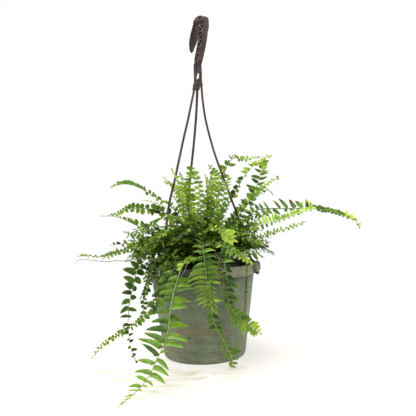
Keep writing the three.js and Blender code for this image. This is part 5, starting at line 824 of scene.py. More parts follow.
    "frond_right_back_upper": dict(near=[(0.1, 9), (0.5, 9.5), (0.85, 6), (1, 3)], gap=[(0, 7.5), (1, 5)], wide=0.5, shade=[(0, 0.38), (0.6, 0.5), (1, 0.85)], lift=12, jitter=1.5),
    "frond_top_middle_tall": dict(near=[(0.1, 9), (0.35, 13), (0.75, 12.5), (0.92, 9), (1, 5)], gap=[(0, 8), (0.8, 7.4), (1, 4)], wide=0.56, tail=0.25, shade=[(0, 0.32), (0.5, 0.56), (1, 0.88)], twist=16, jitter=2.2, lift=14),
    "frond_top_middle_left": dict(near=[(0.1, 8), (0.35, 11), (0.7, 10.5), (0.92, 8), (1, 5)], gap=[(0, 8), (0.8, 7.6), (1, 4.4)], wide=0.64, tail=0.15, shade=[(0, 0.32), (0.5, 0.58), (1, 0.86)], twist=18, jitter=2.4, lift=14),
    "frond_top_middle_right": dict(near=[(0.1, 9), (0.35, 12), (0.75, 12), (0.92, 8), (1, 5)], gap=[(0, 8), (0.8, 7.4), (1, 4.5)], wide=0.52, tail=0.35, shade=[(0, 0.28), (0.5, 0.52), (1, 0.85)], twist=14, jitter=2.0),
    "frond_top_left": dict(near=[(0.1, 10), (0.4, 11), (0.7, 9.5), (1, 6)], gap=[(0, 10), (0.8, 9), (1, 6)], wide=0.66, tail=0.12, shade=[(0, 0.34), (0.5, 0.62), (1, 0.88)], twist=18, tip=6, jitter=2.4, lift=14),
    "frond_top_far_left": dict(near=[(0.1, 8), (0.4, 10), (0.75, 9), (1, 6)], gap=[(0, 11), (0.8, 11.5), (1, 7)], wide=0.58, tail=0.15, shade=[(0, 0.42), (0.5, 0.68), (1, 0.92)], twist=20, tip=7, thick=(1.08, 0.55), stem=[(0, 0.2), (0.5, 0.7), (1, 1.0)], jitter=2.4),
    "frond_middle_left_a": dict(near=[(0.1, 9), (0.4, 12), (0.8, 11), (1, 6)], gap=[(0, 9), (1, 6.5)], wide=0.62, tail=0.15, shade=[(0, 0.08), (0.4, 0.26), (0.6, 0.6), (1, 0.78)], droop=0.3, twist=16, stem=[(0, 0.05), (0.5, 0.3), (1, 0.7)], jitter=2.3),
    "frond_middle_left_b": dict(near=[(0.1, 9), (0.4, 11), (0.8, 11), (1, 7)], gap=[(0, 9), (1, 7)], wide=0.72, tail=0.08, shade=[(0, 0.08), (0.5, 0.3), (1, 0.5)], droop=0.35, twist=20, stem=[(0, 0.05), (0.5, 0.25), (1, 0.6)], jitter=2.3),
    # kept very dark: painted shade, where this leaf lies in the shadow of the leaves around it
    "frond_middle_front": dict(near=[(0.1, 11), (0.4, 16), (0.8, 14), (1, 7)], gap=[(0, 9), (1, 5.5)], wide=0.46, tail=0.3, shade=[(0, 0.10), (0.5, 0.16), (1, 0.14)], droop=0.35, twist=20, tip=2.5, stem=[(0, 0.05), (1, 0.2)], jitter=2.4),
    "frond_back_left_tall": dict(near=[(0.1, 8), (0.4, 11), (0.8, 9), (1, 5)], gap=[(0, 8), (1, 5.5)], wide=0.58, tail=0.2, shade=[(0, 0.30), (0.5, 0.52), (1, 0.8)], jitter=2.0, twist=12),
    "frond_back_long_a": dict(near=[(0.06, 8), (0.25, 17), (0.65, 19), (0.88, 11), (1, 3.5)], gap=[(0, 9.5), (0.8, 9), (1, 4.5)], wide=0.38, tail=0.5, shade=[(0, 0.3), (0.5, 0.42), (1, 0.75)], droop=0.25, jitter=1.5),
    "frond_back_long_b": dict(near=[(0.06, 9), (0.25, 19), (0.65, 22), (0.86, 14), (1, 3.5)], gap=[(0, 10), (0.8, 10), (1, 4.5)], wide=0.36, tail=0.5, shade=[(0, 0.28), (0.5, 0.38), (1, 0.7)], droop=0.2, thick=(1.46, 0.55), jitter=1.5),
    "frond_back_long_c": dict(near=[(0.06, 8), (0.25, 14), (0.65, 14), (0.88, 9), (1, 3.5)], gap=[(0, 9), (0.8, 8.5), (1, 4.5)], wide=0.46, tail=0.3, shade=[(0, 0.32), (0.5, 0.45), (1, 0.78)], droop=0.25, jitter=1.5),
    "frond_back_right_long": dict(near=[(0.06, 8), (0.25, 16), (0.65, 17), (0.88, 10), (1, 3.5)], gap=[(0, 9), (0.8, 8.8), (1, 4.5)], wide=0.4, tail=0.45, shade=[(0, 0.3), (0.5, 0.46), (1, 0.8)], droop=0.25, jitter=1.5),
    "frond_back_right_low": dict(near=[(0.06, 8), (0.25, 12), (0.65, 12), (0.88, 8), (1, 3.5)], gap=[(0, 9.5), (0.8, 9), (1, 5)], wide=0.55, tail=0.2, shade=[(0, 0.28), (0.5, 0.4), (1, 0.7)], droop=0.3, jitter=1.5),
    "frond_back_tall_a": dict(near=[(0.1, 8), (0.35, 11), (0.75, 10), (1, 5)], gap=[(0, 8), (1, 5)], wide=0.58, tail=0.2, shade=[(0, 0.30), (0.5, 0.52), (1, 0.8)], jitter=2.0, twist=12),
    "frond_back_tall_b": dict(near=[(0.1, 9), (0.35, 12), (0.75, 11), (1, 5)], gap=[(0, 8), (1, 5)], wide=0.52, tail=0.25, shade=[(0, 0.30), (0.5, 0.54), (1, 0.8)], jitter=2.0, twist=12),
    "frond_back_middle": dict(near=[(0.08, 9), (0.3, 15), (0.7, 15), (0.9, 9), (1, 4)], gap=[(0, 9), (0.8, 8.5), (1, 4.5)], wide=0.42, shade=[(0, 0.3), (0.5, 0.44), (1, 0.72)], jitter=1.5),
    "frond_back_hanging_a": dict(near=[(0.08, 8), (0.3, 11), (0.7, 11), (0.9, 8), (1, 4)], gap=[(0, 9), (1, 6)], wide=0.62, tail=0.12, shade=[(0, 0.24), (0.5, 0.34), (1, 0.6)], jitter=1.5),
    "frond_back_hanging_b": dict(near=[(0.08, 8), (0.3, 13), (0.7, 12), (0.9, 8), (1, 4)], gap=[(0, 9), (1, 5)], wide=0.46, shade=[(0, 0.26), (0.5, 0.38), (1, 0.7)], droop=0.3, jitter=1.5),
    "frond_right_hanging": dict(near=[(0.08, 8), (0.3, 10), (0.7, 9), (1, 4)], gap=[(0, 8.5), (1, 5.5)], wide=0.6, tail=0.15, shade=[(0, 0.24), (0.6, 0.36), (1, 0.65)], jitter=1.5),
}


# leaflets placed one by one: (along the leaf 0-1, side, length, width, angle to the midrib, lift, shade, brown, bend, droop, twist)
OWN = {
    "frond_front_long": [
        (0.2108, 1, 31.2, 10.2, 167, -21, 0.56, 0, 0.3, 0.12, 0), (0.2157, -1, 12.1, 7.6, 65, 4, 0.86, 0, 0.15, 0.12, 0), (0.2402, -1, 8.2, 6.6, 55, 4, 0.88, 0, 0.15, 0.12, 0),
        (0.2892, -1, 18.1, 9.2, 73, 2, 0.34, 0, 0.15, 0.12, 0), (0.3039, 1, 22.9, 7.9, 115, 2, 0.5, 0, 0.15, 0.12, 0), (0.3284, -1, 20.4, 10, 88, 2, 0.32, 0, 0.15, 0.12, 0),
        (0.3333, 1, 28.5, 7.4, 112, 2, 0.36, 0, 0.15, 0.12, 0), (0.3627, -1, 26.6, 10.9, 87, 2, 0.3, 0, 0.15, 0.12, 0), (0.3627, 1, 32.9, 9.1, 120, 3, 0.46, 0, 0.15, 0.12, -16),
        (0.3971, 1, 35.7, 9.9, 87, 7, 0.6, 0, -0.25, 0.35, 20), (0.402, -1, 22.9, 10.8, 91, 2, 0.3, 0, 0.15, 0.12, 0), (0.4412, 1, 29.9, 10.7, 109, 2, 0.42, 0.25, 0.15, 0.12, -14),
        (0.4608, -1, 30.6, 10.7, 102, 2, 0.22, 0, 0.3, 0.12, 0), (0.4951, 1, 20.1, 14, 89, 2, 0.34, 0, 0.15, 0.12, 0), (0.5049, -1, 30.5, 10.6, 97, 2, 0.18, 0, 0.15, 0.12, 0),
        (0.5294, 1, 34.9, 9.3, 102, 3, 0.62, 0, 0.15, 0.12, 18), (0.549, -1, 40, 11, 98, 3, 0.2, 0, 0.15, 0.12, 0), (0.5784, 1, 37.5, 11.3, 93, 3, 0.46, 0, 0.15, 0.12, 12),
        (0.6078, -1, 40.9, 11.2, 112, 4, 0.22, 0, 0.15, 0.12, 0), (0.6176, 1, 34.7, 9.1, 100, 4, 0.46, 0, 0.15, 0.12, 0), (0.6373, -1, 45.7, 10.7, 102, 4, 0.32, 0, 0.15, 0.12, 0),
        (0.6667, 1, 13.9, 5.7, 131, 5, 0.34, 0, 0.15, 0.12, 0), (0.6814, -1, 38.9, 9, 114, 4, 0.2, 0, 0.15, 0.12, 0), (0.701, 1, 28.6, 8.1, 75, 4, 0.46, 0, 0.15, 0.12, 0),
        (0.7206, -1, 33.3, 9.7, 99, 4, 0.42, 0, 0.15, 0.12, 0), (0.7402, 1, 31.6, 9.2, 81, 4, 0.48, 0, 0.15, 0.12, 0), (0.7696, -1, 28.2, 9.2, 98, 4, 0.45, 0, 0.3, 0.12, 0),
        (0.7794, 1, 30.8, 9.1, 86, 5, 0.5, 0, 0.15, 0.12, 0), (0.8137, -1, 20.7, 7.5, 95, 5, 0.46, 0, 0.15, 0.12, 0), (0.8186, 1, 16.3, 6.7, 83, 5, 0.5, 0, 0.15, 0.12, 0),
        (0.848, 1, 10.4, 5, 99, 5, 0.55, 0, 0.15, 0.12, 0), (0.8529, -1, 19.8, 6.6, 78, 5, 0.46, 0, 0.4, 0.12, 0), (0.8775, -1, 14.8, 5, 55, 7, 0.55, 0, 0.15, 0.12, 0),
        (0.8824, 1, 7.3, 3.8, 124, 6, 0.6, 0, 0.15, 0.12, 0), (0.9118, -1, 12.4, 4.2, 39, 10, 0.6, 0, 0.15, 0.12, 0), (0.9167, 1, 5.7, 3, 143, 7, 0.7, 0, 0.15, 0.12, 0),
        (0.9363, -1, 10.9, 3.4, 33, 12, 0.7, 0, 0.15, 0.12, 0), (0.9412, 1, 4.9, 2.4, 137, 7, 0.75, 0, 0.15, 0.12, 0), (0.9608, -1, 8.7, 2.6, 25, 18, 0.75, 0, 0.15, 0.12, 0),
        (0.9657, 1, 3.6, 2, 134, 6, 0.85, 0, 0.15, 0.12, 0), (0.9804, 1, 2.5, 1.7, 124, 6, 0.9, 0, 0.15, 0.12, 0),
    ],
    "frond_left_hanging": [
        (0.175, 1, 7.1, 6.8, 122, -1, 0.41, 0, 0.15, 0.12, 0), (0.2062, -1, 11.6, 7.8, 72, -1, 0.35, 0, 0.15, 0.12, 0), (0.2375, 1, 10.9, 7.8, 159, -1, 0.45, 0, 0.15, 0.12, 0),
        (0.25, -1, 14.3, 8.9, 103, -1, 0.33, 0, 0.15, 0.12, 0), (0.275, 1, 13.2, 9.4, 108, -1, 0.35, 0, 0.15, 0.12, 0), (0.3187, 1, 15.7, 11.3, 118, 0, 0.29, 0, 0.15, 0.12, 0),
        (0.3312, -1, 13.3, 9.3, 110, 0, 0.29, 0, 0.15, 0.12, 0), (0.3563, 1, 21.3, 10.8, 116, 0, 0.23, 0, 0.15, 0.12, 0), (0.3688, -1, 15, 12.4, 94, 0, 0.21, 0, 0.15, 0.12, 0),
        (0.3875, 1, 26.3, 12.9, 98, 0, 0.23, 0, 0.15, 0.12, 0), (0.4188, -1, 15.6, 11.9, 63, -1, 0.27, 0, 0.15, 0.12, 0), (0.45, 1, 23.1, 11.3, 118, 0, 0.21, 0, 0.15, 0.12, 0),
        (0.475, -1, 10.9, 9.7, 37, -1, 0.17, 0, 0.15, 0.12, 0), (0.4875, 1, 17.2, 12.9, 113, 0, 0.18, 0, 0.15, 0.12, 0), (0.525, 1, 18, 9.7, 89, 0, 0.25, 0, 0.15, 0.12, 0),
        (0.5563, -1, 11, 9.7, 111, 0, 0.25, 0, 0.15, 0.12, 0), (0.575, 1, 17.4, 9.7, 72, 0, 0.25, 0, 0.3, 0.12, 0), (0.6188, 1, 19.5, 10.3, 49, -1, 0.31, 0, -0.3, 0.5, 0),
        (0.6312, -1, 15.7, 7.7, 79, 0, 0.29, 0, -0.3, 0.4, 0), (0.6813, -1, 6.1, 5.6, 85, 0, 0.25, 0, 0.15, 0.12, 0), (0.6813, 1, 15.4, 6.2, 93, 0, 0.2, 0.5, 0.15, 0.12, 0),
        (0.7375, 1, 10.1, 6.7, 92, 0, 0.15, 1, 0.15, 0.12, 0), (0.7438, -1, 6.4, 4.6, 109, 0, 0.15, 1, 0.15, 0.12, 0), (0.7625, 1, 8.2, 6.7, 68, 0, 0.15, 1, 0.15, 0.12, 0),
        (0.8125, -1, 9.2, 5.1, 115, 0, 0.25, 0, 0.15, 0.12, 0), (0.8375, 1, 5, 4.1, 70, 0, 0.2, 0, 0.15, 0.12, 0), (0.8562, -1, 8.1, 5.6, 119, 0, 0.25, 0, 0.15, 0.12, 0),
        (0.8875, 1, 6.7, 4.6, 69, -1, 0.2, 0, 0.15, 0.12, 0), (0.9125, -1, 12, 6.6, 84, 0, 0.3, 0, 0.15, 0.12, 0), (0.9437, -1, 6.3, 5.1, 64, -1, 0.2, 0.8, 0.15, 0.12, 0),
        (0.9563, 1, 4.6, 3.6, 97, 0, 0.15, 0, 0.15, 0.12, 0), (0.9938, -1, 4.5, 3.6, 32, -1, 0.15, 0.9, 0.15, 0.12, 0),
    ],
    "frond_front_middle": [
        (0.3302, -1, 13.5, 5.5, 74, 71, 0.2, 0, 0.05, 0.42, 0), (0.3302, 1, 14.5, 5.5, 71, 70, 0.24, 0, 0.05, 0.42, 0), (0.3585, 1, 19.6, 6.1, 127, 24, 0.26, 0, 0.05, 0.42, 0),
        (0.3679, -1, 29.3, 6.4, 137, 28, 0.46, 0, 0.05, 0.42, 0), (0.4151, 1, 20.4, 6.7, 103, 16, 0.3, 0, 0.05, 0.42, 0), (0.434, -1, 19.5, 6.7, 115, 16, 0.32, 0, 0.05, 0.42, 0),
        (0.4811, -1, 21.2, 6.9, 105, 11, 0.32, 0, 0.05, 0.42, 0), (0.4811, 1, 22.6, 6.7, 107, 12, 0.3, 0, 0.05, 0.42, 0), (0.5377, 1, 21.9, 6.7, 103, 9, 0.32, 0, 0.05, 0.42, 0),
        (0.5472, -1, 20.4, 6.9, 94, 8, 0.3, 0, 0.05, 0.42, 0), (0.5943, 1, 26.5, 6.8, 100, 6, 0.34, 0, 0.05, 0.42, 0), (0.6038, -1, 25.2, 6.8, 86, 6, 0.34, 0, 0.05, 0.42, 0),
        (0.6415, 1, 31.6, 6.8, 97, 5, 0.38, 0, 0.05, 0.42, 0), (0.6509, -1, 31.9, 6.6, 91, 4, 0.38, 0, 0.05, 0.42, 0), (0.6887, 1, 31.3, 6.6, 96, 4, 0.4, 0, 0.05, 0.42, 0),
        (0.6981, -1, 35.1, 6.4, 99, 4, 0.4, 0, 0.05, 0.42, 0), (0.7358, -1, 36.8, 6.1, 98, 3, 0.42, 0, 0.05, 0.42, 0), (0.7358, 1, 32.4, 6.1, 97, 3, 0.42, 0, 0.05, 0.42, 0),
        (0.783, -1, 30.6, 5.7, 102, 2, 0.44, 0, 0.05, 0.42, 0), (0.783, 1, 33.8, 5.3, 96, 1, 0.92, 0, 0.1, 0.3, 0), (0.8302, -1, 27, 5.5, 106, 1, 0.46, 0, 0.05, 0.42, 0),
        (0.8491, 1, 18.6, 5.5, 106, 1, 0.48, 0, 0.05, 0.42, 0), (0.8679, -1, 25.7, 5.5, 109, 1, 0.48, 0, 0.05, 0.42, 0), (0.8868, 1, 16.7, 5.3, 105, 1, 0.5, 0, 0.05, 0.42, 0),
        (0.8962, -1, 20.6, 5.3, 105, 1, 0.52, 0, 0.05, 0.42, 0), (0.9245, 1, 18.5, 5, 87, 0, 0.6, 0, 0.05, 0.42, 0), (0.934, -1, 24, 5, 112, 0, 0.58, 0, 0.05, 0.42, 0),
        (0.9528, 1, 19.4, 4.8, 80, 0, 0.78, 0, 0.05, 0.42, 0), (0.9623, -1, 21.7, 4.8, 105, 0, 0.66, 0, 0.05, 0.42, 0), (0.9717, 1, 25.3, 3.9, 100, 0, 0.9, 0, 0.05, 0.42, 0),
        (0.9811, -1, 15.5, 4.4, 85, 0, 0.82, 0, 0.05, 0.42, 0), (0.9906, -1, 11, 3.9, 40, 0, 0.88, 0, 0.05, 0.42, 0), (0.9906, 1, 16.1, 4.4, 70, 0, 0.92, 0, 0.05, 0.42, 0),
        (1, 1, 9.2, 4.4, 23, 1, 0.9, 0, 0.05, 0.42, 0),
    ],
    "frond_front_low": [
        (0.5752, -1, 14.2, 6.5, 59, -1, 0.27, 0, 0.15, 0.12, 0), (0.5817, 1, 14.3, 7.4, 64, -1, 0.21, 0, 0.15, 0.12, 0), (0.6275, -1, 14.7, 7.4, 87, -2, 0.31, 0, 0.15, 0.12, 0),
        (0.6405, 1, 13.7, 7.5, 88, -2, 0.23, 0, 0.15, 0.12, 0), (0.6667, -1, 14.2, 7.5, 92, -2, 0.31, 0, 0.15, 0.12, 0), (0.6732, 1, 12.7, 7.5, 73, -2, 0.25, 0, 0.15, 0.12, 0),
        (0.6993, -1, 13.2, 6.6, 89, -2, 0.31, 0, 0.15, 0.12, 0), (0.7124, 1, 10.1, 6.6, 67, -2, 0.29, 0, 0.15, 0.12, 0), (0.7451, -1, 9.8, 5.7, 74, -2, 0.29, 0, 0.15, 0.12, 0),
        (0.7582, 1, 9.2, 5.8, 58, -3, 0.33, 0, 0.15, 0.12, 0), (0.7908, -1, 15.9, 7.1, 42, -4, 0.33, 0, 0.15, 0.12, 0), (0.8039, 1, 17.9, 7.1, 75, -2, 0.35, 0, 0.15, 0.12, 0),
        (0.8301, -1, 13.5, 7.6, 60, -2, 0.35, 0, 0.15, 0.12, 0), (0.8562, 1, 15.9, 8.5, 87, -2, 0.37, 0, 0.15, 0.12, 0), (0.8824, -1, 14.8, 8.1, 69, -3, 0.37, 0, 0.15, 0.12, 0),
        (0.8954, 1, 21.6, 8.5, 90, -2, 0.39, 0, 0.15, 0.12, 0), (0.9216, -1, 8.7, 6.7, 74, -2, 0.43, 0, 0.15, 0.12, 0), (0.9346, 1, 12, 6.7, 90, -1, 0.45, 0, 0.15, 0.12, 0),
        (0.9608, -1, 11.1, 6.3, 56, -1, 0.53, 0, 0.15, 0.12, 0), (0.9673, 1, 9.7, 5.8, 80, -1, 0.53, 0, 0.15, 0.12, 0), (0.9869, -1, 8.9, 5, 54, -1, 0.63, 0, 0.15, 0.12, 0),
        (0.9935, 1, 5.4, 4.1, 61, -1, 0.63, 0, 0.15, 0.12, 0),
    ],
    "frond_front_short": [
        (0.4805, 1, 15, 7.6, 99, 5, 0.1, 0, 0.15, 0.12, 0), (0.5325, -1, 6.8, 5.8, 111, 4, 0.14, 0, 0.15, 0.12, 0), (0.5325, 1, 13.1, 7.6, 75, 4, 0.1, 0, 0.15, 0.12, 0),
        (0.5844, 1, 12.1, 7.6, 73, 2, 0.14, 0, 0.15, 0.12, 0), (0.6234, -1, 8.4, 5.8, 82, 2, 0.16, 0, 0.15, 0.12, 0), (0.6753, -1, 10, 5.8, 77, 2, 0.18, 0, 0.15, 0.12, 0),
        (0.6753, 1, 16, 8, 68, 2, 0.18, 0, 0.15, 0.12, 0), (0.7532, -1, 10, 5.8, 87, 1, 0.2, 0, 0.15, 0.12, 0), (0.7662, 1, 19.8, 8.4, 74, 1, 0.18, 0, 0.15, 0.12, 0),
        (0.8312, -1, 11.4, 5.7, 68, 1, 0.24, 0, 0.15, 0.12, 0), (0.8442, 1, 13.6, 8.4, 65, 1, 0.2, 0, 0.15, 0.12, 0), (0.9091, -1, 10.4, 5.7, 59, 1, 0.28, 0, 0.15, 0.12, 0),
        (0.9221, 1, 20.9, 7.5, 68, 1, 0.24, 0, 0.15, 0.12, 0), (0.987, -1, 11.9, 5.7, 53, 1, 0.34, 0, 0.15, 0.12, 0), (1, 1, 8.9, 4.8, 55, 1, 0.1, 1, 0.15, 0.12, 0),
        (1, 1, 11.5, 4.4, 50, 1, 0.1, 1, 0.15, 0.12, 0), (1, 1, 14.8, 4.4, 86, 1, 0.34, 0, 0.15, 0.12, 0),
    ],
    "frond_front_right_bright": [
        (0.6815, -1, 9.8, 7.1, 48, -1, 0.31, 0, 0.15, 0.12, 0), (0.6815, 1, 8.9, 7.6, 88, -1, 0.33, 0, 0.15, 0.12, 0), (0.7111, -1, 14.7, 8.2, 53, -1, 0.35, 0, 0.15, 0.12, 0),
        (0.7185, 1, 14.2, 9.9, 84, -1, 0.33, 0, 0.15, 0.12, 0), (0.7333, -1, 23.1, 9.2, 53, -1, 0.38, 0, 0.15, 0.12, 0), (0.763, 1, 16.4, 9.9, 74, -1, 0.35, 0, 0.15, 0.12, 0),
        (0.7704, -1, 21.1, 9.2, 60, -1, 0.43, 0, 0.15, 0.12, 0), (0.8, -1, 24.8, 9, 59, -2, 0.51, 0, 0.15, 0.12, 0), (0.8, 1, 16.5, 9.4, 64, -2, 0.37, 0, 0.15, 0.12, 0),
        (0.837, -1, 28, 8.8, 59, -2, 0.67, 0, 0.15, 0.12, 0), (0.8444, 1, 13.6, 8.2, 73, -2, 0.41, 0, 0.15, 0.12, 0), (0.8741, -1, 17.5, 8.2, 58, -2, 0.49, 0, 0.15, 0.12, 0),
        (0.8815, 1, 13.6, 7.8, 79, -1, 0.59, 0, 0.15, 0.12, 0), (0.9037, -1, 18.6, 7.8, 54, -2, 0.75, 0, 0.15, 0.12, 0), (0.9111, 1, 15.7, 7.1, 83, -1, 0.79, 0, 0.15, 0.12, 0),
        (0.9407, -1, 15.1, 7.2, 60, -2, 0.77, 0, 0.15, 0.12, 0), (0.9407, 1, 11.6, 6.6, 82, -1, 0.85, 0, 0.15, 0.12, 0), (0.9704, -1, 8.7, 5.5, 73, -1, 0.89, 0, 0.15, 0.12, 0),
        (0.9704, 1, 7.9, 5, 85, -1, 0.91, 0, 0.15, 0.12, 0), (0.9926, -1, 5.3, 3.9, 10, -32, 0.93, 0, 0.15, 0.12, 0),
    ],
    "frond_left_arch_upper": [
        (0.4468, 1, 9.2, 5.9, 25, 3, 0.55, 0, 0.1, 0.05, 0), (0.4752, -1, 10.3, 6.9, 7, 104, 0.66, 0, 0.1, 0.05, 0), (0.4965, -1, 9.3, 6, 70, -9, 0.55, 0, 0.1, 0.05, 0),
        (0.5177, 1, 9.5, 6.4, 26, 3, 0.55, 0, 0.1, 0.05, 0), (0.539, -1, 9, 6, 57, -10, 0.64, 0, 0.1, 0.05, 0), (0.5674, 1, 9.4, 8.4, 24, 4, 0.84, 0, 0.1, 0.05, 0),
        (0.5887, -1, 6.9, 6.4, 20, 5, 0.76, 0, 0.1, 0.05, 0), (0.6028, 1, 8.2, 4.4, 93, 5, 0.32, 0.6, 0.1, 0.05, 0), (0.6312, 1, 8.8, 7.2, 68, 1, 0.55, 0, 0.1, 0.05, 0),
        (0.6525, -1, 7.2, 7.2, 89, -8, 0.4, 0, 0.1, 0.05, 0), (0.6738, 1, 7, 6.4, 28, 3, 0.55, 0, 0.1, 0.05, 0), (0.695, 1, 9.1, 3.6, 98, 5, 0.37, 0.5, 0.1, 0.05, 0),
        (0.7092, 1, 7, 6, 64, 1, 0.51, 0, 0.1, 0.05, 0), (0.7305, 1, 7.5, 6.4, 59, 2, 0.48, 0, 0.1, 0.05, 0), (0.7447, 1, 9.6, 7.2, 66, 1, 0.49, 0, 0.1, 0.05, 0),
        (0.766, 1, 8.7, 7.3, 66, 1, 0.51, 0, 0.1, 0.05, 0), (0.7872, 1, 10.4, 7.7, 76, 1, 0.55, 0, 0.1, 0.05, 0), (0.8085, 1, 10, 7.7, 77, 1, 0.57, 0, 0.1, 0.05, 0),
        (0.8298, 1, 9.8, 7.7, 80, 1, 0.62, 0, 0.1, 0.05, 0), (0.8511, 1, 9.4, 7.7, 81, 1, 0.64, 0, 0.1, 0.05, 0), (0.8652, 1, 9, 7.3, 78, 1, 0.67, 0, 0.1, 0.05, 0),
        (0.8865, 1, 7.9, 6.5, 83, 1, 0.69, 0, 0.1, 0.05, 0), (0.9078, 1, 7.2, 6.1, 87, 1, 0.75, 0, 0.1, 0.05, 0), (0.9291, 1, 9.5, 6.5, 103, 1, 0.8, 0, 0.1, 0.05, 0),
        (0.9433, 1, 6.8, 4.9, 143, 2, 0.75, 0, 0.1, 0.05, 0), (0.9645, 1, 5.5, 5.3, 103, 1, 0.86, 0, 0.1, 0.05, 0), (0.9787, 1, 4.9, 4.9, 14, 9, 0.91, 0, 0.1, 0.05, 0),
    ],
    "frond_left_arch_middle": [
        (0.4872, 1, 13.2, 9.9, 59, 1, 0.44, 0, 0.05, 0.05, 0), (0.5299, 1, 11.4, 10.2, 74, 1, 0.46, 0, 0.05, 0.05, 0), (0.547, -1, 12.9, 6.4, 140, 2, 0.16, 0, 0.05, 0.05, 0),
        (0.5726, 1, 12.9, 11.7, 80, 1, 0.46, 0, 0.05, 0.05, 0), (0.5812, -1, 14, 6.8, 141, 2, 0.12, 0, 0.05, 0.05, 0), (0.5897, -1, 14, 7.9, 103, 1, 0.46, 0, 0.05, 0.05, 0),
        (0.6154, -1, 12.8, 6, 139, 2, 0.14, 0, 0.05, 0.05, 0), (0.6239, -1, 14, 6.4, 102, 1, 0.68, 0, 0.05, 0.05, 0), (0.6325, 1, 10.5, 8.7, 82, 1, 0.44, 0, 0.05, 0.05, 0),
        (0.6752, -1, 14, 9.1, 91, 1, 0.76, 0, 0.05, 0.05, 0), (0.6838, 1, 10.6, 9.2, 88, 1, 0.42, 0, 0.05, 0.05, 0), (0.7179, -1, 11.8, 8.3, 82, 1, 0.72, 0, 0.05, 0.05, 0),
        (0.7265, 1, 11.6, 8.8, 95, 1, 0.38, 0, 0.05, 0.05, 0), (0.7692, -1, 8.9, 9, 68, 1, 0.7, 0, 0.05, 0.05, 0), (0.7692, 1, 13.7, 7.9, 102, 1, 0.44, 0, 0.05, 0.05, 0),
        (0.8034, 1, 12.4, 6.4, 106, 1, 0.42, 0, 0.05, 0.05, 0), (0.8205, -1, 6.6, 7.9, 54, 2, 0.74, 0, 0.05, 0.05, 0), (0.8291, 1, 10.6, 6, 97, 1, 0.46, 0, 0.05, 0.05, 0),
        (0.8547, 1, 6.6, 5.3, 88, 1, 0.6, 0, 0.05, 0.05, 0), (0.8632, -1, 7.1, 5.3, 51, 2, 0.86, 0, 0.05, 0.05, 0), (0.8803, 1, 5.7, 4.1, 82, 1, 0.74, 0, 0.05, 0.05, 0),
        (0.8889, -1, 7.4, 4.5, 55, 1, 0.88, 0, 0.05, 0.05, 0), (0.906, 1, 5.3, 3.4, 72, 1, 0.4, 0.5, 0.05, 0.05, 0), (0.9145, -1, 6.9, 3.7, 61, 1, 0.84, 0, 0.05, 0.05, 0),
        (0.9402, 1, 4.1, 3.4, 50, 2, 0.7, 0, 0.05, 0.05, 0), (0.9658, 1, 4, 3.7, 31, 3, 0.6, 0, 0.05, 0.05, 0),
    ],
    "frond_left_arch_lower": [
        (0.3889, -1, 8.4, 7, 68, -24, 0.48, 0, 0.05, 0.05, 0), (0.4074, 1, 12.6, 9, 72, 16, 0.39, 0, 0.05, 0.05, 0), (0.4444, -1, 9.5, 6.6, 28, -4, 0.44, 0, 0.05, 0.05, 0),
        (0.463, 1, 16.1, 8.6, 80, 16, 0.42, 0, 0.05, 0.05, 0), (0.4907, 1, 15.5, 3.5, 77, 16, 0.22, 0.9, 0.05, 0.05, 0), (0.5278, 1, 17.2, 8.6, 77, 22, 0.48, 0, 0.05, 0.05, 0),
        (0.5463, -1, 7.7, 5.1, 34, -4, 0.48, 0, 0.05, 0.05, 0), (0.5926, 1, 16.5, 8.2, 72, 16, 0.56, 0, 0.05, 0.05, 0), (0.6296, 1, 8.1, 6.7, 74, 16, 0.44, 0, 0.05, 0.05, 0),
        (0.6574, 1, 10.6, 8.6, 69, 16, 0.53, 0, 0.05, 0.05, 0), (0.6852, 1, 10, 8.2, 62, 2, 0.53, 0, 0.05, 0.05, 0), (0.7222, 1, 9.5, 6.7, 45, 3, 0.51, 0, 0.05, 0.05, 0),
        (0.7778, 1, 8.6, 5.1, 48, 3, 0.65, 0, 0.05, 0.05, 0), (0.8241, 1, 8.8, 4.3, 62, 2, 0.7, 0, 0.05, 0.05, 0), (0.8611, 1, 8.5, 3.9, 60, 2, 0.74, 0, 0.05, 0.05, 0),
    ],
    "frond_left_short": [
        (0.6486, 1, 11.6, 6.3, 89, 16, 0.56, 0, 0.2, 0.05, 0), (0.6622, -1, 11.2, 6.3, 154, -3, 0.53, 0, 0.2, 0.05, 0), (0.7297, -1, 10.9, 5.9, 154, 3, 0.56, 0, 0.2, 0.05, 0),
        (0.7297, 1, 11.5, 6.3, 95, 15, 0.53, 0, 0.2, 0.05, 0), (0.7838, 1, 12.1, 5.9, 96, 10, 0.49, 0, 0.2, 0.05, 0), (0.8108, -1, 12.3, 5.5, 164, 3, 0.55, 0, 0.2, 0.05, 0),
        (0.8514, 1, 11.3, 5.5, 115, 6, 0.56, 0, 0.2, 0.05, 0), (0.8919, -1, 16.1, 5.1, 152, 2, 0.49, 0, 0.2, 0.05, 0), (0.8919, 1, 9.3, 4.8, 96, 10, 0.49, 0, 0.2, 0.05, 0),
        (0.9189, -1, 13.1, 2.9, 93, -7, 0.65, 0, 0.2, 0.05, 0), (0.9324, 1, 7.4, 3.7, 68, 6, 0.48, 0, 0.2, 0.05, 0), (0.9595, 1, 5.3, 2.6, 24, 7, 0.56, 0.4, 0.2, 0.05, 0),
    ],
    "frond_left_long": [
        (0.376, -1, 11.1, 8, 100, -31, 0.44, 0, 0.1, 0.05, 0), (0.384, 1, 10.7, 8.3, 97, 33, 0.65, 0, 0.1, 0.05, 0), (0.424, -1, 11, 7.6, 95, -31, 0.48, 0, 0.1, 0.05, 0),
        (0.424, 1, 9.9, 8.3, 100, 33, 0.7, 0, 0.1, 0.05, 0), (0.464, -1, 9.7, 6.8, 93, -31, 0.49, 0, 0.1, 0.05, 0), (0.464, 1, 9, 7.9, 98, 33, 0.67, 0, 0.1, 0.05, 0),
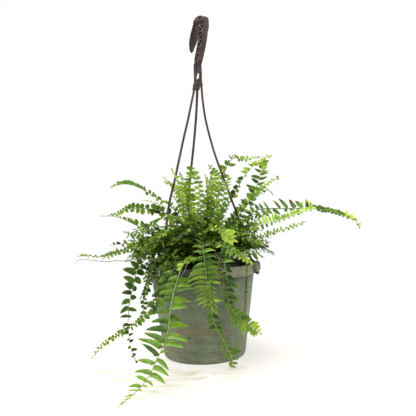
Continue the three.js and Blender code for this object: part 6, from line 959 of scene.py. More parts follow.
        (0.496, -1, 18.8, 6, 82, -32, 0.39, 0, 0.1, 0.05, 0), (0.496, 1, 8.3, 7.6, 102, 33, 0.67, 0, 0.1, 0.05, 0), (0.52, -1, 10.5, 4.9, 71, -24, 0.65, 0, 0.1, 0.05, 0),
        (0.528, 1, 7.7, 6.8, 96, 33, 0.56, 0, 0.1, 0.05, 0), (0.552, 1, 7.2, 6.4, 99, 33, 0.7, 0, 0.1, 0.05, 0), (0.568, -1, 7.9, 6.4, 92, -31, 0.62, 0, 0.1, 0.05, 0),
        (0.584, 1, 7.4, 6.4, 100, 33, 0.65, 0, 0.1, 0.05, 0), (0.6, -1, 7, 6.4, 95, -31, 0.65, 0, 0.1, 0.05, 0), (0.616, 1, 6.7, 6.4, 89, 26, 0.56, 0, 0.1, 0.05, 0),
        (0.64, -1, 6.7, 6, 91, -24, 0.63, 0, 0.1, 0.05, 0), (0.648, 1, 7, 6, 94, 33, 0.65, 0, 0.1, 0.05, 0), (0.672, -1, 6.8, 5.6, 85, -24, 0.67, 0, 0.1, 0.05, 0),
        (0.672, 1, 14.2, 3.8, 118, 26, 0.7, 0, 0.1, 0.05, 0), (0.688, 1, 7.4, 6, 101, 33, 0.67, 0, 0.1, 0.05, 0), (0.712, -1, 7.1, 5.3, 103, -24, 0.74, 0, 0.1, 0.05, 0),
        (0.712, 1, 8.5, 5.3, 104, 33, 0.56, 0, 0.1, 0.05, 0), (0.736, 1, 7.4, 5.6, 103, 33, 0.7, 0, 0.1, 0.05, 0), (0.744, -1, 9.8, 4.1, 101, -31, 0.83, 0, 0.1, 0.05, 0),
        (0.76, 1, 6.9, 5.2, 108, 27, 0.76, 0, 0.1, 0.05, 0), (0.768, -1, 5.8, 4.9, 79, -24, 0.83, 0, 0.1, 0.05, 0), (0.768, -1, 12.9, 1.9, 51, -18, 0.87, 0, 0.1, 0.05, 0),
        (0.784, 1, 5.9, 4.9, 110, 27, 0.72, 0, 0.1, 0.05, 0), (0.8, 1, 5, 3.7, 95, 26, 0.65, 0, 0.1, 0.05, 0), (0.832, -1, 2.8, 3, 71, -26, 0.48, 0, 0.1, 0.05, 0),
        (0.848, 1, 3.8, 4.1, 85, 26, 0.62, 0, 0.1, 0.05, 0), (0.872, -1, 4.2, 4.1, 121, -16, 0.65, 0, 0.1, 0.05, 0), (0.896, 1, 4, 4.1, 86, 26, 0.65, 0, 0.1, 0.05, 0),
        (0.912, -1, 3.9, 3.7, 72, -25, 0.77, 0, 0.1, 0.05, 0), (0.936, 1, 5.1, 4.5, 122, 28, 0.88, 0, 0.1, 0.05, 0), (0.952, 1, 4.7, 4.5, 99, 27, 0.91, 0, 0.1, 0.05, 0),
        (0.968, 1, 5.6, 4.1, 80, 26, 0.93, 0, 0.1, 0.05, 0), (0.992, -1, 3.8, 3, 47, 3, 0.91, 0, 0.1, 0.05, 0),
    ],
    "frond_left_trailing": [
        (0.64, 1, 8.7, 5.7, 88, 0, 0.2, 0, 0.1, 0.1, 0), (0.66, -1, 6.8, 5.4, 70, 0, 0.28, 0.3, 0.1, 0.1, 0), (0.68, 1, 9.2, 5.4, 76, 0, 0.3, 0, 0.1, 0.1, 0),
        (0.71, -1, 5.8, 3.2, 95, 0, 0.1, 0.7, 0.1, 0.1, 0), (0.72, 1, 4.7, 4.3, 36, 0, 0.5, 0, 0.1, 0.1, 0), (0.77, -1, 8.4, 6.4, 78, 0, 0.26, 0, 0.1, 0.1, 0),
        (0.78, 1, 5.7, 4.3, 116, 0, 0.08, 0.7, 0.1, 0.1, 0), (0.81, -1, 5.3, 6.1, 79, 0, 0.24, 0, 0.1, 0.1, 0), (0.82, 1, 7.8, 6.1, 80, 0, 0.18, 0, 0.1, 0.1, 0),
        (0.85, 1, 4.6, 3.9, 63, 0, 0.2, 0, 0.1, 0.1, 0), (0.87, -1, 4.8, 3.9, 73, 0, 0.1, 0.5, 0.1, 0.1, 0), (0.9, 1, 7.4, 6.8, 66, 0, 0.26, 0, 0.1, 0.1, 0),
        (0.92, -1, 11.8, 5.3, 100, 0, 0.22, 0, 0.1, 0.1, 0), (0.94, 1, 6.1, 6.1, 40, 0, 0.26, 0, 0.1, 0.1, 0), (0.96, -1, 6.6, 6.1, 65, 0, 0.3, 0, 0.1, 0.1, 0),
    ],
    "frond_front_left_cascade": [
        (0.5517, 1, 8.6, 8.6, 115, 0, 0.44, 0, 0.1, 0.1, 0), (0.5632, -1, 11.1, 7.9, 51, 0, 0.4, 0, 0.1, 0.1, 0), (0.5805, 1, 11, 8.2, 110, 0, 0.46, 0, 0.1, 0.1, 0),
        (0.592, -1, 6.7, 6.2, 37, 0, 0.34, 0, 0.1, 0.1, 0), (0.6092, 1, 9.3, 7.6, 103, 0, 0.5, 0, 0.1, 0.1, 0), (0.6149, -1, 6.1, 6.9, 22, -1, 0.46, 0, 0.1, 0.1, 0),
        (0.6322, 1, 10.9, 7.6, 86, 0, 0.4, 0, 0.1, 0.1, 0), (0.6379, -1, 4.8, 5.8, 37, 0, 0.54, 0, 0.1, 0.1, 0), (0.6552, 1, 7.6, 5.5, 80, 0, 0.62, 0, 0.1, 0.1, 0),
        (0.6609, -1, 4.6, 5.5, 20, -1, 0.56, 0, 0.1, 0.1, 0), (0.6839, -1, 5.4, 4.1, 127, 0, 0.24, 0, 0.1, 0.1, 0), (0.6897, 1, 7.2, 5.2, 100, 0, 0.36, 0, 0.1, 0.1, 0),
        (0.7069, -1, 7.1, 5.2, 105, 0, 0.3, 0.7, 0.1, 0.1, 0), (0.7184, 1, 9.1, 6.9, 51, 0, 0.2, 0, 0.1, 0.1, 0), (0.7299, -1, 9.8, 2.8, 93, 0, 0.4, 0, 0.1, 0.1, 0),
        (0.7356, 1, 7.7, 7.3, 53, 0, 0.34, 0, 0.1, 0.1, 0), (0.7471, -1, 5.7, 6.6, 76, 0, 0.5, 0, 0.1, 0.1, 0), (0.7586, 1, 9.1, 4.5, 79, 0, 0.6, 0, 0.1, 0.1, 0),
        (0.7644, -1, 6.3, 6.6, 84, 0, 0.56, 0, 0.1, 0.1, 0), (0.7759, -1, 6.5, 5.2, 83, 0, 0.66, 0, 0.1, 0.1, 0), (0.7816, 1, 5.1, 5.5, 86, 0, 0.5, 0, 0.1, 0.1, 0),
        (0.7931, -1, 5.5, 4.2, 79, 0, 0.66, 0, 0.1, 0.1, 0), (0.7989, 1, 5, 5.2, 58, 0, 0.6, 0, 0.1, 0.1, 0), (0.8161, -1, 5, 5.9, 86, 0, 0.5, 0, 0.1, 0.1, 0),
        (0.8218, 1, 6.6, 6.3, 64, 0, 0.56, 0, 0.1, 0.1, 0), (0.8333, -1, 5.5, 5.6, 82, 0, 0.6, 0, 0.1, 0.1, 0), (0.8506, -1, 4.9, 5.2, 112, 0, 0.6, 0, 0.1, 0.1, 0),
        (0.8621, 1, 5.7, 5.6, 83, 0, 0.6, 0, 0.1, 0.1, 0), (0.8678, -1, 5.4, 5.2, 74, 0, 0.74, 0, 0.1, 0.1, 0), (0.8793, 1, 5.7, 5.6, 62, 0, 0.64, 0, 0.1, 0.1, 0),
        (0.8908, -1, 4.8, 5.6, 85, 0, 0.7, 0, 0.1, 0.1, 0), (0.908, -1, 4.6, 4.5, 79, 0, 0.8, 0, 0.1, 0.1, 0), (0.9138, 1, 4.3, 4.2, 52, 0, 0.7, 0, 0.1, 0.1, 0),
        (0.931, -1, 6.2, 5.2, 86, 0, 0.9, 0, 0.1, 0.1, 0), (0.9425, 1, 3.7, 4.5, 36, 0, 0.85, 0, 0.1, 0.1, 0), (0.9598, -1, 5, 4.2, 82, 0, 0.9, 0, 0.1, 0.1, 0),
        (0.9713, 1, 2.2, 3.1, 53, 0, 0.7, 0, 0.1, 0.1, 0), (0.9943, -1, 3.6, 2.8, 20, 0, 0.8, 0, 0.1, 0.1, 0),
    ],
    "frond_right_long_arch": [
        (0.337, 1, 14.2, 7, 98, 0, 0.44, 0, 0.05, 0, 0), (0.3478, -1, 22.3, 6.2, 68, 0, 0.2, 0, 0.05, 0, 0), (0.3696, 1, 15.4, 6.2, 109, 0, 0.29, 0, 0.05, 0, 0),
        (0.3859, -1, 25.6, 7, 57, 0, 0.24, 0, 0.05, 0, 0), (0.3967, 1, 14.4, 5, 122, 0, 0.24, 0, 0.05, 0, 0), (0.4185, -1, 16, 7.3, 47, 0, 0.28, 0, 0.05, 0, 0),
        (0.4293, 1, 18.4, 4.5, 123, 0, 0.24, 0, 0.05, 0, 0), (0.4565, -1, 19.7, 7.3, 43, 0, 0.28, 0, 0.05, 0, 0), (0.5, 1, 23, 5.3, 114, 0, 0.26, 0, -0.25, 0, 0),
        (0.5326, -1, 7.5, 6.9, 83, 0, 0.38, 0, 0.05, 0, 0), (0.5435, 1, 28.4, 6.5, 115, 0, 0.34, 0.35, -0.2, 0, 0), (0.5652, -1, 4.2, 6.5, 87, 0, 0.34, 0, 0.05, 0, 0),
        (0.587, 1, 21.9, 10.2, 119, 0, 0.28, 0.9, 0.05, 0, 0), (0.6033, -1, 4.9, 6, 60, 0, 0.34, 0, 0.05, 0, 0), (0.6196, 1, 16.6, 4.1, 76, 0, 0.78, 0, 0.05, 0, 0),
        (0.6304, 1, 21, 8.5, 116, 0, 0.3, 0.5, -0.2, 0, 0), (0.6467, -1, 4.6, 4.9, 63, 0, 0.44, 0, 0.05, 0, 0), (0.6576, 1, 13.6, 6.4, 84, 0, 0.24, 0.8, 0.05, 0, 0),
        (0.663, 1, 20.3, 7.1, 97, 0, 0.66, 0, 0.05, 0, 0), (0.6848, 1, 18, 4.9, 100, 0, 0.78, 0, 0.05, 0, 0), (0.6902, 1, 11.6, 7.1, 107, 0, 0.28, 0.6, 0.05, 0, 0),
        (0.7065, 1, 8, 7.5, 109, 0, 0.26, 0, 0.05, 0, 0), (0.7228, 1, 7.5, 8.2, 123, 0, 0.28, 0, 0.05, 0, 0), (0.7283, -1, 5, 7.5, 103, 0, 0.2, 0, 0.05, 0, 0),
        (0.7391, 1, 9.1, 9, 119, 0, 0.3, 0, 0.05, 0, 0), (0.75, -1, 5.9, 7.8, 80, 0, 0.26, 0, 0.05, 0, 0), (0.7554, 1, 7.4, 8.6, 125, 0, 0.3, 0, 0.05, 0, 0),
        (0.7717, -1, 5, 7.5, 101, 0, 0.24, 0, 0.05, 0, 0), (0.7772, 1, 7.1, 8.2, 130, 0, 0.34, 0, 0.05, 0, 0), (0.788, -1, 3.1, 6.7, 87, 0, 0.2, 0, 0.05, 0, 0),
        (0.7935, 1, 8.7, 7.8, 122, 0, 0.54, 0, 0.05, 0, 0), (0.8098, -1, 3.9, 7.1, 78, 0, 0.3, 0, 0.05, 0, 0), (0.8152, 1, 8.3, 8.2, 124, 0, 0.26, 0, 0.05, 0, 0),
        (0.8315, -1, 3.9, 7.1, 81, 0, 0.28, 0, 0.05, 0, 0), (0.8315, 1, 6.7, 8.2, 125, 0, 0.4, 0, 0.05, 0, 0), (0.8533, -1, 4.4, 6.7, 90, 0, 0.2, 0, 0.05, 0, 0),
        (0.8533, 1, 8.9, 8.5, 133, 0, 0.52, 0, 0.05, 0, 0), (0.8696, 1, 6.8, 7.8, 136, 0, 0.38, 0, 0.05, 0, 0), (0.875, -1, 4, 5.9, 72, 0, 0.4, 0, 0.05, 0, 0),
        (0.8859, 1, 5.9, 6.7, 134, 0, 0.46, 0, 0.05, 0, 0), (0.8967, 1, 12, 7, 109, 0, 0.92, 0, 0.05, 0, 0), (0.9022, -1, 4.9, 4.8, 70, 0, 0.64, 0, 0.05, 0, 0),
        (0.913, 1, 5.7, 5.2, 133, 0, 0.54, 0, 0.05, 0, 0), (0.9293, 1, 10, 7, 112, 0, 0.92, 0, 0.05, 0, 0), (0.9348, -1, 2.3, 4.1, 78, 0, 0.54, 0, 0.05, 0, 0),
        (0.9457, 1, 5.2, 4.8, 112, 0, 0.74, 0, 0.05, 0, 0), (0.9565, 1, 6.2, 5.2, 128, 0, 0.76, 0, 0.05, 0, 0), (0.9837, 1, 6.9, 4.1, 98, 0, 0.88, 0, 0.05, 0, 0),
        (0.9891, -1, 5.3, 3.3, 159, 0, 0.74, 0, 0.05, 0, 0), (0.9946, 1, 3.2, 3.3, 22, 0, 0.44, 0, 0.05, 0, 0),
    ],
    "frond_right_arch_light": [
        (0.4463, 1, 14.2, 5.5, 105, 8, 0.4, 0, 0.1, 0, 0), (0.4711, -1, 10.2, 5.5, 93, -4, 0.2, 0, 0.1, 0, 0), (0.4793, 1, 13.9, 5.5, 100, 4, 0.46, 0, 0.1, 0, 0),
        (0.5207, -1, 11, 5.5, 91, -4, 0.2, 0, 0.1, 0, 0), (0.5207, 1, 15, 5.2, 107, 4, 0.56, 0, 0.1, 0, 0), (0.5537, 1, 17.4, 5.4, 104, 4, 0.66, 0, 0.1, 0, 0),
        (0.562, -1, 10.4, 5.2, 87, -4, 0.18, 0, 0.1, 0, 0), (0.5785, 1, 17.4, 5.4, 104, 4, 0.72, 0, 0.1, 0, 0), (0.6116, -1, 8.9, 4.4, 99, 0, 0.14, 0, 0.1, 0, 0),
        (0.6116, 1, 16.8, 5.4, 105, 4, 0.64, 0, 0.1, 0, 0), (0.6364, 1, 20.5, 4.9, 95, 4, 0.68, 0, 0.1, 0, 0), (0.6446, -1, 4.4, 4.4, 95, 0, 0.24, 0, 0.1, 0, 0),
        (0.6612, 1, 17.7, 5.4, 94, 4, 0.54, 0, 0.1, 0, 0), (0.6777, -1, 4.6, 4.3, 88, 0, 0.5, 0, 0.1, 0, 0), (0.686, 1, 12, 5.9, 97, 4, 0.58, 0, 0.1, 0, 0),
        (0.719, -1, 3.8, 4.3, 84, 0, 0.46, 0, 0.1, 0, 0), (0.719, 1, 10.8, 6.2, 101, 4, 0.56, 0, 0.1, 0, 0), (0.7438, 1, 10.3, 6.2, 99, 4, 0.54, 0, 0.1, 0, 0),
        (0.7686, -1, 3.1, 4.1, 89, 0, 0.5, 0, 0.1, 0, 0), (0.7686, 1, 10.6, 5.9, 91, 4, 0.66, 0, 0.1, 0, 0), (0.8017, 1, 10.5, 6.2, 94, 4, 0.68, 0, 0.1, 0, 0),
        (0.8099, -1, 3.4, 4.1, 76, 0, 0.46, 0, 0.1, 0, 0), (0.8264, 1, 13.3, 5.9, 89, 4, 0.68, 0, 0.1, 0, 0), (0.8512, -1, 5.7, 4.6, 57, 0, 0.24, 0, 0.1, 0, 0),
        (0.8512, 1, 8, 5.4, 91, 4, 0.56, 0, 0.1, 0, 0), (0.876, 1, 8.1, 4.8, 101, 4, 0.68, 0, 0.1, 0, 0), (0.8843, -1, 3.8, 4, 52, 0, 0.26, 0, 0.1, 0, 0),
        (0.9008, 1, 7.5, 4.3, 100, 4, 0.76, 0, 0.1, 0, 0), (0.9256, -1, 3.2, 3.3, 58, 0, 0.7, 0, 0.1, 0, 0), (0.9256, 1, 7.7, 4.3, 99, 4, 0.79, 0, 0.1, 0, 0),
        (0.9421, 1, 7.9, 4.6, 94, 4, 0.8, 0, 0.1, 0, 0), (0.9669, -1, 3.5, 3.2, 74, 0, 0.54, 0, 0.1, 0, 0), (0.9669, 1, 8.3, 4.6, 94, 4, 0.79, 0, 0.1, 0, 0),
        (0.9835, 1, 8.1, 4.5, 88, 4, 0.8, 0, 0.1, 0, 0), (1, 1, 5.6, 4.7, 73, 0, 0.76, 0, 0.1, 0, 0),
    ],
    "frond_right_thin": [
        (0.7379, 1, 10.3, 4.8, 82, 0, 0.78, 0, 0.1, 0, 0), (0.767, -1, 7.5, 4.4, 117, 0, 0.6, 0, 0.1, 0, 0), (0.7961, 1, 3.7, 4.4, 84, 0, 0.3, 0.7, 0.1, 0, 0),
        (0.8155, -1, 6.5, 4, 90, 0, 0.5, 0, 0.1, 0, 0), (0.8447, 1, 5.7, 4.7, 98, 0, 0.74, 0, 0.1, 0, 0), (0.8641, -1, 6.7, 4, 91, 0, 0.74, 0, 0.1, 0, 0),
        (0.8835, 1, 6, 5.1, 90, 0, 0.86, 0, 0.1, 0, 0), (0.9029, -1, 4.3, 3.7, 92, 0, 0.7, 0, 0.1, 0, 0), (0.932, 1, 4.8, 3.7, 85, 0, 0.8, 0, 0.1, 0, 0),
        (0.9612, -1, 4.8, 4, 100, 0, 0.8, 0, 0.1, 0, 0), (0.9806, 1, 3.5, 3, 102, 0, 0.7, 0, 0.1, 0, 0), (0.9903, -1, 3, 3, 18, 0, 0.3, 0, 0.1, 0, 0),
    ],
    "frond_top_arching": [
        (0.6013, 1, 9.6, 7.8, 101, 0, 0.8, 0, 0.1, 0, 0), (0.6144, 1, 16.1, 11, 88, 0, 0.66, 0, 0.1, 0, 0), (0.6471, 1, 11.2, 8.2, 53, 0, 0.44, 0, 0.1, 0, 0),
        (0.6536, -1, 17, 7, 68, 0, 0.44, 0, 0.1, 0, 0), (0.6732, 1, 5.4, 3.5, 71, 0, 0.06, 0.5, 0.1, 0, 0), (0.7059, 1, 11.9, 2.7, 103, 0, 0.16, 0.4, 0.1, 0, 0),
        (0.719, 1, 9.8, 2.3, 101, 0, 0.5, 0, 0.1, 0, 0), (0.732, 1, 9.2, 3.1, 108, 0, 0.7, 0, 0.1, 0, 0), (0.7451, 1, 7.1, 4.7, 126, 0, 0.6, 0, 0.1, 0, 0),
        (0.7582, -1, 6.7, 6.6, 57, 0, 0.66, 0, 0.1, 0, 0), (0.7582, 1, 6.9, 5.4, 154, 0, 0.4, 0, 0.1, 0, 0), (0.7778, 1, 6.7, 5.8, 84, 0, 0.5, 0, 0.1, 0, 0),
        (0.7843, -1, 4.1, 5, 81, 0, 0.5, 0, 0.1, 0, 0), (0.7974, 1, 5.9, 5, 94, 0, 0.84, 0, 0.1, 0, 0), (0.817, -1, 7.1, 5.8, 98, 0, 0.84, 0, 0.1, 0, 0),
        (0.8235, 1, 6.6, 5.4, 86, 0, 0.84, 0, 0.1, 0, 0), (0.8431, -1, 4.2, 5, 69, 0, 0.8, 0, 0.1, 0, 0), (0.8627, 1, 4.6, 5, 100, 0, 0.86, 0, 0.1, 0, 0),
        (0.8824, 1, 4.1, 4.6, 98, 0, 0.84, 0, 0.1, 0, 0), (0.902, 1, 3.8, 4.2, 66, 0, 0.56, 0, 0.1, 0, 0), (0.9542, -1, 3.5, 2.7, 74, 0, 0.7, 0, 0.1, 0, 0),
        (0.9739, 1, 4.4, 4.6, 87, 0, 0.86, 0, 0.1, 0, 0), (0.9869, -1, 3.5, 3.8, 86, 0, 0.8, 0, 0.1, 0, 0), (0.9935, 1, 3.6, 4.2, 46, 0, 0.7, 0, 0.1, 0, 0),
    ],
    "frond_top_right_back": [
        (0.6053, -1, 9, 9.6, 69, 1, 0.74, 0, 0.15, 0.1, 0), (0.6053, 1, 10.5, 9.6, 136, 1, 0.26, 0, 0.15, 0.1, 0), (0.6491, 1, 11.1, 10.1, 137, 1, 0.22, 0, 0.15, 0.1, 0),
        (0.6579, -1, 7.4, 8.6, 55, 1, 0.66, 0, 0.15, 0.1, 0), (0.7018, 1, 9.7, 10.1, 117, 1, 0.36, 0, 0.15, 0.1, 0), (0.7193, -1, 4.7, 4.3, 105, 1, 0.4, 0, 0.15, 0.1, 0),
        (0.7632, 1, 10, 8.2, 114, 1, 0.42, 0, 0.15, 0.1, 0), (0.8158, 1, 12.4, 7.7, 133, 1, 0.3, 0, 0.15, 0.1, 0), (0.8421, -1, 3.7, 3.8, 41, 1, 0.3, 0, 0.15, 0.1, 0),
        (0.886, 1, 14.2, 6.7, 122, 1, 0.6, 0, 0.15, 0.1, 0), (0.9298, 1, 14.8, 7.3, 124, 1, 0.7, 0, 0.15, 0.1, 0), (0.9825, 1, 11.9, 6.4, 117, 1, 0.52, 0, 0.15, 0.1, 0),
        (0.9912, 1, 7.3, 6.4, 82, 1, 0.8, 0, 0.15, 0.1, 0), (1, -1, 8.6, 6.5, 28, 2, 0.7, 0, 0.15, 0.1, 0), (1, 1, 8.7, 6.1, 74, 1, 0.8, 0, 0.15, 0.1, 0),
        (1, 1, 10.7, 6.5, 30, 2, 0.84, 0, 0.15, 0.1, 0),
    ],
    "frond_top_right_front": [
        (0.5294, 1, 19.2, 7.4, 53, 0, 0.71, 0, 0.12, 0, 0), (0.563, 1, 16.9, 6.9, 86, 0, 0.35, 0, 0.12, 0, 0), (0.5882, -1, 11.8, 8.3, 82, 0, 0.29, 0, 0.12, 0, 0),
        (0.6303, -1, 11.5, 8.8, 74, 0, 0.35, 0, 0.12, 0, 0), (0.6471, 1, 11.9, 11.7, 87, 0, 0.47, 0, 0.12, 0, 0), (0.6807, -1, 10, 9.2, 97, 0, 0.55, 0, 0.12, 0, 0),
        (0.6975, 1, 12.4, 6.9, 91, 0, 0.15, 0.4, 0.12, 0, 0), (0.7311, -1, 11.1, 8.3, 73, 0, 0.55, 0, 0.12, 0, 0), (0.7311, 1, 19.2, 8.7, 96, 0, 0.39, 0.6, 0.12, 0, 0),
        (0.7731, -1, 15.5, 5.8, 57, 0, 0.19, 0.8, 0.12, 0, 0), (0.7899, 1, 15.2, 6.7, 77, 0, 0.27, 0.3, 0.12, 0, 0), (0.8235, -1, 16.3, 5.8, 65, 0, 0.35, 0.3, 0.12, 0, 0),
        (0.8319, 1, 16.4, 6.7, 75, 0, 0.39, 0.3, -0.3, 0, 0), (0.8655, -1, 16.2, 6.3, 50, 0, 0.31, 0.6, -0.25, 0, 0), (0.8908, 1, 12.8, 5.8, 80, 0, 0.35, 0, 0.12, 0, 0),
        (0.8992, -1, 14.9, 3.8, 82, 0, 0.71, 0, 0.12, 0, 0), (0.9244, 1, 8.7, 4.4, 56, 0, 0.17, 0.3, 0.12, 0, 0), (0.9328, -1, 10.7, 9.6, 81, 0, 0.71, 0, 0.12, 0, 0),
        (0.958, -1, 10.5, 10.2, 72, 0, 0.67, 0, 0.12, 0, 0), (0.958, 1, 9.8, 7.8, 81, 0, 0.77, 0, 0.12, 0, 0), (0.9664, -1, 9.5, 9.2, 142, 0, 0.79, 0, 0.12, 0, 0),
        (0.9748, -1, 12.9, 6.3, 67, 0, 0.31, 0, 0.12, 0, 0), (0.9832, 1, 9.6, 7.3, 90, 0, 0.89, 0, 0.12, 0, 0), (0.9916, -1, 6.5, 6.3, 46, 0, 0.79, 0, 0.12, 0, 0),
        (0.9916, 1, 5.9, 7.3, 65, 0, 0.95, 0, 0.12, 0, 0),
    ],
    "frond_right_upper": [
        (0.6637, -1, 9.9, 7.8, 102, -14, 0.34, 0, 0.15, 0.05, 0), (0.6726, 1, 8.1, 7.8, 106, 16, 0.5, 0, 0.15, 0.05, 0), (0.708, -1, 9.6, 7.4, 103, -14, 0.4, 0, 0.15, 0.05, 0),
        (0.7257, 1, 8.5, 7, 102, 16, 0.62, 0, 0.15, 0.05, 0), (0.7522, -1, 9.1, 7.4, 103, -14, 0.56, 0, 0.15, 0.05, 0), (0.7699, 1, 8.5, 7.1, 95, 17, 0.6, 0, 0.15, 0.05, 0),
        (0.7965, -1, 8.7, 7.1, 115, -21, 0.46, 0, 0.15, 0.05, 0), (0.8053, 1, 7.2, 7.1, 84, 24, 0.66, 0, 0.15, 0.05, 0), (0.8319, -1, 7.2, 6.7, 112, -15, 0.6, 0, 0.15, 0.05, 0),
        (0.8496, 1, 6.4, 5.9, 91, 17, 0.72, 0, 0.15, 0.05, 0), (0.8761, -1, 5.9, 5.1, 115, -22, 0.7, 0, 0.15, 0.05, 0), (0.8938, 1, 6.6, 5.1, 96, 17, 0.76, 0, 0.15, 0.05, 0),
        (0.9115, -1, 5.2, 4.3, 108, -15, 0.74, 0, 0.15, 0.05, 0), (0.9381, 1, 5.9, 4.7, 92, 24, 0.8, 0, 0.15, 0.05, 0), (0.9558, -1, 2.9, 3.5, 132, -17, 0.66, 0, 0.15, 0.05, 0),
        (0.9912, -1, 5.6, 4.3, 95, -14, 0.4, 0, 0.15, 0.05, 0), (1, 1, 5.5, 5.1, 94, 18, 0.42, 0, 0.15, 0.05, 0),
    ],
    "frond_right_back_upper": [
        (0.7257, -1, 11.9, 8.2, 123, -3, 0.3, 0, 0.15, 0.05, 0), (0.7434, 1, 9.9, 7.8, 85, 5, 0.56, 0, 0.15, 0.05, 0), (0.7876, -1, 10.3, 7.8, 121, -8, 0.4, 0, 0.15, 0.05, 0),
        (0.8053, 1, 8.1, 7, 95, 5, 0.5, 0, 0.15, 0.05, 0), (0.823, -1, 11, 4.1, 148, -19, 0.1, 0.7, 0.15, 0.05, 0), (0.8319, -1, 14.6, 3.7, 96, -2, 0.3, 0, 0.15, 0.05, 0),
        (0.8584, 1, 8.1, 7, 100, 5, 0.5, 0, 0.15, 0.05, 0), (0.885, -1, 5.5, 6.6, 127, -15, 0.24, 0, 0.15, 0.05, 0), (0.9204, 1, 8.4, 5.4, 118, 6, 0.6, 0.3, 0.15, 0.05, 0),
        (0.9469, 1, 4.8, 4.1, 121, 11, 0.5, 0, 0.15, 0.05, 0), (0.9646, 1, 5.5, 3.7, 55, 37, 0.8, 0, 0.15, 0.05, 0), (1, -1, 2.5, 4.1, 94, -17, 0.8, 0, 0.15, 0.05, 0),
    ],
    "frond_top_left": [
        (0.5326, -1, 12.4, 8.1, 92, 0, 0.52, 0, 0.12, 0.15, 0), (0.5761, -1, 13.5, 8, 86, 0, 0.56, 0, 0.12, 0.15, 0), (0.5761, 1, 11.1, 7.7, 111, 0, 0.56, 0, 0.12, 0.15, 0),
        (0.6304, -1, 13.8, 8, 89, 1, 0.6, 0, 0.12, 0.15, 0), (0.6304, 1, 11.6, 8, 101, 1, 0.6, 0, 0.12, 0.15, 0), (0.6739, -1, 14.5, 7.7, 85, 1, 0.68, 0, 0.12, 0.15, 0),
        (0.6848, 1, 12, 8, 115, 1, 0.73, 0, 0.12, 0.15, 0), (0.7174, -1, 18.3, 6.9, 81, 1, 0.68, 0, 0.12, 0.15, 0), (0.7391, 1, 10.5, 6.9, 95, 1, 0.76, 0, 0.12, 0.15, 0),
        (0.75, -1, 19.7, 6.5, 84, 1, 0.69, 0, 0.12, 0.15, 0), (0.7935, -1, 17.1, 6.5, 82, 1, 0.79, 0, 0.12, 0.15, 0), (0.8152, 1, 7.7, 4.2, 84, 1, 0.87, 0, 0.12, 0.15, 0),
        (0.837, -1, 12.2, 5.3, 100, 1, 0.68, 0, 0.12, 0.15, 0), (0.8696, -1, 15.7, 4.6, 99, 1, 0.52, 0, 0.2, 0.15, 0), (0.8913, 1, 9.1, 4.6, 86, 1, 0.68, 0, 0.12, 0.15, 0),
        (0.9022, -1, 10.2, 3.1, 94, 1, 0.87, 0, 0.12, 0.15, 0), (0.9239, -1, 12.8, 6.9, 77, 1, 0.73, 0, 0.12, 0.15, 0), (0.9239, 1, 13.7, 8.4, 58, 1, 0.61, 0, 0.12, 0.15, 0),
        (0.9674, 1, 5.2, 5, 136, 1, 0.64, 0, 0.12, 0.15, 0), (0.9783, -1, 12.8, 6.9, 65, 1, 0.63, 0, 0.12, 0.15, 0), (0.9891, -1, 8.3, 6.1, 45, 1, 0.68, 0, 0.12, 0.15, 0),
        (0.9891, 1, 6.7, 5, 56, 1, 0.89, 0, 0.12, 0.15, 0),
    ],
    "frond_top_far_left": [
        (0.5773, 1, 10.9, 7, 117, 1, 0.53, 0, 0.12, 0.1, 0), (0.5979, -1, 10.2, 7, 103, 1, 0.56, 0, 0.12, 0.1, 0), (0.6392, 1, 10.1, 6.7, 109, 1, 0.6, 0, 0.12, 0.1, 0),
        (0.6598, -1, 10, 6.7, 116, 1, 0.62, 0, 0.12, 0.1, 0), (0.701, 1, 10.7, 7, 110, 1, 0.65, 0, 0.12, 0.1, 0), (0.7216, -1, 10.5, 6.3, 129, 1, 0.7, 0, 0.12, 0.1, 0),
        (0.7423, -1, 10.2, 2.9, 93, 1, 0.67, 0, 0.12, 0.1, 0), (0.7732, 1, 11.5, 5.9, 116, 1, 0.65, 0, 0.12, 0.1, 0), (0.8041, 1, 10.1, 5.5, 108, 1, 0.7, 0, 0.12, 0.1, 0),
        (0.8247, -1, 9.8, 5.5, 132, 1, 0.86, 0, 0.12, 0.1, 0), (0.8454, 1, 11.4, 6.2, 101, 1, 0.77, 0, 0.12, 0.1, 0), (0.8866, 1, 7.6, 4.8, 149, 1, 0.86, 0, 0.12, 0.1, 0),
        (0.9072, 1, 7.2, 3.3, 11, 8, 0.77, 0, 0.12, 0.1, 0), (0.9072, 1, 9.4, 4.8, 94, 1, 0.88, 0, 0.12, 0.1, 0), (0.9381, -1, 12.4, 5.5, 7, 72, 0.83, 0, 0.12, 0.1, 0),
    ],
    "frond_top_middle_left": [
        (0.5114, 1, 10.7, 7.5, 101, 2, 0.5, 0, 0.12, 0.15, 0), (0.5341, -1, 11.3, 7.5, 89, 2, 0.58, 0, 0.12, 0.15, 0), (0.5795, 1, 10.8, 7.1, 101, 2, 0.53, 0, 0.12, 0.15, 0),
        (0.6136, -1, 9.3, 7.1, 85, 1, 0.66, 0, 0.12, 0.15, 0), (0.6477, 1, 10.7, 7.1, 100, 1, 0.58, 0, 0.12, 0.15, 0), (0.6818, -1, 10.6, 7.8, 80, 1, 0.78, 0, 0.12, 0.15, 0),
        (0.7159, 1, 10.2, 7.1, 91, 1, 0.58, 0, 0.12, 0.15, 0), (0.7386, -1, 9.5, 6.3, 81, 1, 0.74, 0, 0.12, 0.15, 0), (0.7727, 1, 9.8, 6.3, 89, 1, 0.61, 0, 0.12, 0.15, 0),
        (0.8068, -1, 9.3, 6.7, 71, 2, 0.78, 0, 0.12, 0.15, 0), (0.8409, 1, 9, 5.9, 108, 1, 0.58, 0, 0.12, 0.15, 0), (0.875, 1, 9.5, 5.6, 85, 1, 0.61, 0, 0.12, 0.15, 0),
